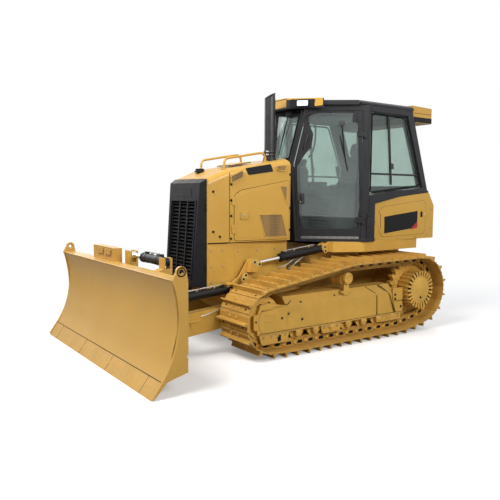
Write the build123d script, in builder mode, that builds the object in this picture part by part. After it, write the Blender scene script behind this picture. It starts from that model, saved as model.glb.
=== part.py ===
from build123d import *
from math import asin, atan2, cos, hypot, pi, sin
import os

os.makedirs("parts", exist_ok=True)

# Crawler bulldozer of the 8 tonne class with an angle and tilt blade on a C-frame.
# Millimetres. X forward, Y to the machine's left, Z up. The origin is on the ground,
# under the middle of the whole machine. MID_X is the middle of the track on the ground.
MID_X = -500.0
SIDES = (("left", 1), ("right", -1))

# Undercarriage
TRACK_GAUGE = 1500.0
SHOE_WIDTH = 510.0
SHOE_COUNT = 43
GROUSER_HEIGHT = 47.0
GROUSER_TIP = 14.0
GROUSER_FOOT = 34.0
SHOE_PLATE = 12.0
SHOE_GAP = 5.0
LINK_HALF_HEIGHT = 45.0
LINK_THICK = 36.0
LINK_INSIDE = 86.0
SPROCKET_X = MID_X - 1170.0
SPROCKET_Z = 512.0
SPROCKET_PITCH_R = 350.0
SPROCKET_TEETH = 25
SPROCKET_WIDTH = 60.0
IDLER_X = MID_X + 1165.0
IDLER_Z = 395.0
IDLER_PITCH_R = 276.0
IDLER_RIM_WIDTH = 40.0
CARRIER_X = MID_X + 14.0
CARRIER_TREAD_R = 72.0
CARRIER_PIN_Z = 846.0
ROLLER_TREAD_R = 84.0
ROLLER_FLANGE_R = 100.0
ROLLER_COUNT = 7
ROLLER_PITCH = 248.0
ROLLER_REAR_X = MID_X - 760.0
GROUND_OVERRUN = 120.0
SEAT_GAP = 0.3
HUB_R = 200.0
HUB_COVER_R = 235.0
HUB_COVER_Y = TRACK_GAUGE / 2 + 200.0
HUB_LOBES = 26

# Track frame, as a section across the machine
BEAM_OUTER_Y = TRACK_GAUGE / 2 + 125.0
BEAM_INNER_Y = TRACK_GAUGE / 2 - 125.0
BEAM_SHOULDER_Y = TRACK_GAUGE / 2 + 50.0
BEAM_BOTTOM_Z = 240.0
BEAM_BEND_Z = 505.0
BEAM_TOP_Z = 600.0
BEAM_CEILING_Z = 345.0
BEAM_PLATE = 30.0
BEAM_REAR_X = MID_X - 755.0
BEAM_FRONT_X = MID_X + 900.0
YOKE_FRONT_X = MID_X + 1270.0
TAIL_REAR_X = MID_X - 925.0

# Hull
HULL_HALF_WIDTH = 335.0
HULL_BOTTOM_Z = 360.0
HULL_FRONT_X = MID_X + 1290.0
HULL_REAR_X = MID_X - 1480.0
HULL_DECK_Z = 690.0
HULL_REAR_TOP_Z = 1080.0
HULL_STEP_X = MID_X + 60.0
SIDE_RAIL = 16.0
CROSS_BEAM_X = MID_X + 90.0
CROSS_BEAM_LENGTH = 260.0
CROSS_BEAM_HEIGHT = 190.0

# C-frame and its lift linkage
PIVOT_X = MID_X + 350.0
PIVOT_Z = 500.0
PIVOT_PIN_R = 40.0
RUNNING_GAP = 0.06
ARM_INNER_Y = 365.0
ARM_THICK = 95.0
ARM_EYE_R = 95.0
NOSE_REAR_X = MID_X + 1860.0
NOSE_FRONT_X = MID_X + 2020.0
KNUCKLE_X = MID_X + 2130.0
KNUCKLE_Z = 330.0
LIFT_Y = 447.0
LIFT_ROD_PIN = (MID_X + 988.0, 928.0)
LIFT_BARREL_PIN = (MID_X + 6.0, 1040.0)
LIFT_BARREL_R = 45.0
LIFT_ROD_R = 22.0
LIFT_EYE_R = 42.0
LIFT_EYE_HALF = 24.0
LIFT_BARREL_LENGTH = 655.0
CYLINDER_PIN_R = 20.0
SIDE_GAP = 1.5
CHEEK = 16.0

# Angle cylinders, one each side, from the C-frame to the blade's back
ANGLE_REAR = (MID_X + 1320.0, 413.0, 668.0)
ANGLE_FRONT = (MID_X + 2300.0, 480.0, 600.0)
ANGLE_EYE_R = 35.0
ANGLE_EYE_HALF = 20.0
ANGLE_FORK_GAP = 36.0
YOKE_HALF = 44.0
YOKE_PIN_R = 13.0
ANGLE_BARREL_R = 46.0
ANGLE_ROD_R = 24.0
ANGLE_BARREL_LENGTH = 640.0

# Tilt cylinder, across the machine behind the blade's top edge
TILT_X = MID_X + 2245.0
TILT_Z = 1050.0
TILT_TOWER_Y = 40.0
TILT_BLADE_Y = 760.0
TILT_BARREL_R = 44.0
TILT_ROD_R = 22.0
TILT_BARREL_LENGTH = 470.0

# Blade
BLADE_HALF_WIDTH = 1391.0
BLADE_TIP_X = MID_X + 2700.0
BLADE_BIT_X = MID_X + 2600.0
BLADE_BIT_Z = 135.0
BLADE_DEEP_X = MID_X + 2442.0
BLADE_DEEP_Z = 555.0
BLADE_TOP_X = MID_X + 2500.0
BLADE_TOP_Z = 975.0
BLADE_SKIN = 16.0
BLADE_BACK_X = MID_X + 2362.0
END_PLATE = 25.0
EDGE_THICK = 20.0
EDGE_SEGMENTS = 4
EDGE_GAP = 3.0
EAR_R = 48.0
EAR_HOLE_R = 22.0
EAR_Z = 1040.0
EAR_X = MID_X + 2425.0
TOP_BOX_Y = 375.0
TOP_BOX_LENGTH = 570.0
TOP_BOX_DEPTH = 90.0
TOP_BOX_TOP_Z = 1115.0

# Hood and radiator guard
HOOD_FRONT_X = MID_X + 1550.0
HOOD_BEND_X = MID_X + 1290.0
HOOD_BEND_TOP_Z = 1942.0
HOOD_REAR_X = MID_X + 500.0
HOOD_FRONT_HALF = 352.0
HOOD_REAR_HALF = 430.0
HOOD_FRONT_TOP_Z = 1838.0
HOOD_REAR_TOP_Z = 2075.0
HOOD_BOTTOM_Z = 1160.0
SHEET = 14.0
GUARD_FACE_HALF = 300.0
GUARD_FRONT_BOTTOM_X = MID_X + 1705.0
GUARD_FRONT_TOP_X = MID_X + 1622.0
GUARD_TOP_Z = 1790.0
GUARD_BOTTOM_Z = 700.0
GUARD_BEVEL_X = HOOD_FRONT_X + 10.0
GRILLE_TOP_Z = 1600.0
GRILLE_BOTTOM_Z = 780.0
GRILLE_HALF = 262.0
LOUVRE_COUNT = 21
LOUVRE_COLUMNS = 3

# Cab
SILL_Z = 1150.0
CAB_FLOOR_THICK = 30.0
CAB_FRONT_X = MID_X + 252.0
CAB_ELBOW_X = MID_X + 298.0
CAB_ELBOW_Z = 2045.0
CAB_HEAD_X = MID_X + 172.0
ROOF_TOP_Z = 2770.0
CAB_HEAD_Z = ROOF_TOP_Z - 55.0
CAB_FRONT_HALF = 221.0
CAB_WIDE_X = MID_X - 400.0
CAB_WIDE_HALF = 745.0
CAB_REAR_TOP_X = MID_X - 1225.0
CAB_REAR_FOOT_X = MID_X - 1590.0
CAB_WAIST_Z = 1722.0
CAB_WALL = 50.0
GLASS = 8.0

# Tank and battery housing behind the cab doors
TANK_FRONT_X = MID_X - 560.0
TANK_REAR_X = MID_X - 1700.0
TANK_FRONT_TOP_Z = 1573.0
TANK_SHOULDER = (MID_X - 1010.0, CAB_WAIST_Z - 70.0)
TANK_HALF = 710.0
TANK_INNER_HALF = 470.0
TANK_WALL_X = MID_X - 1190.0
TANK_BOTTOM_Z = SILL_Z - CAB_FLOOR_THICK + SEAT_GAP


def offset_point(point, direction, distance, rise):
    """Point at a distance along a unit direction and at a rise square to it, in the XZ plane."""
    across = (-direction[1], direction[0])
    return (
        point[0] + direction[0] * distance + across[0] * rise,
        point[1] + direction[1] * distance + across[1] * rise,
    )


def unit(start, end):
    """Unit direction from one point of the XZ plane to another."""
    length = hypot(end[0] - start[0], end[1] - start[1])
    return ((end[0] - start[0]) / length, (end[1] - start[1]) / length)


# Path of the track's pins: a belt round these circles, run anticlockwise seen from the right.
# Columns: centre x, centre z, radius of the pins about it.
PIN_GROUND_Z = GROUSER_HEIGHT + SHOE_PLATE + LINK_HALF_HEIGHT
BELT = (
    (IDLER_X, IDLER_Z, IDLER_PITCH_R),
    (CARRIER_X, CARRIER_PIN_Z - 1.0, 1.0),
    (SPROCKET_X, SPROCKET_Z, SPROCKET_PITCH_R),
    (ROLLER_REAR_X - GROUND_OVERRUN, PIN_GROUND_Z + 1.0, 1.0),
    (ROLLER_REAR_X + (ROLLER_COUNT - 1) * ROLLER_PITCH + GROUND_OVERRUN, PIN_GROUND_Z + 1.0, 1.0),
)


def belt_runs(circles):
    """Straight runs of a belt outside the circles, each as its start and end point."""
    runs = []
    for first, second in zip(circles, circles[1:] + circles[:1]):
        gap = hypot(second[0] - first[0], second[1] - first[1])
        heading = atan2(second[1] - first[1], second[0] - first[0])
        lean = (first[2] - second[2]) / gap
        normal = heading - pi / 2 + (pi / 2 - atan2((1 - lean * lean) ** 0.5, lean))
        out = (cos(normal), sin(normal))
        start = (first[0] + first[2] * out[0], first[1] + first[2] * out[1])
        end = (second[0] + second[2] * out[0], second[1] + second[2] * out[1])
        runs.append((start, end, normal))
    return runs


def belt_points(circles, count):
    """Points spaced evenly along the belt: straight runs joined by arcs of the circles."""
    runs = belt_runs(circles)
    stretches = []
    for index, (start, end, normal) in enumerate(runs):
        stretches.append(("run", start, end, hypot(end[0] - start[0], end[1] - start[1])))
        centre = circles[(index + 1) % len(circles)]
        turn = (runs[(index + 1) % len(runs)][2] - normal) % (2 * pi)
        stretches.append(("arc", centre, normal, turn * centre[2]))
    total = sum(stretch[3] for stretch in stretches)
    points = []
    for number in range(count):
        travel = total * number / count
        for kind, first, second, length in stretches:
            if travel <= length:
                break
            travel -= length
        if kind == "run":
            share = travel / length
            x = first[0] + (second[0] - first[0]) * share
            z = first[1] + (second[1] - first[1]) * share
            points.append((x, z))
        else:
            angle = second + travel / first[2]
            points.append((first[0] + first[2] * cos(angle), first[1] + first[2] * sin(angle)))
    return points, total / count


PINS, TRACK_PITCH = belt_points(BELT, SHOE_COUNT)
print("track pitch", round(TRACK_PITCH, 1))


def ring(rise):
    """Closed outline that lies outside the pins by rise."""
    outline = []
    for index, pin in enumerate(PINS):
        before = unit(PINS[index - 1], pin)
        after = unit(pin, PINS[(index + 1) % len(PINS)])
        middle = unit((0, 0), (before[0] + after[0], before[1] + after[1]))
        outline.append(offset_point(pin, middle, 0, -rise))
    return outline


def shoe_outline():
    """Outer outline of all the shoes: a flat plate for each pitch with a grouser at its end."""
    outline = []
    for index, pin in enumerate(PINS):
        heading = unit(pin, PINS[(index + 1) % len(PINS)])
        plate_top = -(LINK_HALF_HEIGHT + SHOE_PLATE)
        tip_top = plate_top - GROUSER_HEIGHT
        grouser = TRACK_PITCH * 0.5 - GROUSER_FOOT / 2
        # Columns: distance from the pin, height over the pins
        for distance, rise in (
            (SHOE_GAP / 2, -LINK_HALF_HEIGHT - 2.0),
            (SHOE_GAP / 2, plate_top),
            (grouser, plate_top),
            (grouser + (GROUSER_FOOT - GROUSER_TIP) / 2, tip_top),
            (grouser + (GROUSER_FOOT + GROUSER_TIP) / 2, tip_top),
            (grouser + GROUSER_FOOT, plate_top),
            (TRACK_PITCH - SHOE_GAP / 2, plate_top),
            (TRACK_PITCH - SHOE_GAP / 2, -LINK_HALF_HEIGHT - 2.0),
        ):
            outline.append(offset_point(pin, heading, distance, rise))
    return outline


# Tracks: one fixed loop a side, its shoes on two rails of links
for side, sign in SIDES:
    centre_y = sign * TRACK_GAUGE / 2
    with BuildPart() as track:
        with BuildSketch(Plane.XZ.offset(-centre_y)):
            with BuildLine():
                Polyline(*shoe_outline(), close=True)
            make_face()
            with BuildLine():
                Polyline(*ring(LINK_HALF_HEIGHT), close=True)
            make_face(mode=Mode.SUBTRACT)
        extrude(amount=SHOE_WIDTH / 2, both=True)
        for rail in (-1, 1):
            rail_y = centre_y + rail * (LINK_INSIDE + LINK_THICK) / 2
            with BuildSketch(Plane.XZ.offset(-rail_y)):
                with BuildLine():
                    Polyline(*ring(LINK_HALF_HEIGHT + 1.5), close=True)
                make_face()
                with BuildLine():
                    Polyline(*ring(-LINK_HALF_HEIGHT), close=True)
                make_face(mode=Mode.SUBTRACT)
            extrude(amount=LINK_THICK / 2, both=True)
    track.part.label = f"track_{side}"
    export_step(track.part, f"parts/track_{side}.step")

# Sprockets: a toothed ring on each final drive, its teeth between the rails of links
TOOTH_ROOT_R = SPROCKET_PITCH_R - 34.0
TOOTH_TIP_R = SPROCKET_PITCH_R + 16.0
# Columns: share of a tooth's pitch angle, radius
TOOTH_POINTS = ((-0.36, TOOTH_ROOT_R), (-0.14, TOOTH_TIP_R), (0.14, TOOTH_TIP_R), (0.36, TOOTH_ROOT_R))
TOOTH_ANGLE = 2 * pi / SPROCKET_TEETH
toothed_ring = []
for tooth in range(SPROCKET_TEETH):
    for share, radius in TOOTH_POINTS:
        angle = (tooth + share) * TOOTH_ANGLE
        toothed_ring.append((SPROCKET_X + radius * cos(angle), SPROCKET_Z + radius * sin(angle)))
with BuildPart() as sprockets:
    for side, sign in SIDES:
        with BuildSketch(Plane.XZ.offset(-sign * TRACK_GAUGE / 2)):
            with BuildLine():
                Polyline(*toothed_ring, close=True)
            make_face()
            with Locations((SPROCKET_X, SPROCKET_Z)):
                Circle(HUB_R + SEAT_GAP, mode=Mode.SUBTRACT)
        extrude(amount=SPROCKET_WIDTH / 2, both=True)
sprockets.part.label = "sprockets"
export_step(sprockets.part, "parts/sprockets.step")

# Final drives: hub from the hull out through the sprocket, with a lobed cover
with BuildPart() as final_drives:
    for side, sign in SIDES:
        hub_inner = HULL_HALF_WIDTH
        hub_outer = TRACK_GAUGE / 2 + SPROCKET_WIDTH / 2 + 10.0
        with BuildSketch(Plane.XZ.offset(-sign * (hub_inner + hub_outer) / 2)):
            with Locations((SPROCKET_X, SPROCKET_Z)):
                Circle(HUB_R)
        extrude(amount=(hub_outer - hub_inner) / 2, both=True)
        cover_middle = (hub_outer + HUB_COVER_Y) / 2
        with BuildSketch(Plane.XZ.offset(-sign * cover_middle)):
            with Locations((SPROCKET_X, SPROCKET_Z)):
                Circle(HUB_COVER_R - 14.0)
                with PolarLocations(HUB_COVER_R - 14.0, HUB_LOBES):
                    Circle(14.0)
        extrude(amount=(HUB_COVER_Y - hub_outer) / 2, both=True)
final_drives.part.label = "final_drives"
export_step(final_drives.part, "parts/final_drives.step")

# Idlers: rims under the rails, a guide flange between them
IDLER_LINK_TURN = 2 * asin(TRACK_PITCH / 2 / IDLER_PITCH_R)
IDLER_TREAD_R = (IDLER_PITCH_R - LINK_HALF_HEIGHT) * cos(IDLER_LINK_TURN / 2) - 2.0
FLANGE_WIDTH = 12.0
SHAFT_R = 25.0
IDLER_SHAFT_R = 38.0
BETWEEN_PLATES = (BEAM_OUTER_Y - BEAM_INNER_Y) / 2 - BEAM_PLATE - SEAT_GAP
with BuildPart() as idlers:
    for side, sign in SIDES:
        with BuildSketch(Plane.XZ.offset(-sign * TRACK_GAUGE / 2)):
            with Locations((IDLER_X, IDLER_Z)):
                Circle(IDLER_SHAFT_R)
        extrude(amount=BETWEEN_PLATES, both=True)
        with BuildSketch(Plane.XY.offset(IDLER_Z)):
            with BuildLine():
                Polyline(
                    (IDLER_X, sign * (TRACK_GAUGE / 2 - LINK_INSIDE / 2 - IDLER_RIM_WIDTH)),
                    (IDLER_X + IDLER_TREAD_R, sign * (TRACK_GAUGE / 2 - LINK_INSIDE / 2 - IDLER_RIM_WIDTH)),
                    (IDLER_X + IDLER_TREAD_R, sign * (TRACK_GAUGE / 2 - LINK_INSIDE / 2 + 4.0)),
                    (IDLER_X + IDLER_TREAD_R + 22.0, sign * (TRACK_GAUGE / 2 - LINK_INSIDE / 2 + 12.0)),
                    (IDLER_X + IDLER_TREAD_R + 22.0, sign * (TRACK_GAUGE / 2 + LINK_INSIDE / 2 - 12.0)),
                    (IDLER_X + IDLER_TREAD_R, sign * (TRACK_GAUGE / 2 + LINK_INSIDE / 2 - 4.0)),
                    (IDLER_X + IDLER_TREAD_R, sign * (TRACK_GAUGE / 2 + LINK_INSIDE / 2 + IDLER_RIM_WIDTH)),
                    (IDLER_X, sign * (TRACK_GAUGE / 2 + LINK_INSIDE / 2 + IDLER_RIM_WIDTH)),
                    close=True,
                )
            make_face()
        revolve(axis=Axis((IDLER_X, 0, IDLER_Z), (0, 1, 0)))
idlers.part.label = "idlers"
export_step(idlers.part, "parts/idlers.step")


def roller(x, tread_r, flange_r, shaft_half, sign):
    """Profile of a flanged roller, its treads under the rails of links and flanges beside them."""
    rail_outer = LINK_INSIDE / 2 + LINK_THICK
    centre = sign * TRACK_GAUGE / 2
    profile = [(x, centre - shaft_half), (x + SHAFT_R, centre - shaft_half)]
    # Columns: distance from the roller's middle, radius
    for across, radius in (
        (-rail_outer - FLANGE_WIDTH, SHAFT_R),
        (-rail_outer - FLANGE_WIDTH, flange_r),
        (-rail_outer - 3.0, flange_r),
        (-rail_outer - 3.0, tread_r),
        (-LINK_INSIDE / 2 + 3.0, tread_r),
        (-LINK_INSIDE / 2 + 3.0, tread_r - 10.0),
        (LINK_INSIDE / 2 - 3.0, tread_r - 10.0),
        (LINK_INSIDE / 2 - 3.0, tread_r),
        (rail_outer + 3.0, tread_r),
        (rail_outer + 3.0, flange_r),
        (rail_outer + FLANGE_WIDTH, flange_r),
        (rail_outer + FLANGE_WIDTH, SHAFT_R),
    ):
        profile.append((x + radius, centre + across))
    profile.append((x + SHAFT_R, centre + shaft_half))
    profile.append((x, centre + shaft_half))
    return profile


# Track rollers under the track frames, and one carrier roller a side over them
ROLLER_Z = PIN_GROUND_Z + LINK_HALF_HEIGHT + SEAT_GAP + ROLLER_TREAD_R
with BuildPart() as track_rollers:
    for side, sign in SIDES:
        for number in range(ROLLER_COUNT):
            roller_x = ROLLER_REAR_X + number * ROLLER_PITCH
            profile = roller(roller_x, ROLLER_TREAD_R, ROLLER_FLANGE_R, BETWEEN_PLATES, sign)
            with BuildSketch(Plane.XY.offset(ROLLER_Z)):
                with BuildLine():
                    Polyline(*profile, close=True)
                make_face()
            revolve(axis=Axis((roller_x, 0, ROLLER_Z), (0, 1, 0)))
track_rollers.part.label = "track_rollers"
export_step(track_rollers.part, "parts/track_rollers.step")

CARRIER_Z = CARRIER_PIN_Z - LINK_HALF_HEIGHT - CARRIER_TREAD_R - 8.0
CARRIER_SHAFT_HALF = 105.0
STEM_HALF = 10.0
STEM_INSIDE_Y = TRACK_GAUGE / 2 + CARRIER_SHAFT_HALF - STEM_HALF
SHOULDER_SLOPE = (BEAM_TOP_Z - BEAM_BEND_Z) / (BEAM_OUTER_Y - BEAM_SHOULDER_Y)
STEM_FOOT_Z = BEAM_BEND_Z + (BEAM_OUTER_Y - STEM_INSIDE_Y) * SHOULDER_SLOPE + SEAT_GAP * 1.6
with BuildPart() as carrier_rollers:
    for side, sign in SIDES:
        profile = roller(CARRIER_X, CARRIER_TREAD_R, CARRIER_TREAD_R + 4.0, CARRIER_SHAFT_HALF, sign)
        with BuildSketch(Plane.XY.offset(CARRIER_Z)):
            with BuildLine():
                Polyline(*profile, close=True)
            make_face()
        revolve(axis=Axis((CARRIER_X, 0, CARRIER_Z), (0, 1, 0)))
        stem_y = sign * (TRACK_GAUGE / 2 + CARRIER_SHAFT_HALF)
        with BuildSketch(Plane.XZ.offset(-stem_y)):
            with BuildLine():
                Polyline(
                    (CARRIER_X - 45.0, STEM_FOOT_Z),
                    (CARRIER_X + 45.0, STEM_FOOT_Z),
                    (CARRIER_X + 30.0, CARRIER_Z + 20.0),
                    (CARRIER_X - 30.0, CARRIER_Z + 20.0),
                    close=True,
                )
            make_face()
        extrude(amount=STEM_HALF, both=True)
carrier_rollers.part.label = "carrier_rollers"
export_step(carrier_rollers.part, "parts/carrier_rollers.step")

# Track frames: a box beam open below for the rollers, side plates run on as the idler's yoke
# Guard table, columns: rear x, front x, bottom z
GUARDS = (
    (MID_X + 850.0, MID_X + 1250.0, 135.0),
    (MID_X + 90.0, MID_X + 410.0, 150.0),
    (MID_X - 930.0, MID_X - 500.0, 165.0),
)
with BuildPart() as track_frames:
    for side, sign in SIDES:
        with BuildSketch(Plane.YZ.offset(BEAM_REAR_X)):
            with BuildLine():
                Polyline(
                    (sign * BEAM_OUTER_Y, BEAM_BOTTOM_Z),
                    (sign * BEAM_OUTER_Y, BEAM_BEND_Z),
                    (sign * BEAM_SHOULDER_Y, BEAM_TOP_Z),
                    (sign * BEAM_INNER_Y, BEAM_TOP_Z),
                    (sign * BEAM_INNER_Y, BEAM_BOTTOM_Z),
                    (sign * (BEAM_INNER_Y + BEAM_PLATE), BEAM_BOTTOM_Z),
                    (sign * (BEAM_INNER_Y + BEAM_PLATE), BEAM_CEILING_Z),
                    (sign * (BEAM_OUTER_Y - BEAM_PLATE), BEAM_CEILING_Z),
                    (sign * (BEAM_OUTER_Y - BEAM_PLATE), BEAM_BOTTOM_Z),
                    close=True,
                )
            make_face()
        extrude(amount=BEAM_FRONT_X - BEAM_REAR_X)
        for plate_y in (BEAM_OUTER_Y - BEAM_PLATE / 2, BEAM_INNER_Y + BEAM_PLATE / 2):
            with BuildSketch(Plane.XZ.offset(-sign * plate_y)):
                with BuildLine():
                    Polyline(
                        (TAIL_REAR_X, BEAM_BOTTOM_Z),
                        (YOKE_FRONT_X, BEAM_BOTTOM_Z),
                        (YOKE_FRONT_X + 20.0, IDLER_Z),
                        (YOKE_FRONT_X - 30.0, BEAM_BEND_Z + 40.0),
                        (YOKE_FRONT_X - 120.0, BEAM_BEND_Z + 60.0),
                        (BEAM_FRONT_X - 60.0, BEAM_BEND_Z),
                        (TAIL_REAR_X, BEAM_BEND_Z),
                        close=True,
                    )
                make_face()
            extrude(amount=BEAM_PLATE / 2, both=True)
        for rear_x, front_x, bottom_z in GUARDS:
            with BuildSketch(Plane.XZ.offset(-sign * (BEAM_OUTER_Y - 8.0))):
                with BuildLine():
                    Polyline(
                        (rear_x, BEAM_BOTTOM_Z + 1.0),
                        (rear_x + 30.0, bottom_z),
                        (front_x - 30.0, bottom_z),
                        (front_x, BEAM_BOTTOM_Z + 1.0),
                        close=True,
                    )
                make_face()
            extrude(amount=8.0, both=True)
track_frames.part.label = "track_frames"
export_step(track_frames.part, "parts/track_frames.step")

# Main frame: the hull between the tracks, with cross beams and the C-frame's pivot pins
with BuildPart() as main_frame:
    with BuildSketch(Plane.XZ):
        with BuildLine():
            Polyline(
                (HULL_REAR_X, HULL_BOTTOM_Z + 120.0),
                (HULL_REAR_X + 160.0, HULL_BOTTOM_Z),
                (HULL_FRONT_X - 140.0, HULL_BOTTOM_Z),
                (HULL_FRONT_X, HULL_BOTTOM_Z + 110.0),
                (HULL_FRONT_X, HULL_DECK_Z),
                (HULL_STEP_X + 60.0, HULL_DECK_Z),
                (HULL_STEP_X, HULL_REAR_TOP_Z),
                (HULL_REAR_X, HULL_REAR_TOP_Z),
                close=True,
            )
        make_face()
    extrude(amount=HULL_HALF_WIDTH, both=True)
    for side, sign in SIDES:
        with BuildSketch(Plane.XZ.offset(-sign * (HULL_HALF_WIDTH + SIDE_RAIL / 2))):
            with BuildLine():
                Polyline(
                    (HOOD_REAR_X - 20.0, HULL_DECK_Z - 60.0),
                    (HOOD_FRONT_X, HULL_DECK_Z - 60.0),
                    (HOOD_FRONT_X, HOOD_BOTTOM_Z - SEAT_GAP),
                    (HOOD_REAR_X - 20.0, HOOD_BOTTOM_Z - SEAT_GAP),
                    close=True,
                )
            make_face()
        extrude(amount=SIDE_RAIL / 2, both=True)
    with BuildSketch(Plane.XZ):
        with Locations((CROSS_BEAM_X, HULL_BOTTOM_Z + CROSS_BEAM_HEIGHT / 2 + 20.0)):
            Rectangle(CROSS_BEAM_LENGTH, CROSS_BEAM_HEIGHT)
    extrude(amount=BEAM_INNER_Y, both=True)
    with BuildSketch(Plane.XZ):
        with Locations((PIVOT_X, PIVOT_Z)):
            Circle(PIVOT_PIN_R)
    extrude(amount=ARM_INNER_Y + ARM_THICK + 20.0, both=True)
main_frame.part.label = "main_frame"
export_step(main_frame.part, "parts/main_frame.step")

# Drawbar at the rear, bored for a hitch pin
DRAWBAR_Z = 480.0
DRAWBAR_REACH = 150.0
DRAWBAR_THICK = 40.0
DRAWBAR_GAP = 70.0
DRAWBAR_HALF = 110.0
DRAWBAR_PIN_R = 22.5
DRAWBAR_PIN_X = HULL_REAR_X - 85.0
with BuildPart() as drawbar:
    for level in (-1, 1):
        plate_z = DRAWBAR_Z + level * (DRAWBAR_GAP + DRAWBAR_THICK) / 2
        with BuildSketch(Plane.XY.offset(plate_z - DRAWBAR_THICK / 2)):
            with BuildLine():
                Polyline(
                    (HULL_REAR_X, -DRAWBAR_HALF),
                    (HULL_REAR_X, DRAWBAR_HALF),
                    (HULL_REAR_X - DRAWBAR_REACH + 50.0, DRAWBAR_HALF),
                    (HULL_REAR_X - DRAWBAR_REACH, DRAWBAR_HALF - 60.0),
                    (HULL_REAR_X - DRAWBAR_REACH, -DRAWBAR_HALF + 60.0),
                    (HULL_REAR_X - DRAWBAR_REACH + 50.0, -DRAWBAR_HALF),
                    close=True,
                )
            make_face()
            with Locations((DRAWBAR_PIN_X, 0)):
                Circle(DRAWBAR_PIN_R, mode=Mode.SUBTRACT)
        extrude(amount=DRAWBAR_THICK)
    with BuildSketch(Plane.XY.offset(DRAWBAR_Z - DRAWBAR_GAP / 2)):
        with Locations((HULL_REAR_X - 12.0, 0)):
            Rectangle(24.0, DRAWBAR_HALF * 2)
    extrude(amount=DRAWBAR_GAP)
drawbar.part.label = "drawbar"
export_step(drawbar.part, "parts/drawbar.step")

# Engine: one plain mass on the hull's deck, under the hood
with BuildPart() as engine:
    with BuildSketch(Plane.XY.offset(HULL_DECK_Z)):
        with Locations((MID_X + 860.0, 0)):
            Rectangle(660.0, 520.0)
    extrude(amount=860.0)
engine.part.label = "engine"
export_step(engine.part, "parts/engine.step")

# Hood: a tapered shell over the engine, open below and in front, and a cowl that narrows towards the cab
COWL_X = MID_X + 335.0
COWL_HALF = 200.0
HOOD_SLOPE = (HOOD_REAR_TOP_Z - HOOD_BEND_TOP_Z) / (HOOD_BEND_X - HOOD_REAR_X)
COWL_TOP_Z = HOOD_REAR_TOP_Z + HOOD_SLOPE * (HOOD_REAR_X - COWL_X)
HOOD_PROFILE = (
    (HOOD_FRONT_X, HOOD_BOTTOM_Z),
    (HOOD_FRONT_X, HOOD_FRONT_TOP_Z),
    (HOOD_BEND_X, HOOD_BEND_TOP_Z),
    (COWL_X, COWL_TOP_Z),
    (COWL_X, HOOD_BOTTOM_Z),
)
with BuildPart() as hood:
    with BuildSketch(Plane.XZ):
        with BuildLine():
            Polyline(*HOOD_PROFILE, close=True)
        make_face()
    extrude(amount=HOOD_REAR_HALF + 100.0, both=True)
    with BuildSketch(Plane.XY.offset(HOOD_BOTTOM_Z)):
        with BuildLine():
            Polyline(
                (HOOD_FRONT_X, -HOOD_FRONT_HALF),
                (HOOD_FRONT_X, HOOD_FRONT_HALF),
                (HOOD_REAR_X, HOOD_REAR_HALF),
                (COWL_X, COWL_HALF),
                (COWL_X, -COWL_HALF),
                (HOOD_REAR_X, -HOOD_REAR_HALF),
                close=True,
            )
        make_face()
    extrude(amount=COWL_TOP_Z - HOOD_BOTTOM_Z, mode=Mode.INTERSECT)
    top_faces = hood.faces().filter_by(lambda face: face.normal_at().Z > 0.5)
    fillet(top_faces.edges().filter_by(Axis.Y, reverse=True), radius=70.0)
    with BuildSketch(Plane.YZ.offset(HOOD_REAR_X)):
        with BuildLine():
            Polyline(
                (-HOOD_FRONT_HALF + SHEET, HOOD_BOTTOM_Z - 10.0),
                (HOOD_FRONT_HALF - SHEET, HOOD_BOTTOM_Z - 10.0),
                (HOOD_FRONT_HALF - SHEET, HOOD_FRONT_TOP_Z - 90.0),
                (HOOD_FRONT_HALF - SHEET - 60.0, HOOD_FRONT_TOP_Z - 30.0),
                (-HOOD_FRONT_HALF + SHEET + 60.0, HOOD_FRONT_TOP_Z - 30.0),
                (-HOOD_FRONT_HALF + SHEET, HOOD_FRONT_TOP_Z - 90.0),
                close=True,
            )
        make_face()
    extrude(amount=HOOD_FRONT_X - HOOD_REAR_X + 20.0, mode=Mode.SUBTRACT)
hood.part.label = "hood"
export_step(hood.part, "parts/hood.step")

# Radiator guard: the black nose, leaning back, bevelled at its sides, recessed for the grille
with BuildPart() as radiator_guard:
    with BuildSketch(Plane.XZ):
        with BuildLine():
            Polyline(
                (HOOD_FRONT_X + SEAT_GAP, GUARD_BOTTOM_Z),
                (GUARD_FRONT_BOTTOM_X, GUARD_BOTTOM_Z),
                (GUARD_FRONT_TOP_X, GUARD_TOP_Z),
                (HOOD_FRONT_X + SEAT_GAP, HOOD_FRONT_TOP_Z - 4.0),
                close=True,
            )
        make_face()
    extrude(amount=HOOD_FRONT_HALF, both=True)
    with BuildSketch(Plane.XY.offset(GUARD_BOTTOM_Z)):
        with BuildLine():
            Polyline(
                (HOOD_FRONT_X + SEAT_GAP, -HOOD_FRONT_HALF + 2.0),
                (HOOD_FRONT_X + SEAT_GAP, HOOD_FRONT_HALF - 2.0),
                (GUARD_BEVEL_X, HOOD_FRONT_HALF - 8.0),
                (GUARD_FRONT_BOTTOM_X, GUARD_FACE_HALF),
                (GUARD_FRONT_BOTTOM_X, -GUARD_FACE_HALF),
                (GUARD_BEVEL_X, -HOOD_FRONT_HALF + 8.0),
                close=True,
            )
        make_face()
    extrude(amount=HOOD_FRONT_TOP_Z - GUARD_BOTTOM_Z, mode=Mode.INTERSECT)
    with BuildSketch(Plane.YZ.offset(GUARD_BEVEL_X + 5.0)):
        with Locations((0, (GRILLE_TOP_Z + GRILLE_BOTTOM_Z) / 2)):
            Rectangle(GRILLE_HALF * 2, GRILLE_TOP_Z - GRILLE_BOTTOM_Z)
    extrude(amount=300.0, mode=Mode.SUBTRACT)
radiator_guard.part.label = "radiator_guard"
export_step(radiator_guard.part, "parts/radiator_guard.step")

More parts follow.
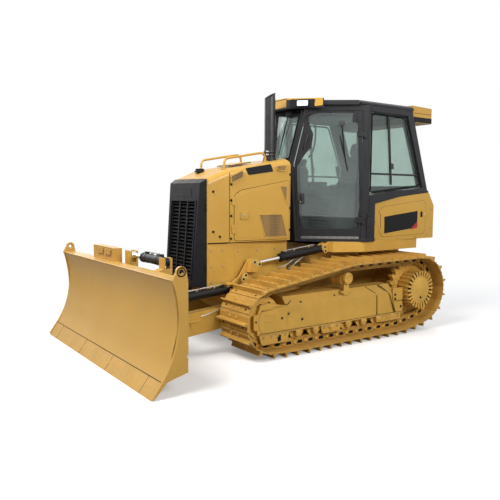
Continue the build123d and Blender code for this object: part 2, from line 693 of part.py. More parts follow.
# Grille: rows of louvres between upright bars, in the guard's recess
GRILLE_LEAN = (GUARD_FRONT_BOTTOM_X - GUARD_FRONT_TOP_X) / (GUARD_TOP_Z - GUARD_BOTTOM_Z)
LOUVRE_PITCH = (GRILLE_TOP_Z - GRILLE_BOTTOM_Z) / LOUVRE_COUNT
BAR_WIDTH = 22.0


def guard_face(z):
    """X of the radiator guard's leaning front face at a height."""
    return GUARD_FRONT_BOTTOM_X - GRILLE_LEAN * (z - GUARD_BOTTOM_Z)


with BuildPart() as grille:
    for bar in range(LOUVRE_COLUMNS + 1):
        bar_y = -GRILLE_HALF + BAR_WIDTH / 2 + bar * (2 * GRILLE_HALF - BAR_WIDTH) / LOUVRE_COLUMNS
        with BuildSketch(Plane.XZ.offset(-bar_y)):
            with BuildLine():
                Polyline(
                    (guard_face(GRILLE_BOTTOM_Z) - 70.0, GRILLE_BOTTOM_Z),
                    (guard_face(GRILLE_BOTTOM_Z) - 6.0, GRILLE_BOTTOM_Z),
                    (guard_face(GRILLE_TOP_Z) - 6.0, GRILLE_TOP_Z),
                    (guard_face(GRILLE_TOP_Z) - 70.0, GRILLE_TOP_Z),
                    close=True,
                )
            make_face()
        extrude(amount=BAR_WIDTH / 2, both=True)
    for row in range(LOUVRE_COUNT):
        louvre_z = GRILLE_BOTTOM_Z + (row + 0.25) * LOUVRE_PITCH
        face_x = guard_face(louvre_z) - 12.0
        with BuildSketch(Plane.XZ):
            with BuildLine():
                Polyline(
                    (face_x, louvre_z),
                    (face_x, louvre_z + 5.0),
                    (face_x - 40.0, louvre_z + 27.0),
                    (face_x - 40.0, louvre_z + 22.0),
                    close=True,
                )
            make_face()
        extrude(amount=GRILLE_HALF - BAR_WIDTH / 2, both=True)
grille.part.label = "grille"
export_step(grille.part, "parts/grille.step")

# Handrails on the hood
RAIL_R = 13.0
RAIL_HEIGHT = 110.0
RAIL_REAR_X = MID_X + 720.0
RAIL_FRONT_X = MID_X + 1270.0
RAIL_FOOT = RAIL_R * HOOD_SLOPE + SEAT_GAP


def hood_top(x):
    """Height of the hood's top face over a point along the machine."""
    return HOOD_REAR_TOP_Z - HOOD_SLOPE * (x - HOOD_REAR_X)


with BuildPart() as hood_rails:
    for side, sign in SIDES:
        rail_y = sign * (HOOD_FRONT_HALF - 110.0)
        with BuildLine(Plane.XZ.offset(-rail_y)):
            FilletPolyline(
                (RAIL_REAR_X, hood_top(RAIL_REAR_X) + RAIL_FOOT),
                (RAIL_REAR_X, hood_top(RAIL_REAR_X) + RAIL_HEIGHT),
                (RAIL_FRONT_X, hood_top(RAIL_FRONT_X) + RAIL_HEIGHT),
                (RAIL_FRONT_X, hood_top(RAIL_FRONT_X) + RAIL_FOOT),
                radius=60.0,
            )
        with BuildSketch(Plane((RAIL_REAR_X, rail_y, hood_top(RAIL_REAR_X) + RAIL_FOOT))):
            Circle(RAIL_R)
        sweep()
hood_rails.part.label = "hood_rails"
export_step(hood_rails.part, "parts/hood_rails.step")

# Exhaust stack in front of the cab, its outlet cut off at a slant
EXHAUST_X = MID_X + 580.0
EXHAUST_Y = 140.0
EXHAUST_R = 63.0
EXHAUST_TOP_Z = 2840.0
HOOD_PLANE = Plane(
    origin=(HOOD_REAR_X, 0, HOOD_REAR_TOP_Z + SEAT_GAP),
    x_dir=(1, 0, -HOOD_SLOPE),
    z_dir=(HOOD_SLOPE, 0, 1),
)
with BuildPart() as exhaust_stack:
    with BuildSketch(Plane.XY.offset(HOOD_FRONT_TOP_Z)):
        with Locations((EXHAUST_X, EXHAUST_Y)):
            Circle(EXHAUST_R)
    extrude(amount=EXHAUST_TOP_Z - HOOD_FRONT_TOP_Z)
    with BuildSketch(Plane.XY.offset(HOOD_FRONT_TOP_Z)):
        with Locations((EXHAUST_X, EXHAUST_Y)):
            Circle(EXHAUST_R + 14.0)
    extrude(amount=HOOD_REAR_TOP_Z + 20.0 - HOOD_FRONT_TOP_Z)
    split(bisect_by=HOOD_PLANE, keep=Keep.TOP)
    with BuildSketch(Plane.XY.offset(EXHAUST_TOP_Z - 260.0)):
        with Locations((EXHAUST_X, EXHAUST_Y)):
            Circle(EXHAUST_R - 4.0)
    extrude(amount=300.0, mode=Mode.SUBTRACT)
    with BuildSketch(Plane.XZ):
        with BuildLine():
            Polyline(
                (EXHAUST_X - EXHAUST_R - 5.0, EXHAUST_TOP_Z + 1.0),
                (EXHAUST_X + EXHAUST_R + 5.0, EXHAUST_TOP_Z + 1.0),
                (EXHAUST_X + EXHAUST_R + 5.0, EXHAUST_TOP_Z - 90.0),
                close=True,
            )
        make_face()
    extrude(amount=400.0, both=True, mode=Mode.SUBTRACT)
exhaust_stack.part.label = "exhaust_stack"
export_step(exhaust_stack.part, "parts/exhaust_stack.step")

# Tank and battery housing: a U round the back of the seat, chamfered at its upper rear edge
with BuildPart() as rear_tank:
    with BuildSketch(Plane.XZ):
        with BuildLine():
            Polyline(
                (TANK_FRONT_X, TANK_BOTTOM_Z),
                (TANK_FRONT_X, TANK_FRONT_TOP_Z),
                TANK_SHOULDER,
                (MID_X - 1590.0, CAB_WAIST_Z - 12.0),
                (TANK_REAR_X, 1540.0),
                (TANK_REAR_X, TANK_BOTTOM_Z),
                close=True,
            )
        make_face()
    extrude(amount=TANK_HALF, both=True)
    with BuildSketch(Plane.XY.offset(TANK_BOTTOM_Z - 5.0)):
        with BuildLine():
            Polyline(
                (TANK_FRONT_X + 5.0, -TANK_INNER_HALF),
                (TANK_FRONT_X + 5.0, TANK_INNER_HALF),
                (TANK_WALL_X, TANK_INNER_HALF),
                (TANK_WALL_X, -TANK_INNER_HALF),
                close=True,
            )
        make_face()
    extrude(amount=800.0, mode=Mode.SUBTRACT)
rear_tank.part.label = "rear_tank"
export_step(rear_tank.part, "parts/rear_tank.step")

# Fenders: boxes over the tracks beside the hull, with the lift barrels' brackets
FENDER_BOTTOM_Z = 1000.0
FENDER_TOP_Z = SILL_Z - CAB_FLOOR_THICK
FENDER_FRONT_X = LIFT_BARREL_PIN[0] - 60.0
with BuildPart() as fenders:
    for side, sign in SIDES:
        with BuildSketch(Plane.XY.offset(FENDER_BOTTOM_Z)):
            with BuildLine():
                Polyline(
                    (FENDER_FRONT_X, sign * HULL_HALF_WIDTH),
                    (FENDER_FRONT_X, sign * 560.0),
                    (CAB_WIDE_X, sign * (CAB_WIDE_HALF - 20.0)),
                    (MID_X - 1400.0, sign * (TANK_HALF - 20.0)),
                    (MID_X - 1400.0, sign * HULL_HALF_WIDTH),
                    close=True,
                )
            make_face()
        extrude(amount=FENDER_TOP_Z - FENDER_BOTTOM_Z)
        for cheek in (-1, 1):
            cheek_y = sign * (LIFT_Y + cheek * (LIFT_EYE_HALF + SIDE_GAP + CHEEK / 2))
            with BuildSketch(Plane.XZ.offset(-cheek_y)):
                with BuildLine():
                    Polyline(
                        (FENDER_FRONT_X - 20.0, FENDER_BOTTOM_Z),
                        (LIFT_BARREL_PIN[0] + 10.0, FENDER_BOTTOM_Z),
                        (LIFT_BARREL_PIN[0] + 45.0, LIFT_BARREL_PIN[1] - 10.0),
                        (LIFT_BARREL_PIN[0] + 40.0, LIFT_BARREL_PIN[1] + 50.0),
                        (FENDER_FRONT_X - 20.0, FENDER_TOP_Z),
                        close=True,
                    )
                make_face()
            extrude(amount=CHEEK / 2, both=True)
        with BuildSketch(Plane.XZ.offset(-sign * LIFT_Y)):
            with Locations(LIFT_BARREL_PIN):
                Circle(CYLINDER_PIN_R)
        extrude(amount=LIFT_EYE_HALF + SIDE_GAP + CHEEK, both=True)
fenders.part.label = "fenders"
export_step(fenders.part, "parts/fenders.step")

# Cab floor: follows the cab's plan, and runs back between the tank's arms
with BuildPart() as cab_floor:
    with BuildSketch(Plane.XY.offset(SILL_Z - CAB_FLOOR_THICK)):
        with BuildLine():
            Polyline(
                (CAB_FRONT_X, -CAB_FRONT_HALF),
                (CAB_FRONT_X, CAB_FRONT_HALF),
                (CAB_WIDE_X, CAB_WIDE_HALF),
                (TANK_FRONT_X + SEAT_GAP, CAB_WIDE_HALF),
                (TANK_FRONT_X + SEAT_GAP, TANK_INNER_HALF - SEAT_GAP),
                (TANK_WALL_X + SEAT_GAP, TANK_INNER_HALF - SEAT_GAP),
                (TANK_WALL_X + SEAT_GAP, -TANK_INNER_HALF + SEAT_GAP),
                (TANK_FRONT_X + SEAT_GAP, -TANK_INNER_HALF + SEAT_GAP),
                (TANK_FRONT_X + SEAT_GAP, -CAB_WIDE_HALF),
                (CAB_WIDE_X, -CAB_WIDE_HALF),
                close=True,
            )
        make_face()
    extrude(amount=CAB_FLOOR_THICK)
cab_floor.part.label = "cab_floor"
export_step(cab_floor.part, "parts/cab_floor.step")


def cab_plan(inset):
    """Plan of the cab's walls, narrow at the windscreen, flared along the doors, then parallel."""
    return [
        (WALL_FRONT[0], -WALL_FRONT[1] + inset),
        (WALL_FRONT[0], WALL_FRONT[1] - inset),
        (CAB_WIDE_X, CAB_WIDE_HALF - inset),
        (CAB_REAR_FOOT_X - 50.0, CAB_WIDE_HALF - 60.0 - inset),
        (CAB_REAR_FOOT_X - 50.0, -CAB_WIDE_HALF + 60.0 + inset),
        (CAB_WIDE_X, -CAB_WIDE_HALF + inset),
    ]


def cab_side(inset, foot):
    """Side view of the cab: upright to the elbow, raked windscreen, flat head, raked back."""
    return [
        (CAB_FRONT_X - inset, foot),
        (CAB_ELBOW_X - inset, CAB_ELBOW_Z),
        (CAB_HEAD_X - inset, CAB_HEAD_Z - inset),
        (CAB_REAR_TOP_X + inset, CAB_HEAD_Z - inset),
        (CAB_REAR_FOOT_X + inset, CAB_WAIST_Z),
        (TANK_SHOULDER[0], TANK_SHOULDER[1] + 2 * SEAT_GAP),
        (TANK_FRONT_X + SEAT_GAP, TANK_FRONT_TOP_Z + 2 * SEAT_GAP),
        (TANK_FRONT_X + SEAT_GAP, foot),
    ]


def wall_plane(start, end, sign):
    """Plane of a side wall's outer face: x forward along the wall from its start, y up."""
    line = unit(start, end)
    return Plane(
        origin=(start[0], sign * start[1], 0),
        x_dir=(line[0], sign * line[1], 0),
        z_dir=(sign * line[1], -line[0], 0),
    )


DOOR_SLOPE = (CAB_WIDE_HALF - CAB_FRONT_HALF) / (CAB_FRONT_X - CAB_WIDE_X)
WALL_REAR = (CAB_REAR_FOOT_X - 50.0, CAB_WIDE_HALF - 60.0)
WALL_WIDE = (CAB_WIDE_X, CAB_WIDE_HALF)
WALL_FRONT = (CAB_ELBOW_X + 20.0, CAB_FRONT_HALF - (CAB_ELBOW_X + 20.0 - CAB_FRONT_X) * DOOR_SLOPE)
DOOR_LINE = unit(WALL_WIDE, WALL_FRONT)


def door_plane(sign):
    """Plane of a door's outer face, its x from the rear door post."""
    return wall_plane(WALL_WIDE, WALL_FRONT, sign)


def hinge_plane(sign, z):
    """Level plane at a hinge: x forward along the door's sill, y to the machine's left."""
    return Plane(
        origin=(WALL_WIDE[0], sign * WALL_WIDE[1], z),
        x_dir=(DOOR_LINE[0], sign * DOOR_LINE[1], 0),
        z_dir=(0, 0, 1),
    )


# Hinges: lugs on the rear post hold a pin, a knuckle on the door turns between them
HINGE_ALONG = 40.0
HINGE_OUT = 25.0
HINGE_R = 15.0
HINGE_PIN_R = 8.0
HINGE_HALF = 32.0
HINGE_LUG = 14.0
HINGE_LEVELS = (SILL_Z + 230.0, CAB_HEAD_Z - 330.0)

# Door outline in the door's own plane. Columns: distance forward of the rear post, height
DOOR_OUTLINE = (
    (60.0, SILL_Z + 6.0),
    (775.0, SILL_Z + 6.0),
    (808.0, SILL_Z + 60.0),
    (860.0, CAB_ELBOW_Z - 10.0),
    (722.0, CAB_HEAD_Z - 90.0),
    (690.0, CAB_HEAD_Z - 62.0),
    (60.0, CAB_HEAD_Z - 62.0),
)

# Rear side window
PANE_FRONT_X = CAB_WIDE_X - 45.0
PANE_FRONT_BOTTOM_Z = CAB_WAIST_Z - 50.0
PANE_HEAD_X = CAB_REAR_TOP_X + 90.0
PANE_FOOT_X = CAB_REAR_FOOT_X + 110.0
PANE_BOTTOM_Z = CAB_WAIST_Z + 50.0
PANE_TOP_Z = CAB_HEAD_Z - 62.0
REAR_PANE_WIDTH = 1120.0
REAR_PANE_RIM = 150.0

# Windscreen: its foot over the elbow, its head under the roof, and its half widths there
SCREEN_FOOT = 60.0
SCREEN_HEAD = 80.0
SCREEN_FOOT_HALF = 125.0
SCREEN_HEAD_HALF = 205.0

# Room inside the cab, cut out of its shell
with BuildPart() as cab_room:
    with BuildSketch(Plane.XZ):
        with BuildLine():
            Polyline(
                (CAB_FRONT_X - CAB_WALL, SILL_Z - 10.0),
                (CAB_ELBOW_X - CAB_WALL, CAB_ELBOW_Z),
                (CAB_HEAD_X - CAB_WALL, CAB_HEAD_Z - CAB_WALL),
                (CAB_REAR_TOP_X + CAB_WALL, CAB_HEAD_Z - CAB_WALL),
                (CAB_REAR_FOOT_X + CAB_WALL, CAB_WAIST_Z - 10.0),
                (CAB_REAR_FOOT_X + CAB_WALL, SILL_Z - 10.0),
                close=True,
            )
        make_face()
    extrude(amount=CAB_WIDE_HALF + 50.0, both=True)
    with BuildSketch(Plane.XY.offset(SILL_Z - 10.0)):
        with BuildLine():
            Polyline(*cab_plan(CAB_WALL), close=True)
        make_face()
    extrude(amount=CAB_HEAD_Z - SILL_Z, mode=Mode.INTERSECT)

# Cab frame: a shell of posts and rails, with its windows and doorways cut
with BuildPart() as cab_frame:
    with BuildSketch(Plane.XZ):
        with BuildLine():
            Polyline(*cab_side(0.0, SILL_Z), close=True)
        make_face()
    extrude(amount=CAB_WIDE_HALF + 50.0, both=True)
    with BuildSketch(Plane.XY.offset(SILL_Z)):
        with BuildLine():
            Polyline(*cab_plan(0.0), close=True)
        make_face()
    extrude(amount=CAB_HEAD_Z - SILL_Z, mode=Mode.INTERSECT)
    add(cab_room.part, mode=Mode.SUBTRACT)
    # Windscreen, over its full height
    with BuildSketch(Plane.YZ.offset(CAB_HEAD_X - 120.0)):
        with BuildLine():
            Polyline(
                (-SCREEN_FOOT_HALF, CAB_ELBOW_Z + SCREEN_FOOT),
                (SCREEN_FOOT_HALF, CAB_ELBOW_Z + SCREEN_FOOT),
                (SCREEN_HEAD_HALF, CAB_HEAD_Z - SCREEN_HEAD),
                (-SCREEN_HEAD_HALF, CAB_HEAD_Z - SCREEN_HEAD),
                close=True,
            )
        make_face()
    extrude(amount=700.0, mode=Mode.SUBTRACT)
    # Rear side windows and rear window
    with BuildSketch(Plane.XZ):
        with BuildLine():
            Polyline(
                (PANE_FRONT_X, PANE_FRONT_BOTTOM_Z),
                (PANE_FRONT_X, PANE_TOP_Z),
                (PANE_HEAD_X, PANE_TOP_Z),
                (PANE_FOOT_X, PANE_BOTTOM_Z),
                close=True,
            )
        make_face()
    extrude(amount=CAB_WIDE_HALF + 60.0, both=True, mode=Mode.SUBTRACT)
    with BuildSketch(Plane.YZ.offset(CAB_REAR_FOOT_X - 100.0)):
        with Locations((0, (CAB_WAIST_Z + CAB_HEAD_Z) / 2)):
            Rectangle(REAR_PANE_WIDTH, CAB_HEAD_Z - CAB_WAIST_Z - REAR_PANE_RIM)
    extrude(amount=600.0, mode=Mode.SUBTRACT)
    for side, sign in SIDES:
        with BuildSketch(door_plane(sign)):
            with BuildLine():
                Polyline(*DOOR_OUTLINE, close=True)
            make_face()
        extrude(amount=120.0, both=True, mode=Mode.SUBTRACT)
        for level in HINGE_LEVELS:
            for end in (-1, 1):
                lug_z = level + end * (HINGE_HALF + 3.0) - (HINGE_LUG if end < 0 else 0)
                with BuildSketch(hinge_plane(sign, lug_z)):
                    with Locations((HINGE_ALONG, sign * HINGE_OUT)):
                        Circle(HINGE_R)
                    with BuildLine():
                        Polyline(
                            (HINGE_ALONG - HINGE_R, sign * HINGE_OUT),
                            (HINGE_ALONG + HINGE_R, sign * HINGE_OUT),
                            (HINGE_ALONG + 18.0, -sign * 4.0),
                            (HINGE_ALONG - 24.0, -sign * 4.0),
                            close=True,
                        )
                    make_face()
                extrude(amount=HINGE_LUG)
            with BuildSketch(hinge_plane(sign, level)):
                with Locations((HINGE_ALONG, sign * HINGE_OUT)):
                    Circle(HINGE_PIN_R)
            extrude(amount=HINGE_HALF + 3.0 + HINGE_LUG / 2, both=True)
cab_frame.part.label = "cab_frame"
export_step(cab_frame.part, "parts/cab_frame.step")

# Roof over the cab, following its plan, with a lip all round
ROOF_FRONT = (CAB_HEAD_X + 68.0, 205.0)
ROOF_CORNER = (CAB_HEAD_X - 82.0, 410.0)
with BuildPart() as cab_roof:
    with BuildSketch(Plane.XY.offset(CAB_HEAD_Z)):
        with BuildLine():
            Polyline(
                ROOF_FRONT,
                ROOF_CORNER,
                (CAB_WIDE_X + 115.0, 705.0),
                (CAB_REAR_TOP_X - 10.0, 715.0),
                (CAB_REAR_TOP_X - 10.0, -715.0),
                (CAB_WIDE_X + 115.0, -705.0),
                (ROOF_CORNER[0], -ROOF_CORNER[1]),
                (ROOF_FRONT[0], -ROOF_FRONT[1]),
                close=True,
            )
        make_face()
    extrude(amount=ROOF_TOP_Z - CAB_HEAD_Z)
    chamfer(cab_roof.faces().sort_by(Axis.Z)[-1].edges(), length=20.0)
cab_roof.part.label = "cab_roof"
export_step(cab_roof.part, "parts/cab_roof.step")

# Lamp housing round the roof's front edge and its two front corners
VISOR_FRONT = (ROOF_FRONT[0] + 100.0, 150.0)
VISOR_END = (ROOF_CORNER[0] - 30.0, 480.0)
with BuildPart() as roof_visor:
    with BuildSketch(Plane.XY.offset(CAB_HEAD_Z - 40.0)):
        with BuildLine():
            Polyline(
                (ROOF_FRONT[0] + SEAT_GAP, ROOF_FRONT[1]),
                (ROOF_CORNER[0] + 2 * SEAT_GAP, ROOF_CORNER[1]),
                (VISOR_END[0], VISOR_END[1] - 43.0),
                VISOR_END,
                VISOR_FRONT,
                (VISOR_FRONT[0], -VISOR_FRONT[1]),
                (VISOR_END[0], -VISOR_END[1]),
                (VISOR_END[0], -VISOR_END[1] + 43.0),
                (ROOF_CORNER[0] + 2 * SEAT_GAP, -ROOF_CORNER[1]),
                (ROOF_FRONT[0] + SEAT_GAP, -ROOF_FRONT[1]),
                close=True,
            )
        make_face()
    extrude(amount=110.0)
roof_visor.part.label = "roof_visor"
export_step(roof_visor.part, "parts/roof_visor.step")

# Housing across the back of the roof
with BuildPart() as rear_light_box:
    with BuildSketch(Plane.XZ):
        with BuildLine():
            Polyline(
                (CAB_REAR_TOP_X - 10.0 - SEAT_GAP, ROOF_TOP_Z + 20.0),
                (CAB_REAR_TOP_X - 10.0 - SEAT_GAP, ROOF_TOP_Z - 55.0),
                (CAB_REAR_TOP_X - 80.0, ROOF_TOP_Z - 185.0),
                (CAB_REAR_TOP_X - 390.0, ROOF_TOP_Z - 185.0),
                (CAB_REAR_TOP_X - 390.0, ROOF_TOP_Z + 10.0),
                close=True,
            )
        make_face()
    extrude(amount=690.0, both=True)
rear_light_box.part.label = "rear_light_box"
export_step(rear_light_box.part, "parts/rear_light_box.step")

# Doors: a frame with its pane, hinged on the rear post
DOOR_THICK = 44.0
DOOR_RIM = 62.0
DOOR_GAP = 6.0
for side, sign in SIDES:
    with BuildPart() as door:
        with BuildSketch(door_plane(sign)):
            with BuildLine():
                Polyline(*DOOR_OUTLINE, close=True)
            make_face()
            offset(amount=-DOOR_GAP)
        extrude(amount=sign * DOOR_THICK)
        with BuildSketch(door_plane(sign)):
            with BuildLine():
                Polyline(*DOOR_OUTLINE, close=True)
            make_face()
            offset(amount=-DOOR_GAP - DOOR_RIM)
        extrude(amount=DOOR_THICK * 2, both=True, mode=Mode.SUBTRACT)
        for level in HINGE_LEVELS:
            with BuildSketch(hinge_plane(sign, level)):
                with Locations((HINGE_ALONG, sign * HINGE_OUT)):
                    Circle(HINGE_R)
                with BuildLine():
                    Polyline(
                        (HINGE_ALONG, sign * 8.0),
                        (HINGE_ALONG + 30.0, sign * 6.0),
                        (HINGE_ALONG + 34.0, -sign * 1.0),
                        (HINGE_ALONG + 76.0, -sign * 1.0),
                        (HINGE_ALONG + 76.0, sign * 12.0),
                        (HINGE_ALONG, sign * (HINGE_OUT + HINGE_R)),
                        close=True,
                    )
                make_face()
                with Locations((HINGE_ALONG, sign * HINGE_OUT)):
                    Circle(HINGE_PIN_R + RUNNING_GAP, mode=Mode.SUBTRACT)
            extrude(amount=HINGE_HALF, both=True)
    door.part.label = f"{side}_door"
    export_step(door.part, f"parts/{side}_door.step")
    with BuildPart() as pane:
        with BuildSketch(door_plane(sign).offset(sign * (DOOR_THICK - GLASS) / 2)):
            with BuildLine():
                Polyline(*DOOR_OUTLINE, close=True)
            make_face()
            offset(amount=-DOOR_GAP - DOOR_RIM - SEAT_GAP)
        extrude(amount=sign * GLASS)
    pane.part.label = f"{side}_door_glass"
    export_step(pane.part, f"parts/{side}_door_glass.step")

# Cab glass: windscreen, rear side panes and rear pane, each in the middle of its wall
with BuildPart() as cab_glass:
    screen_foot = (CAB_ELBOW_X, CAB_ELBOW_Z)
    screen_line = unit(screen_foot, (CAB_HEAD_X, CAB_HEAD_Z))
    screen = Plane(
        origin=(screen_foot[0] - CAB_WALL / 2, 0, screen_foot[1]),
        x_dir=(0, 1, 0),
        z_dir=(screen_line[1], 0, -screen_line[0]),
    )
    screen_rise = screen_line[1]
    foot_reach = SCREEN_FOOT / screen_rise + SEAT_GAP
    head_reach = (CAB_HEAD_Z - CAB_ELBOW_Z - SCREEN_HEAD + GLASS * screen_line[0]) / screen_rise - SEAT_GAP
    with BuildSketch(screen):
        with BuildLine():
            Polyline(
                (-SCREEN_FOOT_HALF + SEAT_GAP, foot_reach),
                (SCREEN_FOOT_HALF - SEAT_GAP, foot_reach),
                (SCREEN_HEAD_HALF - 4 * SEAT_GAP, head_reach),
                (-SCREEN_HEAD_HALF + 4 * SEAT_GAP, head_reach),
                close=True,
            )
        make_face()
    extrude(amount=GLASS)
    wall_line = unit(WALL_REAR, WALL_WIDE)
    pane_gap = 3 * SEAT_GAP
    pane_front = (PANE_FRONT_X - WALL_REAR[0]) / wall_line[0] - 3 * pane_gap
    pane_head = (PANE_HEAD_X - WALL_REAR[0]) / wall_line[0] + pane_gap
    pane_foot = (PANE_FOOT_X - WALL_REAR[0]) / wall_line[0] + pane_gap
    for side, sign in SIDES:
        with BuildSketch(wall_plane(WALL_REAR, WALL_WIDE, sign).offset(sign * CAB_WALL / 2)):
            with BuildLine():
                Polyline(
                    (pane_front, PANE_FRONT_BOTTOM_Z + SEAT_GAP),
                    (pane_front, PANE_TOP_Z - SEAT_GAP),
                    (pane_head, PANE_TOP_Z - SEAT_GAP),
                    (pane_foot, PANE_BOTTOM_Z + SEAT_GAP),
                    close=True,
                )
            make_face()
        extrude(amount=GLASS / 2, both=True)
    rear_line = unit((CAB_REAR_FOOT_X, CAB_WAIST_Z), (CAB_REAR_TOP_X, CAB_HEAD_Z))
    rear_middle = ((CAB_REAR_FOOT_X + CAB_REAR_TOP_X) / 2 + CAB_WALL / 2, (CAB_WAIST_Z + CAB_HEAD_Z) / 2)
    rear_window = Plane(
        origin=(rear_middle[0], 0, rear_middle[1]),
        x_dir=(0, 1, 0),
        z_dir=(rear_line[1], 0, -rear_line[0]),
    )
    with BuildSketch(rear_window):
        Rectangle(REAR_PANE_WIDTH - 2 * SEAT_GAP, (CAB_HEAD_Z - CAB_WAIST_Z - REAR_PANE_RIM - 6.0) / rear_line[1])
    extrude(amount=GLASS)
cab_glass.part.label = "cab_glass"
export_step(cab_glass.part, "parts/cab_glass.step")

# Seat: cushion, back and headrest as plain soft solids, on a rigid pedestal
SEAT_X = MID_X - 560.0
SEAT_TOP_Z = 1640.0
SEAT_THICK = 130.0
SEAT_BACK_THICK = 110.0
SEAT_BACK_PLANE = Plane(origin=(SEAT_X - 240.0, 0, SEAT_TOP_Z + 4.0), x_dir=(0, 1, 0), z_dir=(0.96, 0, 0.28))
with BuildPart() as seat_base:
    with BuildSketch(Plane.XY.offset(SILL_Z)):
        with Locations((SEAT_X, 0)):
            Rectangle(380.0, 380.0)
    extrude(amount=SEAT_TOP_Z - SEAT_THICK - SILL_Z)
    with BuildSketch(Plane.XY.offset(SEAT_TOP_Z - SEAT_THICK - 70.0)):
        with Locations((SEAT_X - 250.0, 0)):
            Rectangle(180.0, 300.0)
    extrude(amount=70.0)
    with BuildSketch(SEAT_BACK_PLANE.offset(-SEAT_BACK_THICK - SEAT_GAP)):
        with Locations((0, 70.0)):
            Rectangle(300.0, 440.0)
    extrude(amount=-20.0)
seat_base.part.label = "seat_base"
export_step(seat_base.part, "parts/seat_base.step")

with BuildPart() as seat_cushion:
    with BuildSketch(Plane.XY.offset(SEAT_TOP_Z - SEAT_THICK + SEAT_GAP)):
        with Locations((SEAT_X + 20.0, 0)):
            RectangleRounded(500.0, 500.0, 60.0)
    extrude(amount=SEAT_THICK)
seat_cushion.part.label = "seat_cushion"
export_step(seat_cushion.part, "parts/seat_cushion.step")

with BuildPart() as seat_back:
    with BuildSketch(SEAT_BACK_PLANE):
        with Locations((0, 300.0)):
            RectangleRounded(480.0, 560.0, 80.0)
        with Locations((0, 680.0)):
            RectangleRounded(280.0, 180.0, 60.0)
        with Locations((0, 585.0)):
            Rectangle(100.0, 60.0)
    extrude(amount=-SEAT_BACK_THICK)
seat_back.part.label = "seat_back"
export_step(seat_back.part, "parts/seat_back.step")

# Consoles: an armrest box each side of the seat and the dash behind the windscreen
with BuildPart() as consoles:
    for side, sign in SIDES:
        with BuildSketch(Plane.XY.offset(SILL_Z)):
            with Locations((SEAT_X + 60.0, sign * 355.0)):
                Rectangle(520.0, 170.0)
        extrude(amount=640.0)
    with BuildSketch(Plane.XY.offset(SILL_Z)):
        with Locations((CAB_FRONT_X - 150.0, 0)):
            Rectangle(180.0, 340.0)
    extrude(amount=820.0)
consoles.part.label = "consoles"
export_step(consoles.part, "parts/consoles.step")

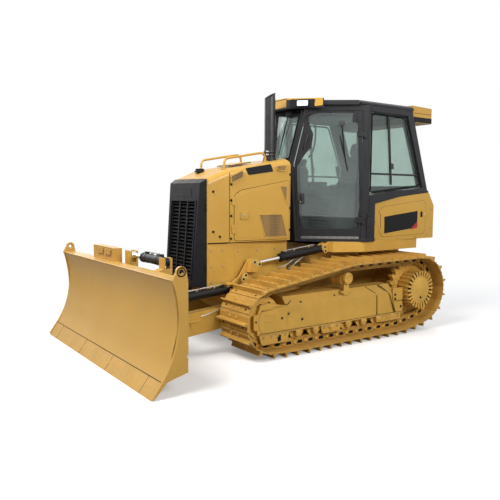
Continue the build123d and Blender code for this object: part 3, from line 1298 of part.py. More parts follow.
# C-frame: two arms on the hull's pivot pins, joined by the nose, with a tower on each arm
ARM_Y = ARM_INNER_Y + ARM_THICK / 2
TOWER_INNER_Y = LIFT_Y - LIFT_EYE_HALF - SIDE_GAP - CHEEK / 2
TOWER_OUTER_Y = LIFT_Y + LIFT_EYE_HALF + SIDE_GAP + CHEEK / 2
NOSE_BOTTOM_Z = 215.0
NOSE_TOP_Z = 445.0
with BuildPart() as c_frame:
    for side, sign in SIDES:
        with BuildSketch(Plane.XZ.offset(-sign * ARM_Y)):
            with Locations((PIVOT_X, PIVOT_Z)):
                Circle(ARM_EYE_R)
            with BuildLine():
                Polyline(
                    (PIVOT_X, PIVOT_Z + ARM_EYE_R),
                    (MID_X + 950.0, 530.0),
                    (MID_X + 1515.0, 485.0),
                    (NOSE_FRONT_X, NOSE_TOP_Z),
                    (NOSE_FRONT_X, NOSE_BOTTOM_Z),
                    (MID_X + 1905.0, NOSE_BOTTOM_Z),
                    (MID_X + 1505.0, 256.0),
                    (PIVOT_X, PIVOT_Z - ARM_EYE_R),
                    close=True,
                )
            make_face()
            with Locations((PIVOT_X, PIVOT_Z)):
                Circle(PIVOT_PIN_R + RUNNING_GAP, mode=Mode.SUBTRACT)
        extrude(amount=ARM_THICK / 2, both=True)
        with BuildSketch(Plane.XZ.offset(-sign * TOWER_INNER_Y)):
            with BuildLine():
                Polyline(
                    (MID_X + 900.0, 480.0),
                    (LIFT_ROD_PIN[0] - 45.0, LIFT_ROD_PIN[1] - 20.0),
                    (LIFT_ROD_PIN[0] - 30.0, LIFT_ROD_PIN[1] + 40.0),
                    (LIFT_ROD_PIN[0] + 80.0, LIFT_ROD_PIN[1] + 50.0),
                    (MID_X + 1195.0, 786.0),
                    (MID_X + 1270.0, 745.0),
                    (MID_X + 1270.0, 480.0),
                    close=True,
                )
            make_face()
        extrude(amount=CHEEK / 2, both=True)
        with BuildSketch(Plane.XZ.offset(-sign * TOWER_OUTER_Y)):
            with BuildLine():
                Polyline(
                    (LIFT_ROD_PIN[0] - 45.0, LIFT_ROD_PIN[1] - 20.0),
                    (LIFT_ROD_PIN[0] - 30.0, LIFT_ROD_PIN[1] + 40.0),
                    (LIFT_ROD_PIN[0] + 80.0, LIFT_ROD_PIN[1] + 50.0),
                    (LIFT_ROD_PIN[0] + 110.0, LIFT_ROD_PIN[1] - 90.0),
                    (LIFT_ROD_PIN[0] + 10.0, LIFT_ROD_PIN[1] - 90.0),
                    close=True,
                )
            make_face()
        extrude(amount=CHEEK / 2, both=True)
        web_inner = LIFT_Y - LIFT_EYE_HALF - SIDE_GAP - CHEEK
        web_outer = LIFT_Y + LIFT_EYE_HALF + SIDE_GAP + CHEEK
        with BuildSketch(Plane.XZ.offset(-sign * (web_inner + web_outer) / 2)):
            with BuildLine():
                Polyline(
                    (LIFT_ROD_PIN[0] + 62.0, LIFT_ROD_PIN[1] + 46.0),
                    (LIFT_ROD_PIN[0] + 80.0, LIFT_ROD_PIN[1] + 50.0),
                    (LIFT_ROD_PIN[0] + 110.0, LIFT_ROD_PIN[1] - 90.0),
                    (LIFT_ROD_PIN[0] + 92.0, LIFT_ROD_PIN[1] - 90.0),
                    close=True,
                )
            make_face()
        extrude(amount=(web_outer - web_inner) / 2, both=True)
        for level in (-1, 1):
            ear_z = ANGLE_REAR[2] + level * (YOKE_HALF + SIDE_GAP) - (CHEEK if level < 0 else 0)
            with BuildSketch(Plane.XY.offset(ear_z)):
                with BuildLine():
                    Polyline(
                        (MID_X + 1262.0, sign * (ANGLE_REAR[1] - 34.0)),
                        (ANGLE_REAR[0], sign * (ANGLE_REAR[1] - 34.0)),
                        (ANGLE_REAR[0] + 28.0, sign * (ANGLE_REAR[1] - 14.0)),
                        (ANGLE_REAR[0] + 28.0, sign * (ANGLE_REAR[1] + 14.0)),
                        (ANGLE_REAR[0], sign * (ANGLE_REAR[1] + 34.0)),
                        (MID_X + 1262.0, sign * (ANGLE_REAR[1] + 34.0)),
                        close=True,
                    )
                make_face()
                with Locations((ANGLE_REAR[0], sign * ANGLE_REAR[1])):
                    Circle(YOKE_PIN_R + RUNNING_GAP, mode=Mode.SUBTRACT)
            extrude(amount=CHEEK)
        with BuildSketch(Plane.XY.offset(470.0)):
            with Locations((MID_X + 1262.0, sign * ANGLE_REAR[1])):
                Rectangle(16.0, 68.0)
        extrude(amount=ANGLE_REAR[2] + YOKE_HALF + SIDE_GAP + CHEEK - 470.0)
    with BuildSketch(Plane.XZ):
        with BuildLine():
            Polyline(
                (NOSE_REAR_X, NOSE_BOTTOM_Z),
                (NOSE_FRONT_X, NOSE_BOTTOM_Z),
                (NOSE_FRONT_X, NOSE_TOP_Z),
                (NOSE_REAR_X + 40.0, NOSE_TOP_Z),
                (NOSE_REAR_X, NOSE_TOP_Z - 50.0),
                close=True,
            )
        make_face()
    extrude(amount=ARM_INNER_Y + ARM_THICK, both=True)
    with BuildSketch(Plane.XY.offset(NOSE_BOTTOM_Z)):
        with Locations((KNUCKLE_X, 0)):
            Circle(75.0)
        with Locations(((KNUCKLE_X + NOSE_FRONT_X) / 2 - 5.0, 0)):
            Rectangle(KNUCKLE_X - NOSE_FRONT_X + 10.0, 100.0)
        with Locations((KNUCKLE_X, 0)):
            Circle(PIVOT_PIN_R + RUNNING_GAP, mode=Mode.SUBTRACT)
    extrude(amount=NOSE_TOP_Z - NOSE_BOTTOM_Z)
c_frame.part.label = "c_frame"
export_step(c_frame.part, "parts/c_frame.step")

# Knuckle: turns on an upright pin in the nose, and carries the blade's tilt pin and tower
PLATE = 26.0
KNUCKLE_GAP = 6.0
FACE_X = KNUCKLE_X + 88.0
TILT_PIN_R = 45.0
TOWER_CHEEK = 20.0
TILT_EYE_HALF = 24.0
TILT_EYE_R = 38.0
with BuildPart() as knuckle:
    for low_z in (NOSE_BOTTOM_Z - KNUCKLE_GAP - PLATE, NOSE_TOP_Z + KNUCKLE_GAP):
        with BuildSketch(Plane.XY.offset(low_z)):
            with Locations((KNUCKLE_X, 0)):
                Circle(80.0)
            with Locations(((KNUCKLE_X + FACE_X) / 2 + 10.0, 0)):
                Rectangle(FACE_X - KNUCKLE_X + 20.0, 160.0)
        extrude(amount=PLATE)
    with BuildSketch(Plane.XY.offset(NOSE_BOTTOM_Z - KNUCKLE_GAP - PLATE)):
        with Locations((KNUCKLE_X, 0)):
            Circle(PIVOT_PIN_R)
    extrude(amount=NOSE_TOP_Z - NOSE_BOTTOM_Z + 2 * (KNUCKLE_GAP + PLATE))
    with BuildSketch(Plane.YZ.offset(FACE_X)):
        with BuildLine():
            Polyline(
                (-110.0, NOSE_BOTTOM_Z - KNUCKLE_GAP - PLATE),
                (110.0, NOSE_BOTTOM_Z - KNUCKLE_GAP - PLATE),
                (110.0, NOSE_TOP_Z + KNUCKLE_GAP + PLATE),
                (60.0, TILT_Z - 100.0),
                (60.0, TILT_Z - 70.0),
                (-60.0, TILT_Z - 70.0),
                (-60.0, TILT_Z - 100.0),
                (-110.0, NOSE_TOP_Z + KNUCKLE_GAP + PLATE),
                close=True,
            )
        make_face()
    extrude(amount=32.0)
    with BuildSketch(Plane.YZ.offset(FACE_X)):
        with Locations((0, KNUCKLE_Z)):
            Circle(TILT_PIN_R)
    extrude(amount=130.0)
    head_rear = TILT_X - TILT_EYE_HALF - SIDE_GAP - TOWER_CHEEK
    head_front = TILT_X + TILT_EYE_HALF + SIDE_GAP + TOWER_CHEEK
    with BuildSketch(Plane.XZ):
        with BuildLine():
            Polyline(
                (head_rear, TILT_Z - 120.0),
                (head_front, TILT_Z - 120.0),
                (head_front, TILT_Z + 45.0),
                (head_front - TOWER_CHEEK, TILT_Z + 45.0),
                (head_front - TOWER_CHEEK, TILT_Z - 70.0),
                (head_rear + TOWER_CHEEK, TILT_Z - 70.0),
                (head_rear + TOWER_CHEEK, TILT_Z + 45.0),
                (head_rear, TILT_Z + 45.0),
                close=True,
            )
        make_face()
    extrude(amount=60.0, both=True)
knuckle.part.label = "knuckle"
export_step(knuckle.part, "parts/knuckle.step")


def circle_through(first, second, third):
    """Centre and radius of the circle through three points of the XZ plane."""
    ax, az = second[0] - first[0], second[1] - first[1]
    bx, bz = third[0] - first[0], third[1] - first[1]
    cross = 2 * (ax * bz - az * bx)
    a2, b2 = ax * ax + az * az, bx * bx + bz * bz
    cx, cz = (bz * a2 - az * b2) / cross, (ax * b2 - bx * a2) / cross
    return (first[0] + cx, first[1] + cz), hypot(cx, cz)


BOARD_CENTRE, BOARD_R = circle_through(
    (BLADE_BIT_X, BLADE_BIT_Z), (BLADE_DEEP_X, BLADE_DEEP_Z), (BLADE_TOP_X, BLADE_TOP_Z)
)


def board(z, behind):
    """Point of the mouldboard at a height, so far behind its curved front face."""
    radius = BOARD_R + behind
    return (BOARD_CENTRE[0] - (radius * radius - (z - BOARD_CENTRE[1]) ** 2) ** 0.5, z)


# Blade: curved mouldboard with box stiffeners behind, end plates with lifting eyes, and brackets
BACK_BOX_X = BLADE_BACK_X - 12.0
with BuildPart() as blade:
    with BuildSketch(Plane.XZ):
        with BuildLine():
            ThreePointArc((BLADE_BIT_X, BLADE_BIT_Z), board(BLADE_DEEP_Z, 0), (BLADE_TOP_X, BLADE_TOP_Z))
            Polyline(
                (BLADE_TOP_X, BLADE_TOP_Z),
                (BACK_BOX_X, BLADE_TOP_Z),
                (BACK_BOX_X, BLADE_TOP_Z - 85.0),
                board(BLADE_TOP_Z - 130.0, BLADE_SKIN),
            )
            ThreePointArc(
                board(BLADE_TOP_Z - 130.0, BLADE_SKIN),
                board(BLADE_DEEP_Z + 20.0, BLADE_SKIN),
                board(375.0, BLADE_SKIN),
            )
            Polyline(
                board(375.0, BLADE_SKIN),
                (BACK_BOX_X + 40.0, 340.0),
                (BACK_BOX_X, 300.0),
                (BACK_BOX_X, 180.0),
                (BLADE_BIT_X - 30.0, BLADE_BIT_Z - 14.0),
                (BLADE_BIT_X, BLADE_BIT_Z),
            )
        make_face()
    extrude(amount=BLADE_HALF_WIDTH - END_PLATE, both=True)
    for side, sign in SIDES:
        with BuildSketch(Plane.XZ.offset(-sign * (BLADE_HALF_WIDTH - END_PLATE / 2))):
            with BuildLine():
                ThreePointArc(board(BLADE_BIT_Z, -8.0), board(BLADE_DEEP_Z, -8.0), board(BLADE_TOP_Z, -8.0))
                Polyline(
                    board(BLADE_TOP_Z, -8.0),
                    (EAR_X + EAR_R, EAR_Z),
                    (EAR_X - EAR_R, EAR_Z),
                    (BLADE_BACK_X, BLADE_TOP_Z - 20.0),
                    (BLADE_BACK_X, 345.0),
                    (BLADE_TIP_X - 20.0, 12.0),
                    (BLADE_TIP_X - 2.0, 10.0),
                    board(BLADE_BIT_Z, -8.0),
                )
            make_face()
            with Locations((EAR_X, EAR_Z)):
                Circle(EAR_R)
            with Locations((EAR_X, EAR_Z + 4.0)):
                Circle(EAR_HOLE_R, mode=Mode.SUBTRACT)
        extrude(amount=END_PLATE / 2, both=True)
        for level in (-1, 1):
            low_z = ANGLE_FRONT[2] + level * (ANGLE_EYE_HALF + ANGLE_FORK_GAP) - (CHEEK if level < 0 else 0)
            with BuildSketch(Plane.XY.offset(low_z)):
                with Locations((ANGLE_FRONT[0], sign * ANGLE_FRONT[1])):
                    Circle(42.0)
                with Locations((ANGLE_FRONT[0] + 67.0, sign * ANGLE_FRONT[1])):
                    Rectangle(134.0, 84.0)
            extrude(amount=CHEEK)
    with BuildSketch(Plane.YZ.offset(FACE_X + 32.0 + KNUCKLE_GAP)):
        with Locations((0, KNUCKLE_Z)):
            Circle(88.0)
    extrude(amount=board(KNUCKLE_Z, BLADE_SKIN)[0] - FACE_X - 32.0 - KNUCKLE_GAP + 4.0)
    with BuildSketch(Plane.YZ.offset(FACE_X + 32.0)):
        with Locations((0, KNUCKLE_Z)):
            Circle(TILT_PIN_R + RUNNING_GAP)
    extrude(amount=110.0, mode=Mode.SUBTRACT)
    bracket_rear = TILT_X - TILT_EYE_HALF - SIDE_GAP - TOWER_CHEEK
    bracket_front = TILT_X + TILT_EYE_HALF + SIDE_GAP + TOWER_CHEEK
    with BuildSketch(Plane.XZ.offset(-TILT_BLADE_Y)):
        with BuildLine():
            Polyline(
                (bracket_rear, TILT_Z - 110.0),
                (BACK_BOX_X + 10.0, TILT_Z - 150.0),
                (BACK_BOX_X + 10.0, TILT_Z - 80.0),
                (bracket_front, TILT_Z - 60.0),
                (bracket_front, TILT_Z + 40.0),
                (bracket_front - TOWER_CHEEK, TILT_Z + 40.0),
                (bracket_front - TOWER_CHEEK, TILT_Z - 60.0),
                (bracket_rear + TOWER_CHEEK, TILT_Z - 60.0),
                (bracket_rear + TOWER_CHEEK, TILT_Z + 40.0),
                (bracket_rear, TILT_Z + 40.0),
                close=True,
            )
        make_face()
    extrude(amount=45.0, both=True)
    with BuildSketch(Plane.YZ.offset(bracket_rear)):
        with Locations((TILT_BLADE_Y, TILT_Z)):
            Circle(CYLINDER_PIN_R)
    extrude(amount=bracket_front - bracket_rear)
    # Guard box on the top edge, on the side away from the tilt cylinder
    with BuildSketch(Plane.XY.offset(BLADE_TOP_Z - 25.0)):
        with Locations((BACK_BOX_X + 5.0, -TOP_BOX_Y)):
            Rectangle(TOP_BOX_DEPTH, TOP_BOX_LENGTH)
    extrude(amount=TOP_BOX_TOP_Z - BLADE_TOP_Z + 25.0)
blade.part.label = "blade"
export_step(blade.part, "parts/blade.step")

# Cutting edge: bolted segments along the foot of the mouldboard
EDGE_LINE = unit((BLADE_TIP_X, 0), (BLADE_BIT_X, BLADE_BIT_Z))
EDGE_SPAN = 2 * (BLADE_HALF_WIDTH - END_PLATE) - 2 * EDGE_GAP
SEGMENT = (EDGE_SPAN - (EDGE_SEGMENTS - 1) * EDGE_GAP) / EDGE_SEGMENTS
EDGE_BACK = (BLADE_BIT_X - EDGE_THICK * EDGE_LINE[1], BLADE_BIT_Z + EDGE_THICK * EDGE_LINE[0])
EDGE_FOOT_X = EDGE_BACK[0] - EDGE_BACK[1] * EDGE_LINE[0] / EDGE_LINE[1]
with BuildPart() as cutting_edge:
    for number in range(EDGE_SEGMENTS):
        middle_y = -EDGE_SPAN / 2 + SEGMENT / 2 + number * (SEGMENT + EDGE_GAP)
        with BuildSketch(Plane.XZ.offset(-middle_y)):
            with BuildLine():
                Polyline(
                    (BLADE_TIP_X, 0),
                    (BLADE_BIT_X, BLADE_BIT_Z),
                    EDGE_BACK,
                    (EDGE_FOOT_X, 0),
                    close=True,
                )
            make_face()
        extrude(amount=SEGMENT / 2, both=True)
cutting_edge.part.label = "cutting_edge"
export_step(cutting_edge.part, "parts/cutting_edge.step")

# Hydraulic cylinders. Barrel: an eye on its pin, and a tube bored for the rod.
# Columns of a size row: tube radius, rod radius, length from pin to tube end, bore start, eye radius, eye half
LIFT_SIZE = (LIFT_BARREL_R, LIFT_ROD_R, LIFT_BARREL_LENGTH, 90.0, LIFT_EYE_R, LIFT_EYE_HALF)
ANGLE_SIZE = (ANGLE_BARREL_R, ANGLE_ROD_R, ANGLE_BARREL_LENGTH, 90.0, ANGLE_EYE_R, ANGLE_EYE_HALF)
TILT_SIZE = (TILT_BARREL_R, TILT_ROD_R, TILT_BARREL_LENGTH, 80.0, TILT_EYE_R, TILT_EYE_HALF)


def along(start, direction, distance):
    """Point at a distance from the start."""
    return tuple(start[axis] + direction[axis] * distance for axis in range(3))


def heading(start, end):
    """Unit direction and distance between two points in space."""
    span = Vector(*end) - Vector(*start)
    return tuple(span.normalized()), span.length


def make_barrel(name, pin, direction, pin_axis, size, pin_r):
    """Barrel of a cylinder, its rear eye turning on a pin along pin_axis."""
    tube_r, rod_r, length, bore_start, eye_r, eye_half = size
    with BuildPart() as barrel:
        with BuildSketch(Plane(origin=along(pin, direction, eye_r + 12.0), z_dir=direction)):
            Circle(tube_r)
        extrude(amount=length - eye_r - 12.0)
        with BuildSketch(Plane(origin=pin, z_dir=pin_axis)):
            Circle(eye_r)
        extrude(amount=eye_half, both=True)
        with BuildSketch(Plane(origin=pin, z_dir=direction)):
            Circle(eye_half - 1.0)
        extrude(amount=eye_r + 20.0)
        with BuildSketch(Plane(origin=pin, z_dir=pin_axis)):
            Circle(pin_r + RUNNING_GAP)
        extrude(amount=eye_half * 2, both=True, mode=Mode.SUBTRACT)
        with BuildSketch(Plane(origin=along(pin, direction, bore_start), z_dir=direction)):
            Circle(rod_r + RUNNING_GAP)
        extrude(amount=length, mode=Mode.SUBTRACT)
    barrel.part.label = name
    export_step(barrel.part, f"parts/{name}.step")


def make_rod(name, pin, direction, reach, pin_axis, size, inner_end):
    """Rod of a cylinder: its eye at reach from the barrel's pin, its other end inside the barrel."""
    rod_r, eye_r, eye_half = size[1], size[4], size[5]
    eye = along(pin, direction, reach)
    with BuildPart() as rod:
        with BuildSketch(Plane(origin=along(pin, direction, inner_end), z_dir=direction)):
            Circle(rod_r)
        extrude(amount=reach - inner_end - eye_r * 0.5)
        with BuildSketch(Plane(origin=eye, z_dir=pin_axis)):
            Circle(eye_r)
        extrude(amount=eye_half, both=True)
    rod.part.label = name
    export_step(rod.part, f"parts/{name}.step")


for side, sign in SIDES:
    lift_pin = (LIFT_BARREL_PIN[0], sign * LIFT_Y, LIFT_BARREL_PIN[1])
    lift_eye = (LIFT_ROD_PIN[0], sign * LIFT_Y, LIFT_ROD_PIN[1])
    lift_line, lift_reach = heading(lift_pin, lift_eye)
    make_barrel(f"lift_barrel_{side}", lift_pin, lift_line, (0, 1, 0), LIFT_SIZE, CYLINDER_PIN_R)
    make_rod(f"lift_rod_{side}", lift_pin, lift_line, lift_reach, (0, 1, 0), LIFT_SIZE, 280.0)

# Angle cylinders: each barrel forks round a yoke, which turns on upright pins in the C-frame's ears
YOKE_FLAT = 18.0
FORK_CHEEK = 18.0
for side, sign in SIDES:
    rear = (ANGLE_REAR[0], sign * ANGLE_REAR[1], ANGLE_REAR[2])
    front = (ANGLE_FRONT[0], sign * ANGLE_FRONT[1], ANGLE_FRONT[2])
    angle_line, angle_reach = heading(rear, front)
    across = tuple(Vector(0, 0, 1).cross(Vector(*angle_line)).normalized())
    with BuildPart() as angle_yoke:
        with BuildSketch(Plane.XY.offset(ANGLE_REAR[2] - YOKE_HALF)):
            with Locations((rear[0], rear[1])):
                Circle(YOKE_FLAT)
        extrude(amount=YOKE_HALF * 2)
        with BuildSketch(Plane.XY.offset(ANGLE_REAR[2] - YOKE_HALF - SIDE_GAP - CHEEK)):
            with Locations((rear[0], rear[1])):
                Circle(YOKE_PIN_R)
        extrude(amount=(YOKE_HALF + SIDE_GAP + CHEEK) * 2)
        with BuildSketch(Plane(origin=rear, z_dir=across)):
            Circle(YOKE_PIN_R)
        extrude(amount=YOKE_FLAT + 1.0 + FORK_CHEEK, both=True)
    angle_yoke.part.label = f"angle_yoke_{side}"
    export_step(angle_yoke.part, f"parts/angle_yoke_{side}.step")
    with BuildPart() as angle_barrel:
        with BuildSketch(Plane(origin=along(rear, angle_line, 48.0), z_dir=angle_line)):
            Circle(ANGLE_BARREL_R)
        extrude(amount=ANGLE_BARREL_LENGTH - 48.0)
        for cheek in (-1, 1):
            cheek_start = along(rear, across, cheek * (YOKE_FLAT + 1.0 + FORK_CHEEK / 2))
            with BuildSketch(Plane(origin=cheek_start, x_dir=angle_line, z_dir=across)):
                Circle(28.0)
                with Locations((30.0, 0)):
                    Rectangle(60.0, 50.0)
                Circle(YOKE_PIN_R + RUNNING_GAP, mode=Mode.SUBTRACT)
            extrude(amount=FORK_CHEEK / 2, both=True)
        with BuildSketch(Plane(origin=along(rear, angle_line, 90.0), z_dir=angle_line)):
            Circle(ANGLE_ROD_R + RUNNING_GAP)
        extrude(amount=ANGLE_BARREL_LENGTH, mode=Mode.SUBTRACT)
    angle_barrel.part.label = f"angle_barrel_{side}"
    export_step(angle_barrel.part, f"parts/angle_barrel_{side}.step")
    make_rod(f"angle_rod_{side}", rear, angle_line, angle_reach, (0, 0, 1), ANGLE_SIZE, 320.0)

tilt_pin = (TILT_X, TILT_BLADE_Y, TILT_Z)
tilt_eye = (TILT_X, TILT_TOWER_Y, TILT_Z)
tilt_line, tilt_reach = heading(tilt_pin, tilt_eye)
make_barrel("tilt_barrel", tilt_pin, tilt_line, (1, 0, 0), TILT_SIZE, CYLINDER_PIN_R)
make_rod("tilt_rod", tilt_pin, tilt_line, tilt_reach, (1, 0, 0), TILT_SIZE, 215.0)
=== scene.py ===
import math

import bpy
from mathutils import Matrix, Vector


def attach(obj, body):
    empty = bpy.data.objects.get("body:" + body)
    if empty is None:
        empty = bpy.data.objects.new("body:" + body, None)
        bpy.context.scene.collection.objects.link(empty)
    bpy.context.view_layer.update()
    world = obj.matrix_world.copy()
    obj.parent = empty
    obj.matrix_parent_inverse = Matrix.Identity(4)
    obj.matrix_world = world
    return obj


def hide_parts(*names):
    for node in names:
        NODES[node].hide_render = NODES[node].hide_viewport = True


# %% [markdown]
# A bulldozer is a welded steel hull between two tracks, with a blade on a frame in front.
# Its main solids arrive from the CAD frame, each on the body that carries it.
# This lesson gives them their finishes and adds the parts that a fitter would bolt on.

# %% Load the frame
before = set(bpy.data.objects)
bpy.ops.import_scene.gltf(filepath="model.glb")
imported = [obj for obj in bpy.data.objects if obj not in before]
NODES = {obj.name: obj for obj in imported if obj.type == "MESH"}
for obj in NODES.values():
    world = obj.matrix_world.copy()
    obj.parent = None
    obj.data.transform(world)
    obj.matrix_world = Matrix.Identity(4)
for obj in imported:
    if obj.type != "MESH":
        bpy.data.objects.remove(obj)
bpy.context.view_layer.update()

# %% [markdown]
# The camera stands low in front of the machine on its left, where the photograph was taken.
# A camera could be moved by eye until the outlines agree. Here its place and angles were
# worked out from measured corners of the machine, so every part lines up at once.

# %% Camera
CAMERA_PLACE = Vector((4.2105, 5.57, 1.69))
YAW = math.radians(-125.42)
PITCH = math.radians(-5.59)
ROLL = math.radians(0.37)
SENSOR_MM = 36.0
FOCAL_PIXELS = 583.0
PHOTO_PIXELS = 500.0
ahead = Vector((math.cos(PITCH) * math.cos(YAW), math.cos(PITCH) * math.sin(YAW), math.sin(PITCH)))
level = ahead.cross(Vector((0, 0, 1))).normalized()
upward = level.cross(ahead)
right = level * math.cos(ROLL) + upward * math.sin(ROLL)
up = upward * math.cos(ROLL) - level * math.sin(ROLL)
camera_data = bpy.data.cameras.new("camera")
camera_data.sensor_fit = "HORIZONTAL"
camera_data.sensor_width = SENSOR_MM
camera_data.lens = SENSOR_MM * FOCAL_PIXELS / PHOTO_PIXELS
camera = bpy.data.objects.new("camera", camera_data)
bpy.context.scene.collection.objects.link(camera)
turn = Matrix((right, up, -ahead)).transposed().to_4x4()
camera.matrix_world = Matrix.Translation(CAMERA_PLACE) @ turn
bpy.context.scene.camera = camera
print("lens", round(camera_data.lens, 2))

# %% [markdown]
# A product photograph stands on white paper under large soft lamps. The paper could be lit
# until it burns out, but then the machine would burn out too. So the world is white only
# to the camera, to mirrors and through glass. The floor takes a little glow of its own near
# the machine, where it holds the shadow, and fades into plain white farther off.

# %% World, floor and lamps
def node(tree, kind, feeds=None, **settings):
    """A shader node. Each feed is a value, or the output of another node that is linked in."""
    made = tree.nodes.new("ShaderNode" + kind)
    for key, value in settings.items():
        setattr(made, key, value)
    for key, value in (feeds or {}).items():
        if isinstance(value, bpy.types.NodeSocket):
            tree.links.new(value, made.inputs[key])
        else:
            made.inputs[key].default_value = value
    return made


def empty_tree(owner):
    """The node tree of a material or world, with nothing in it."""
    owner.use_nodes = True
    owner.node_tree.nodes.clear()
    return owner.node_tree


bpy.context.scene.view_settings.view_transform = "Standard"
world = bpy.data.worlds.new("studio")
bpy.context.scene.world = world
tree = empty_tree(world)
ray = node(tree, "LightPath").outputs
seen = node(tree, "Math", {0: ray["Is Camera Ray"], 1: ray["Is Transmission Ray"]}, operation="MAXIMUM")
through = node(tree, "Math", {0: seen.outputs[0], 1: ray["Is Glossy Ray"]}, operation="MAXIMUM")
room = node(tree, "Background", {"Color": (0.93, 0.96, 1.0, 1), "Strength": 0.20})
paper = node(tree, "Background", {"Color": (1, 1, 1, 1), "Strength": 1.0})
choice = node(tree, "MixShader", {0: through.outputs[0], 1: room.outputs[0], 2: paper.outputs[0]})
node(tree, "OutputWorld", {"Surface": choice.outputs[0]})

bpy.ops.mesh.primitive_grid_add(x_subdivisions=4, y_subdivisions=4, size=60, location=(0, 0, -0.001))
floor = bpy.context.object
floor.name = "studio_floor"
floor_paint = bpy.data.materials.new("studio_paper")
tree = empty_tree(floor_paint)
diffuse = node(tree, "BsdfDiffuse", {"Color": (0.86, 0.86, 0.87, 1)})
glow = node(tree, "Emission", {"Strength": 0.22})
near = node(tree, "AddShader", {0: diffuse.outputs[0], 1: glow.outputs[0]})
where = node(tree, "TexCoord")
reach = node(tree, "VectorMath", {0: where.outputs["Object"]}, operation="LENGTH")
fade = node(tree, "MapRange", {"From Min": 3.2, "From Max": 6.5, "Value": reach.outputs["Value"]},
            interpolation_type="SMOOTHSTEP")
white = node(tree, "Emission", {"Strength": 1.0})
far = node(tree, "MixShader", {0: fade.outputs["Result"], 1: near.outputs[0], 2: white.outputs[0]})
bounce = node(tree, "BsdfDiffuse", {"Color": (0.42, 0.42, 0.43, 1)})
ray = node(tree, "LightPath").outputs
switch = node(tree, "MixShader", {0: ray["Is Camera Ray"], 1: bounce.outputs[0], 2: far.outputs[0]})
node(tree, "OutputMaterial", {"Surface": switch.outputs[0]})
floor.data.materials.append(floor_paint)


def lamp(name, place, aim, width, height, power, colour=(1, 1, 1)):
    """A rectangular soft lamp at a place, turned to its aim."""
    data = bpy.data.lights.new(name, "AREA")
    data.shape = "RECTANGLE"
    data.size = width
    data.size_y = height
    data.energy = power
    data.color = colour
    obj = bpy.data.objects.new(name, data)
    bpy.context.scene.collection.objects.link(obj)
    direction = Vector(aim) - Vector(place)
    obj.matrix_world = Matrix.Translation(place) @ direction.to_track_quat("-Z", "Y").to_matrix().to_4x4()


lamp("key", (5.0, 1.0, 6.5), (0.4, 0.0, 0.9), 3.6, 3.0, 520, (1.0, 0.98, 0.95))
lamp("side_soft", (-0.5, 7.5, 5.0), (-0.4, 0.0, 1.0), 5.0, 2.4, 385, (1.0, 0.99, 0.97))
lamp("rear_soft", (-6.5, -3.5, 5.5), (-0.6, 0.0, 1.2), 4.0, 4.0, 260, (0.95, 0.98, 1.0))
lamp("far_soft", (1.5, -7.0, 4.0), (0.2, 0.0, 1.0), 5.0, 3.0, 110)
print("lamps", 4)

# %% [markdown]
# Paint on a machine is never one flat colour. It fades in patches, gathers dust on top,
# and rubs through at edges and corners. Its lighter edges here are partly rubbed paint and
# partly painted highlight, where light catches them. Photographs of worn paint could be
# used, but they stretch on a curved part. Noise read at each point of the part has no seams
# and no scale errors, so every finish here is built from it.


# %% A finish from noise
def finish(name, colour, rough=0.5, metal=0.0, patch=0.12, patch_scale=2.5, grain=60.0, bump=0.15, wear_and_highlight=0.0,
           wear_and_highlight_colour=(0.8, 0.62, 0.3), wear_and_highlight_size=0.004, dust=0.0, coat=0.0, sheen=0.0, depth=0.002, shine=0.5):
    """Painted, cast or moulded surface with patches, grain, settled dust, and edges lightened as rubbed paint and
    painted highlight.
    """
    mat = bpy.data.materials.new(name)
    mat.use_nodes = True
    tree = mat.node_tree
    where = node(tree, "TexCoord").outputs

    def noise(scale, detail=3.0, roughness=0.55):
        feeds = {"Scale": scale, "Detail": detail, "Roughness": roughness, "Vector": where["Object"]}
        return node(tree, "TexNoise", feeds).outputs["Fac"]

    def span(source, low, high, to_low=0.0, to_high=1.0):
        feeds = {"From Min": low, "From Max": high, "To Min": to_low, "To Max": to_high, "Value": source}
        return node(tree, "MapRange", feeds).outputs["Result"]

    def times(first, second):
        return node(tree, "Math", {0: first, 1: second}, operation="MULTIPLY").outputs[0]

    def blend(factor, first, second):
        first, second = [(*c, 1) if isinstance(c, tuple) else c for c in (first, second)]
        return node(tree, "Mix", {"Factor": factor, 6: first, 7: second}, data_type="RGBA").outputs[2]

    dark = tuple(c * (1 - patch) for c in colour)
    light = tuple(min(1.0, c * (1 + patch)) for c in colour)
    tint = blend(span(noise(patch_scale, 4.0), 0.3, 0.7), dark, light)
    tint = blend(span(noise(patch_scale * 9), 0.45, 0.75, 0.0, 0.35), tint, dark)
    if dust:
        face = node(tree, "SeparateXYZ", {0: where["Normal"]})
        settled = times(span(face.outputs["Z"], 0.3, 0.95), span(noise(7.0, 6.0, 0.7), 0.35, 0.7, 0.0, dust))
        tint = blend(settled, tint, (0.52, 0.46, 0.37))
    # Edges are lightened towards the edge colour: partly rubbed paint, partly painted highlight where light catches
    # them.
    if wear_and_highlight:
        rounded = node(tree, "Bevel", {"Radius": wear_and_highlight_size}, samples=4)
        plain = node(tree, "NewGeometry")
        dot = node(tree, "VectorMath", {0: rounded.outputs[0], 1: plain.outputs["Normal"]}, operation="DOT_PRODUCT")
        edge = span(dot.outputs["Value"], 0.97, 0.80)
        tint = blend(times(edge, span(noise(35.0, 5.0, 0.7), 0.35, 0.62, 0.15 * wear_and_highlight, wear_and_highlight)), tint, wear_and_highlight_colour)
    lump = node(tree, "Bump", {"Strength": bump, "Distance": depth, "Height": noise(grain, 4.0, 0.6)})
    shader = tree.nodes["Principled BSDF"]
    for key, value in {"Metallic": metal, "Coat Weight": coat, "Coat Roughness": 0.25, "Sheen Weight": sheen,
                       "Specular IOR Level": shine}.items():
        shader.inputs[key].default_value = value
    for key, source in {"Base Color": tint, "Normal": lump.outputs[0],
                        "Roughness": span(noise(patch_scale * 4, 4.0), 0.3, 0.7, rough - 0.08, rough + 0.08)}.items():
        tree.links.new(source, shader.inputs[key])
    return mat
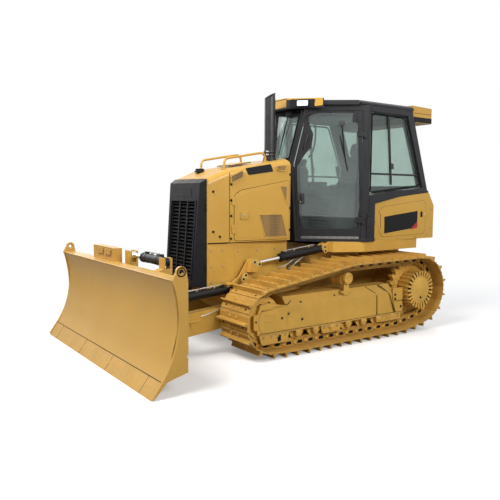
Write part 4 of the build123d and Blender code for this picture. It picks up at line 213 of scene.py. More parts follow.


# The edge colours given below are lighter than each paint: partly rubbed paint, partly painted highlight on the
# edges.
YELLOW = (0.60, 0.345, 0.058)
body_paint = finish("body_paint", YELLOW, rough=0.36, patch=0.05, patch_scale=1.6, grain=220, bump=0.10, wear_and_highlight=0.45,
                    wear_and_highlight_colour=(0.72, 0.46, 0.14), wear_and_highlight_size=0.005, dust=0.12, coat=0.2, depth=0.0006, shine=0.35)
frame_paint = finish("frame_paint", (0.63, 0.365, 0.066), rough=0.48, patch=0.09, patch_scale=3.0, grain=90,
                     bump=0.22, wear_and_highlight=0.5, wear_and_highlight_colour=(0.68, 0.43, 0.13), dust=0.15, depth=0.001, shine=0.3)
# The tracks' own yellow, darkened as painted shade.
shaded_shoe_paint = finish("shaded_shoe_paint", (0.49, 0.270, 0.052), rough=0.52, patch=0.16, patch_scale=4.0, grain=70, bump=0.35,
                    wear_and_highlight=0.8, wear_and_highlight_colour=(0.66, 0.43, 0.15), wear_and_highlight_size=0.006, dust=0.08, depth=0.0015, shine=0.25)
casting_paint = finish("casting_paint", (0.66, 0.385, 0.074), rough=0.55, patch_scale=6.0, grain=160, bump=0.4,
                       wear_and_highlight=0.5, wear_and_highlight_colour=(0.66, 0.44, 0.15), dust=0.08, depth=0.001, shine=0.3)
blade_paint = finish("blade_paint", (0.56, 0.32, 0.062), rough=0.42, patch=0.05, patch_scale=1.2, grain=140,
                     bump=0.14, wear_and_highlight=0.6, wear_and_highlight_colour=(0.74, 0.50, 0.20), wear_and_highlight_size=0.007, dust=0.08, coat=0.15,
                     depth=0.0008, shine=0.35)
edge_paint = finish("edge_paint", (0.56, 0.32, 0.065), rough=0.46, patch=0.08, patch_scale=5.0, grain=120, bump=0.25,
                    wear_and_highlight=0.8, wear_and_highlight_colour=(0.66, 0.52, 0.30), wear_and_highlight_size=0.005, dust=0.2)
black_paint = finish("black_paint", (0.006, 0.006, 0.007), rough=0.42, patch=0.2, grain=180, bump=0.12, wear_and_highlight=0.6,
                     wear_and_highlight_colour=(0.08, 0.08, 0.08), dust=0.03, depth=0.0006, shine=0.22)
cab_paint = finish("cab_paint", (0.014, 0.014, 0.017), rough=0.38, grain=150, bump=0.10, wear_and_highlight=0.7,
                   wear_and_highlight_colour=(0.10, 0.105, 0.11), wear_and_highlight_size=0.005, dust=0.04, depth=0.0006, shine=0.35)
# A plain black finish for seals, boots and wipers, which also stands as painted shade in gaps, seams, slots and
# holes.
rubber_and_shade = finish("rubber_and_shade", (0.006, 0.006, 0.006), rough=0.72, patch=0.2, grain=90, bump=0.25, shine=0.15)
moulded = finish("moulded_plastic", (0.030, 0.031, 0.033), rough=0.6, patch=0.1, grain=420, bump=0.35, wear_and_highlight=0.4,
                 wear_and_highlight_colour=(0.09, 0.09, 0.09), dust=0.1, depth=0.0008)
grey_trim = finish("grey_trim", (0.16, 0.165, 0.165), rough=0.55, patch=0.08, grain=380, bump=0.3, dust=0.1)
iron = finish("engine_iron", (0.055, 0.052, 0.048), rough=0.6, metal=0.4, patch=0.2, grain=120, bump=0.5)
bolt_steel = finish("bolt_steel", (0.46, 0.33, 0.16), rough=0.42, metal=0.25, grain=150, bump=0.2)
zinc = finish("zinc_steel", (0.50, 0.48, 0.44), rough=0.32, metal=0.85, grain=160, bump=0.12)
worn_steel = finish("worn_steel", (0.36, 0.34, 0.31), rough=0.34, metal=0.8, patch=0.2, grain=90, bump=0.2)
chrome = finish("chrome_rod", (0.80, 0.81, 0.82), rough=0.14, metal=1.0, patch=0.03, grain=300, bump=0.02)
stack_steel = finish("stack_steel", (0.026, 0.026, 0.028), rough=0.34, metal=0.3, patch=0.25, patch_scale=5,
                     grain=120, wear_and_highlight=0.4, wear_and_highlight_colour=(0.2, 0.18, 0.16))
cloth = finish("seat_cloth", (0.055, 0.057, 0.062), rough=0.9, patch=0.15, patch_scale=12, grain=900, bump=0.6,
               sheen=0.3, depth=0.0012)
red_paint = finish("stripe_paint", (0.42, 0.012, 0.014), rough=0.4, patch=0.08, grain=200, bump=0.08, coat=0.2)
print("finishes", len(bpy.data.materials))

# %% [markdown]
# Cab glass is tinted a little, so that it keeps the sun out. Real glass bends light, but a
# thin pane hardly does, and bent light renders slowly. A pane here lets most light straight
# through, takes its tint once, and mirrors more at a flat angle, as glass does.


# %% Glass and lamp lenses
def glass(name, tint, clear, rough=0.02):
    """Thin tinted pane: part see-through, part glossy, more so at a flat angle."""
    mat = bpy.data.materials.new(name)
    tree = empty_tree(mat)
    where = node(tree, "TexCoord").outputs["Object"]
    haze = node(tree, "TexNoise", {"Scale": 3.0, "Detail": 6.0, "Vector": where})
    ripple = node(tree, "TexNoise", {"Scale": 2.5, "Vector": where})
    clear_node = node(tree, "BsdfTransparent", {"Color": (*tint, 1)})
    film = node(tree, "BsdfDiffuse", {"Color": (0.33, 0.36, 0.36, 1)})
    lump = node(tree, "Bump", {"Strength": 0.01, "Distance": 0.0002, "Height": ripple.outputs["Fac"]})
    gloss = node(tree, "BsdfGlossy", {"Color": (0.9, 0.95, 0.95, 1), "Roughness": rough, "Normal": lump.outputs[0]})
    angle = node(tree, "LayerWeight", {"Blend": 0.5})
    steep = node(tree, "Math", {0: angle.outputs["Facing"], 1: 4.0}, operation="POWER")
    facing = node(tree, "MapRange", {"To Min": 0.04, "To Max": 0.65, "Value": steep.outputs[0]})
    amount = node(tree, "MapRange", {"From Min": 0.35, "From Max": 0.7, "To Min": clear, "To Max": clear + 0.06,
                                     "Value": haze.outputs["Fac"]})
    first = node(tree, "MixShader", {0: amount.outputs[0], 1: clear_node.outputs[0], 2: film.outputs[0]})
    second = node(tree, "MixShader", {0: facing.outputs[0], 1: first.outputs[0], 2: gloss.outputs[0]})
    node(tree, "OutputMaterial", {"Surface": second.outputs[0]})
    return mat


pane = glass("cab_pane", (0.78, 0.85, 0.82), 0.03)
lens = finish("lamp_lens", (0.78, 0.84, 0.92), rough=0.12, patch=0.06, patch_scale=30, grain=500, bump=0.3, coat=0.6)
lens_shade = lens.node_tree.nodes["Principled BSDF"].inputs
lens_shade["Emission Color"].default_value = (0.85, 0.93, 1.0, 1)
lens_shade["Emission Strength"].default_value = 0.35
red_lens = finish("red_lens", (0.35, 0.02, 0.02), rough=0.15, patch=0.1, patch_scale=40, grain=500, bump=0.3,
                  coat=0.6)
print("panes", pane.name)

# %% [markdown]
# Each solid from the frame now gets the finish that the real part leaves the works with.
# Hull, hood, tank and blade are sprayed yellow, and so are the tracks of a new machine. The
# tracks' copy of that yellow is darker, as painted shade.
# Nose, grille, cab and exhaust are dark.

# %% Finishes for the CAD solids
DRESS = {
    body_paint: ("hood", "hood_rails", "rear_tank", "rear_light_box"),
    frame_paint: ("main_frame", "track_frames", "drawbar", "fenders", "c_frame", "knuckle", "angle_yoke_left",
                  "angle_yoke_right"),
    # The tracks take the darkened yellow, which is painted shade.
    shaded_shoe_paint: ("track_left", "track_right"),
    casting_paint: ("sprockets", "final_drives", "idlers", "track_rollers", "carrier_rollers"),
    blade_paint: ("blade",),
    edge_paint: ("cutting_edge",),
    black_paint: ("radiator_guard", "grille", "lift_barrel_left", "lift_barrel_right", "angle_barrel_left",
                  "angle_barrel_right", "tilt_barrel"),
    cab_paint: ("cab_frame", "left_door", "right_door", "cab_roof", "roof_visor", "cab_floor"),
    iron: ("engine",),
    moulded: ("consoles", "seat_base"),
    cloth: ("seat_cushion", "seat_back"),
    chrome: ("lift_rod_left", "lift_rod_right", "angle_rod_left", "angle_rod_right", "tilt_rod"),
    stack_steel: ("exhaust_stack",),
    pane: ("cab_glass", "left_door_glass", "right_door_glass"),
}
dressed = set()
for material, names in DRESS.items():
    for name in names:
        for slot in NODES[name].material_slots:
            slot.material = material
        dressed.add(name)
print("dressed", len(dressed), "left", sorted(set(NODES) - dressed))

# %% [markdown]
# A fitter's parts are mostly cut plate, turned pieces, bent tube and bolts. Each of these
# has its own helper below. Every helper starts from a primitive and shapes it in edit mode,
# because that is how the piece would be drawn by hand, and its corners stay clean.
# Places are given from the middle of the tracks, which lies half a metre behind the frame's zero.

# %% Places and selection
SIDES = (("left", 1), ("right", -1))
MID = -0.5


def at(x, y, z):
    """A place given from the middle of the tracks."""
    return Vector((MID + x, y, z))


def axes(origin, first, second, third):
    """A frame at origin with these three axes."""
    return Matrix.Translation(Vector(origin)) @ Matrix((first, second, third)).transposed().to_4x4()


def basis(origin, along, up=(0, 0, 1)):
    """A frame at origin whose first axis runs along, its second up, its third square to both."""
    first = Vector(along).normalized()
    third = first.cross(Vector(up)).normalized()
    return axes(origin, first, third.cross(first), third)


def side_plane(y):
    """Upright plane along the machine at y: first axis forward, second up."""
    return basis(at(0, y, 0), (1, 0, 0))


def cross_plane(x, y=0.0, z=0.0):
    """Upright plane across the machine at x: first axis to its left, second up."""
    return basis(at(x, y, z), (0, 1, 0))


def flat_plane(x, y, z):
    """Level plane: first axis forward, second to the machine's left."""
    return basis(at(x, y, z), (1, 0, 0), (0, 1, 0))


def side_line(sign, *spots):
    """Places given for the left side, put on the side of this sign."""
    return [at(x, sign * y, z) for x, y, z in spots]


def side_spot(sign, x, y, z):
    """A place given for the left side, put on the side of this sign, and the direction outward."""
    return at(x, sign * y, z), Vector((0, sign, 0))


def side_ring(sign, x, y, z, radius, angles):
    """Places round a centre on a machine's side at these angles, each with the direction outward."""
    return [side_spot(sign, x + radius * math.cos(a), y, z + radius * math.sin(a)) for a in angles]


def rect(u0, v0, u1, v1):
    """Outline of a rectangle from one corner to the opposite one."""
    return [(u0, v0), (u1, v0), (u1, v1), (u0, v1)]


def mode(name):
    """Switch between object mode and edit mode."""
    bpy.ops.object.mode_set(mode=name)


def mark(action):
    """Select or deselect every part of the mesh in edit mode."""
    bpy.ops.mesh.select_all(action=action)


def clear_choice():
    """Deselect all objects, so that a new piece starts alone."""
    bpy.ops.object.select_all(action="DESELECT")


def take(*objs):
    """Select only these objects, the last one active."""
    clear_choice()
    for obj in objs:
        obj.select_set(True)
    bpy.context.view_layer.objects.active = objs[-1]


def pick(obj, test, kind="FACE"):
    """Select the faces, or edges, of a mesh that pass a test on centre and normal or ends."""
    take(obj)
    mode("EDIT")
    bpy.ops.mesh.select_mode(type=kind)
    mark("DESELECT")
    mode("OBJECT")
    mesh = obj.data
    if kind == "FACE":
        for face in mesh.polygons:
            face.select = test(face.center, face.normal)
    else:
        for edge in mesh.edges:
            ends = [mesh.vertices[i].co for i in edge.vertices]
            edge.select = test(ends[0], ends[1])
    mode("EDIT")


def settle(obj, name, material, body="root", angle=35):
    """Fix a finished piece's place, name, finish and the body that it rides on."""
    take(obj)
    bpy.ops.object.transform_apply(location=True, rotation=True, scale=True)
    obj.name = name
    obj.data.name = name
    obj.data.materials.clear()
    obj.data.materials.append(material)
    bpy.ops.object.shade_smooth_by_angle(angle=math.radians(angle))
    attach(obj, body)


print("mid of the tracks at x", MID)

# %% [markdown]
# Cut plate: doors, brackets, covers and seals. A flat outline could be filled and given
# thickness by a modifier, but then its edges stay razor sharp. Here the corners are
# rounded first, the outline is drawn out to its thickness, and the rims are chamfered.


# %% Plate and rim helpers
def outline_face(outline, corner=0.0, segments=3):
    """A filled outline in its own plane, its corners rounded."""
    clear_choice()
    bpy.ops.mesh.primitive_circle_add(vertices=len(outline), radius=1, fill_type="NGON")
    obj = bpy.context.object
    area = sum(a[0] * b[1] - b[0] * a[1] for a, b in zip(outline, outline[1:] + outline[:1]))
    points = outline if area > 0 else outline[::-1]
    for vertex, (u, v) in zip(obj.data.vertices, points):
        vertex.co = (u, v, 0)
    mode("EDIT")
    mark("SELECT")
    if corner:
        bpy.ops.mesh.bevel(offset=corner, segments=segments, affect="VERTICES")
        mark("SELECT")
    return obj


def draw_out(thick):
    """Give the selected face its thickness, half to each side of its plane."""
    bpy.ops.mesh.extrude_region_move(TRANSFORM_OT_translate={"value": (0, 0, thick)})
    mark("SELECT")
    bpy.ops.transform.translate(value=(0, 0, -thick / 2))
    bpy.ops.mesh.normals_make_consistent(inside=False)
    mode("OBJECT")


def plate(name, outline, thick, place, material, body="root", corner=0.0, edge=0.0015, slot="machine_paint", rim=0.0,
          segments=3):
    """Plate cut to an outline and centred on its plane. With a rim, only a band of it is left."""
    obj = outline_face(outline, corner, segments)
    if rim:
        bpy.ops.mesh.inset(thickness=rim)
        bpy.ops.mesh.delete(type="FACE")
        mark("SELECT")
    draw_out(thick)
    if edge:
        half = thick / 2 - 1e-5
        pick(obj, lambda a, b: abs(a.z) > half and abs(b.z) > half and a.z * b.z > 0, "EDGE")
        bpy.ops.mesh.bevel(offset=edge, segments=1, affect="EDGES", clamp_overlap=True)
        mode("OBJECT")
    obj.matrix_world = place
    settle(obj, name, material, body)


def plates(side, sign, plane, body, rows, slot="machine_paint"):
    """Plates of one side, from rows of name, outline, thickness, distance out, finish and options."""
    for name, outline, thick, out, material, options in rows:
        plate(f"{name}_{side}", outline, thick, plane(sign, out), material, body, **{"slot": slot, **options})


def block(name, low, high, material, body="root", edge=0.004, slot="machine_paint", place=None, segments=2):
    """Box between two corners with rounded edges."""
    low, high = Vector(low), Vector(high)
    clear_choice()
    bpy.ops.mesh.primitive_cube_add(size=1, location=(low + high) / 2, scale=[abs(c) for c in high - low])
    obj = bpy.context.object
    bpy.ops.object.transform_apply(location=True, rotation=True, scale=True)
    mode("EDIT")
    mark("SELECT")
    bpy.ops.mesh.bevel(offset=edge, segments=segments, affect="EDGES")
    mode("OBJECT")
    if place is not None:
        obj.matrix_world = place
    settle(obj, name, material, body)


print("plate and block helpers ready")

# %% [markdown]
# Turned pieces, bent tube and bolts. A pin or hub is drawn as half its section and spun
# about its axis, as on a lathe. A tube is a curve with thickness, made into a mesh. A bolt
# is modelled once, and each copy is set against its face.


# %% Turned, tube and bolt helpers
def turned(name, profile, place, material, body="root", steps=24, angle=35):
    """Closed section (radius, height) spun about the third axis of its place."""
    clear_choice()
    bpy.ops.mesh.primitive_circle_add(vertices=len(profile), radius=1, fill_type="NOTHING")
    obj = bpy.context.object
    for vertex, (radius, height) in zip(obj.data.vertices, profile):
        vertex.co = (radius, 0, height)
    mode("EDIT")
    mark("SELECT")
    bpy.ops.mesh.spin(steps=steps, angle=2 * math.pi, center=(0, 0, 0), axis=(0, 0, 1))
    mark("SELECT")
    bpy.ops.mesh.remove_doubles(threshold=1e-5)
    bpy.ops.mesh.normals_make_consistent(inside=False)
    mode("OBJECT")
    obj.matrix_world = place
    settle(obj, name, material, body, angle)


def pin(name, start, end, radius, material, body="root", slot="machine_paint", steps=20, chamfer=0.15):
    """Round bar from start to end with chamfered ends."""
    start, end = Vector(start), Vector(end)
    length = (end - start).length
    cut = radius * chamfer
    side = (end - start).orthogonal()
    profile = [(0, 0), (radius - cut, 0), (radius, cut), (radius, length - cut), (radius - cut, length), (0, length)]
    place = basis(start, side, side.cross(end - start))
    if place.col[2].xyz.dot(end - start) < 0:
        place = basis(start, side, (end - start).cross(side))
    turned(name, profile, place, material, body, steps)


def tube(name, points, radius, material, body="root", sides=3, order=3):
    """Bent tube through a smooth line of points."""
    data = bpy.data.curves.new(name, "CURVE")
    data.dimensions = "3D"
    data.bevel_depth = radius
    data.bevel_resolution = sides
    data.resolution_u = 6
    data.use_fill_caps = True
    line = data.splines.new("NURBS")
    line.points.add(len(points) - 1)
    for knot, point in zip(line.points, points):
        knot.co = (*point, 1)
    line.order_u = order
    line.use_endpoint_u = True
    obj = bpy.data.objects.new(name, data)
    bpy.context.scene.collection.objects.link(obj)
    take(obj)
    bpy.ops.object.convert(target="MESH")
    settle(bpy.context.object, name, material, body)


def bolt(size):
    """One hexagon head on its washer, standing on the ground plane at the world's centre."""
    clear_choice()
    bpy.ops.mesh.primitive_cylinder_add(vertices=12, radius=size * 1.3, depth=size * 0.24,
                                        location=(0, 0, size * 0.12))
    washer = bpy.context.object
    bpy.ops.mesh.primitive_cylinder_add(vertices=6, radius=size, depth=size * 0.8, location=(0, 0, size * 0.6))
    head = bpy.context.object
    bpy.ops.object.transform_apply(location=True, rotation=False, scale=True)
    pick(head, lambda centre, normal: normal.z > 0.9)
    bpy.ops.mesh.bevel(offset=size * 0.12, segments=1, affect="EDGES")
    mode("OBJECT")
    take(washer, head)
    bpy.ops.object.join()
    return bpy.context.object


def spread(name, model, spots, material, body="root", angle=35):
    """Copies of one modelled piece at each (place, direction), joined into one object."""
    copies = []
    for spot in spots:
        other = model.copy()
        other.data = model.data.copy()
        bpy.context.scene.collection.objects.link(other)
        if isinstance(spot, Matrix):
            other.matrix_world = spot
        else:
            place, direction = spot
            turn = Vector(direction).to_track_quat("Z", "Y").to_matrix().to_4x4()
            other.matrix_world = Matrix.Translation(Vector(place)) @ turn
        copies.append(other)
    take(*copies)
    bpy.ops.object.join()
    joined = bpy.context.object
    bpy.data.objects.remove(model)
    settle(joined, name, material, body, angle)


def bolts(name, size, spots, material=None, body="root"):
    """Bolt heads at each (place, direction)."""
    spread(name, bolt(size), spots, material or bolt_steel, body)


print("turned, tube and bolt helpers ready")

# %% [markdown]
# The engine's side doors. Each one is a pressed yellow panel that hangs on the hood with a
# thin dark gap round it. The gap could be cut into the hood. A dark sheet under the panel,
# just proud of it, is painted shade for the gap instead; it looks the same and leaves the
# hood whole.

# %% Engine doors
HOOD_HALF_AT_ZERO = 0.4671
HOOD_TAPER = 0.078 / 1.05


def hood_side(sign, out=0.0):
    """Plane of the hood's side: first axis forward from the middle of the tracks, second up."""
    return basis(at(0, sign * (HOOD_HALF_AT_ZERO + out), 0), (1, -sign * HOOD_TAPER, 0))


def shrink(outline, by):
    """An outline moved inward by a distance, towards its middle."""
    cx = sum(p[0] for p in outline) / len(outline)
    cy = sum(p[1] for p in outline) / len(outline)
    moved = []
    for x, y in outline:
        reach = math.hypot(x - cx, y - cy)
        moved.append((cx + (x - cx) * (1 - by / reach), cy + (y - cy) * (1 - by / reach)))
    return moved


DOOR = [(0.515, 1.172), (1.235, 1.172), (1.235, 1.665), (1.155, 1.722), (0.515, 1.838)]
VENT_FRONT = [(1.115, 1.858), (1.28, 1.785), (1.28, 1.868), (1.13, 1.936)]
VENT_REAR = [(0.575, 1.936), (0.68, 1.930), (0.695, 1.992), (0.565, 2.005)]
WINDOW = [(0.845, 1.195), (0.93, 1.46), (0.615, 1.462), (0.535, 1.195)]
TRIANGLE = [(0.562, 1.555), (0.655, 1.775), (0.550, 1.765)]
NAME_PLATE = [(0.77, 2.01), (0.735, 1.928), (1.055, 1.881), (1.095, 1.955)]
for side, sign in SIDES:
    plates(side, sign, hood_side, "root", (
        # A dark sheet under the door, showing round it: painted shade of the gap.
        ("engine_door_gap_shade", DOOR, 0.004, 0.0005, rubber_and_shade, dict(corner=0.035)),
        ("engine_door", shrink(DOOR, 0.006), 0.008, 0.002, body_paint, dict(corner=0.032)),
        ("engine_door_dome", shrink(DOOR, 0.045), 0.004, 0.0065, body_paint, dict(corner=0.03)),
        # A dark strip at the nose: painted shade in the seam.
        ("nose_seam", rect(1.288, 1.16, 1.292, 1.90), 0.004, 0.001, rubber_and_shade, dict(edge=0)),
        ("model_plate", NAME_PLATE, 0.004, 0.002, black_paint, dict(corner=0.012)),
    ))
    print(side, "door", len(DOOR), "corners")

# %% [markdown]
# Air gets in and out through screens of brown perforated sheet. At this size each hole is a
# few millimetres wide. Thousands of real holes would be wasted, so the sheet's own finish
# carries a fine grid of holes, painted dark as the shade behind the sheet, and only its
# frame is modelled.


# %% Screens in the doors
def perforated(name, colour, pitch):
    """Sheet finish with a grid of round holes painted dark as shade, from the place on the part."""
    mat = finish(name, colour, rough=0.6, grain=200, bump=0.2)
    tree = mat.node_tree
    shade = tree.nodes["Principled BSDF"].inputs["Base Color"]
    base = shade.links[0].from_socket
    where = node(tree, "TexCoord").outputs["Object"]
    cells = node(tree, "TexVoronoi", {"Scale": 1 / pitch, "Randomness": 0.0, "Vector": where})
    hole = node(tree, "MapRange", {"From Min": 0.30, "From Max": 0.42, "Value": cells.outputs["Distance"]})
    # The holes' dark colour is painted shade of the space behind the sheet.
    mix = node(tree, "Mix", {"Factor": hole.outputs[0], 6: (0.06, 0.036, 0.014, 1), 7: base}, data_type="RGBA")
    tree.links.new(mix.outputs[2], shade)
    return mat


screen_sheet = perforated("screen_sheet", (0.27, 0.155, 0.045), 0.017)
SCREEN_OUT = 0.010
for side, sign in SIDES:
    for name, outline in (("window", WINDOW), ("front", VENT_FRONT), ("rear", VENT_REAR), ("corner", TRIANGLE)):
        plate(f"screen_{name}_{side}", shrink(outline, 0.004), 0.003, hood_side(sign, SCREEN_OUT), screen_sheet,
              corner=0.012)
        plate(f"screen_frame_{name}_{side}", outline, 0.007, hood_side(sign, SCREEN_OUT + 0.001), body_paint,
              corner=0.016, rim=0.011 if name == "window" else 0.008)
print("screens", 8)

# %% [markdown]
# Latches, hinges and bolts show how the doors are held. They are small, but without them a
# panel reads as a picture of a panel.

# %% Latches and hood bolts
LATCH = rect(1.055, 1.403, 1.165, 1.488)


def on_hood(x, z, sign, out=0.0):
    """A place on the hood's side and the direction out of it."""
    y = sign * (HOOD_HALF_AT_ZERO - x * HOOD_TAPER + out)
    return at(x, y, z), Vector((HOOD_TAPER, sign, 0))


for side, sign in SIDES:
    plates(side, sign, hood_side, "root", (
        # The dark well round the paddle is painted shade in its recess.
        ("latch_well", LATCH, 0.004, 0.0095, rubber_and_shade, dict(corner=0.012)),
        ("latch_paddle", shrink(LATCH, 0.013), 0.008, 0.012, body_paint, dict(corner=0.014)),
        ("latch_rim", LATCH, 0.006, 0.0105, body_paint, dict(corner=0.014, rim=0.008)),
    ))
    lock = [on_hood(1.112, 1.446, sign, out)[0] for out in (0.014, 0.021)]
    pin(f"latch_lock_{side}", *lock, 0.013, zinc)
    heads = [on_hood(x, z, sign, 0.001) for x, z in ((1.265, 1.61), (1.265, 1.444), (1.265, 1.20), (1.265, 1.78),
                                                     (1.48, 1.28), (1.40, 1.225), (1.48, 1.70), (0.506, 1.90),
                                                     (0.506, 1.523), (0.506, 1.276))]
    bolts(f"hood_bolts_{side}", 0.011, heads, black_paint)
    for number, z in enumerate((1.30, 1.60)):
        bar = rect(1.222, z - 0.045, 1.262, z + 0.045)
        plate(f"door_hinge_{number}_{side}", bar, 0.008, hood_side(sign, 0.009), body_paint, corner=0.008)
    # A dark strip: painted shade in the seam below the nose.
    trim = rect(1.30, 1.155, 1.545, 1.163)
    plate(f"nose_lower_seam_{side}", trim, 0.003, hood_side(sign, 0.0005), rubber_and_shade, edge=0)
print("latches", 2)

# %% [markdown]
# Handrails are bent bar, bolted down on small feet. The exhaust is a dark steel pipe with two
# clamps at its foot. Its hollow end is a thin dark lining, cut along the slant of its mouth,
# that paints the shade inside the open pipe.

# %% Rail feet and exhaust clamps
HOOD_REAR, HOOD_KINK, HOOD_FRONT = (0.50, 2.075), (1.29, 1.942), (1.55, 1.838)


def hood_top(x):
    """Height of the hood's top over a place along it."""
    first, second = (HOOD_KINK, HOOD_FRONT) if x > HOOD_KINK[0] else (HOOD_REAR, HOOD_KINK)
    return first[1] - (x - first[0]) * (first[1] - second[1]) / (second[0] - first[0])


HOOD_FALL = (1, 0, -0.168)
RAIL_Y = 0.242
RAIL_FEET = (0.72, 1.27)
for side, sign in SIDES:
    for number, x in enumerate(RAIL_FEET):
        foot = basis(at(x, sign * RAIL_Y, hood_top(x) + 0.004), HOOD_FALL, (0, sign, 0))
        plate(f"rail_foot_{number}_{side}", rect(-0.035, -0.022, 0.035, 0.022), 0.008, foot, body_paint, corner=0.012)
    feet = [(at(x + dx, sign * RAIL_Y, hood_top(x + dx) + 0.008), (0.16, 0, 1)) for x in RAIL_FEET
            for dx in (-0.024, 0.024)]
    bolts(f"rail_foot_bolts_{side}", 0.005, feet)
STACK = (0.58, 0.14)
STACK_R = 0.063
MOUTH_Z = 2.785
MOUTH_SLANT = (0.091, 0, 0.136)
BAND = [(STACK_R + 0.0005, 0), (STACK_R + 0.007, 0), (STACK_R + 0.009, 0.004), (STACK_R + 0.009, 0.018),
        (STACK_R + 0.007, 0.022), (STACK_R + 0.0005, 0.022)]
for number, z in enumerate((2.115, 2.15)):
    turned(f"stack_clamp_{number}", BAND, Matrix.Translation(at(*STACK, z)), stack_steel, steps=32)
    block(f"stack_clamp_lug_{number}", at(STACK[0] + 0.05, STACK[1] + 0.045, z + 0.002),
          at(STACK[0] + 0.085, STACK[1] + 0.06, z + 0.02), zinc, edge=0.002)
# A dark lining with a bottom just below the mouth: painted shade inside the pipe.
turned("stack_lining", [(0.0, 0), (STACK_R - 0.008, 0), (STACK_R - 0.0045, 0.24), (STACK_R - 0.0060, 0.24),
                        (STACK_R - 0.010, 0.004), (0.0, 0.004)], Matrix.Translation(at(*STACK, 2.585)), rubber_and_shade)
take(bpy.data.objects["stack_lining"])
mode("EDIT")
mark("SELECT")
bpy.ops.mesh.bisect(plane_co=at(*STACK, MOUTH_Z), plane_no=MOUTH_SLANT, clear_outer=True)
bpy.ops.mesh.bridge_edge_loops()
bpy.ops.mesh.normals_make_consistent(inside=False)
mode("OBJECT")
foot_ring = [(at(STACK[0] + 0.068 * math.cos(a), STACK[1] + 0.068 * math.sin(a), 2.094), (0.16, 0, 1))
        for a in (0.8, 2.4, 3.9, 5.5)]
bolts("stack_foot_bolts", 0.006, foot_ring)
hatch_top = basis(at(0.86, 0, hood_top(0.86) + 0.012), HOOD_FALL, (0, 1, 0)) @ Matrix.Translation((0.12, 0, 0.009))
turned("radiator_cap", [(0, 0.03), (0.045, 0.03), (0.05, 0.025), (0.05, 0.006), (0.062, 0.0), (0.062, -0.012),
                        (0, -0.012)], Matrix.Translation(at(1.36, -0.12, hood_top(1.36) + 0.012)), black_paint)
HATCH = rect(-0.15, -0.16, 0.15, 0.16)
# A dark sheet under the hatch, showing round it: painted shade of the gap.
plate("top_hatch_gap_shade", HATCH, 0.006, hatch_top, rubber_and_shade, corner=0.04)
plate("top_hatch", shrink(HATCH, 0.008), 0.012, hatch_top, body_paint, corner=0.036)
print("clamps", 2)

# %% [markdown]
# The nose is a black casting with the grille set in it. A thin bright edge runs where it
# meets the yellow sides, and its door is split into three columns of louvres by bars.

# %% Nose trim
NOSE_FOOT, NOSE_HEAD = (1.705, 0.70), (1.622, 1.79)
LEAN = (NOSE_FOOT[0] - NOSE_HEAD[0]) / (NOSE_HEAD[1] - NOSE_FOOT[1])


def nose_x(z):
    """Place of the nose's leaning face at a height."""
    return NOSE_FOOT[0] - LEAN * (z - NOSE_FOOT[1])


face = basis(at(nose_x(0), 0, 0), (0, 1, 0), (-LEAN, 0, 1))
stretch = math.sqrt(1 + LEAN * LEAN)
plate("grille_surround", rect(-0.278, 0.764 * stretch, 0.278, 1.616 * stretch), 0.012, face, black_paint, corner=0.02,
      rim=0.018)
plate("nose_badge_plate", [(-0.17, 1.645 * stretch), (0.17, 1.645 * stretch), (0.155, 1.755 * stretch),
                           (-0.155, 1.755 * stretch)], 0.006, face, black_paint, corner=0.016)
plate("nose_foot_band", rect(-0.285, 0.705 * stretch, 0.285, 0.755 * stretch), 0.008, face, black_paint, corner=0.01)
screws = [(at(nose_x(z), y, z), (1, 0, LEAN)) for y in (-0.285, 0.285) for z in (0.85, 1.05, 1.25, 1.45)]
bolts("grille_bolts", 0.006, screws, black_paint)
for side, sign in SIDES:
    edge_line = rect(0, 0.70, 0.006, 1.832)
    plate(f"nose_edge_{side}", edge_line, 0.004, basis(at(1.548, sign * 0.3535, 0), (1, 0, 0)), body_paint, edge=0)
    for name, z in (("low", 0.86), ("high", 1.50)):
        pin(f"nose_hinge_{name}_{side}", at(1.565, sign * 0.345, z), at(1.565, sign * 0.345, z + 0.08), 0.010,
            black_paint)
print("nose lean", round(LEAN, 4))


# %% [markdown]
# The cab doors stand at a slant, so that the driver looks past the hood at both ends of the
# blade. Everything on a door is placed along its own plane: forward from the rear post, and up.

# %% Planes of the cab
DOOR_ALONG = (0.77947, 0.62645)
DOOR_POST = (-0.400, 0.745)
CAB_HALF = 0.76436
CAB_TAPER = 0.04839


def door_side(sign, out=0.0):
    """Plane of a cab door: first axis forward from the rear post, second up."""
    x, y = DOOR_POST[0] + DOOR_ALONG[1] * out, DOOR_POST[1] + DOOR_ALONG[0] * out
    return basis(at(x, sign * y, 0), (DOOR_ALONG[0], -sign * DOOR_ALONG[1], 0))


def on_door(u, z, sign, out=0.0):
    """A place on a cab door and the direction out of it."""
    x = DOOR_POST[0] + DOOR_ALONG[0] * u + DOOR_ALONG[1] * out
    y = DOOR_POST[1] - DOOR_ALONG[1] * u + DOOR_ALONG[0] * out
    return at(x, sign * y, z), Vector((DOOR_ALONG[1], sign * DOOR_ALONG[0], 0))


def door_line(sign, *spots):
    """Places on a cab door, each given along it, up it and out of it."""
    return [on_door(u, z, sign, out)[0] for u, z, out in spots]


def cab_wall(sign, out=0.0):
    """Plane of the cab's side behind the door: first axis forward from mid-track, second up."""
    return basis(at(0, sign * (CAB_HALF + out), 0), (1, sign * CAB_TAPER, 0))


def on_wall(x, z, sign, out=0.0):
    """A place on the cab's side behind the door and the direction out of it."""
    return at(x, sign * (CAB_HALF + x * CAB_TAPER + out), z), Vector((0, sign, 0))


SCREEN_LEAN = Vector((-0.126, 0, 0.67)).normalized()


def screen_at(y, rise, out=0.0):
    """A place on the windscreen: across, up its slope, and out of it."""
    normal = Vector((SCREEN_LEAN.z, 0, -SCREEN_LEAN.x))
    return at(0.298, y, 2.045) + SCREEN_LEAN * rise + normal * out


def screen_plane(out=0.0):
    """Plane of the windscreen: first axis to the machine's left, second up its slope."""
    return basis(screen_at(0, 0, out), (0, 1, 0), SCREEN_LEAN)


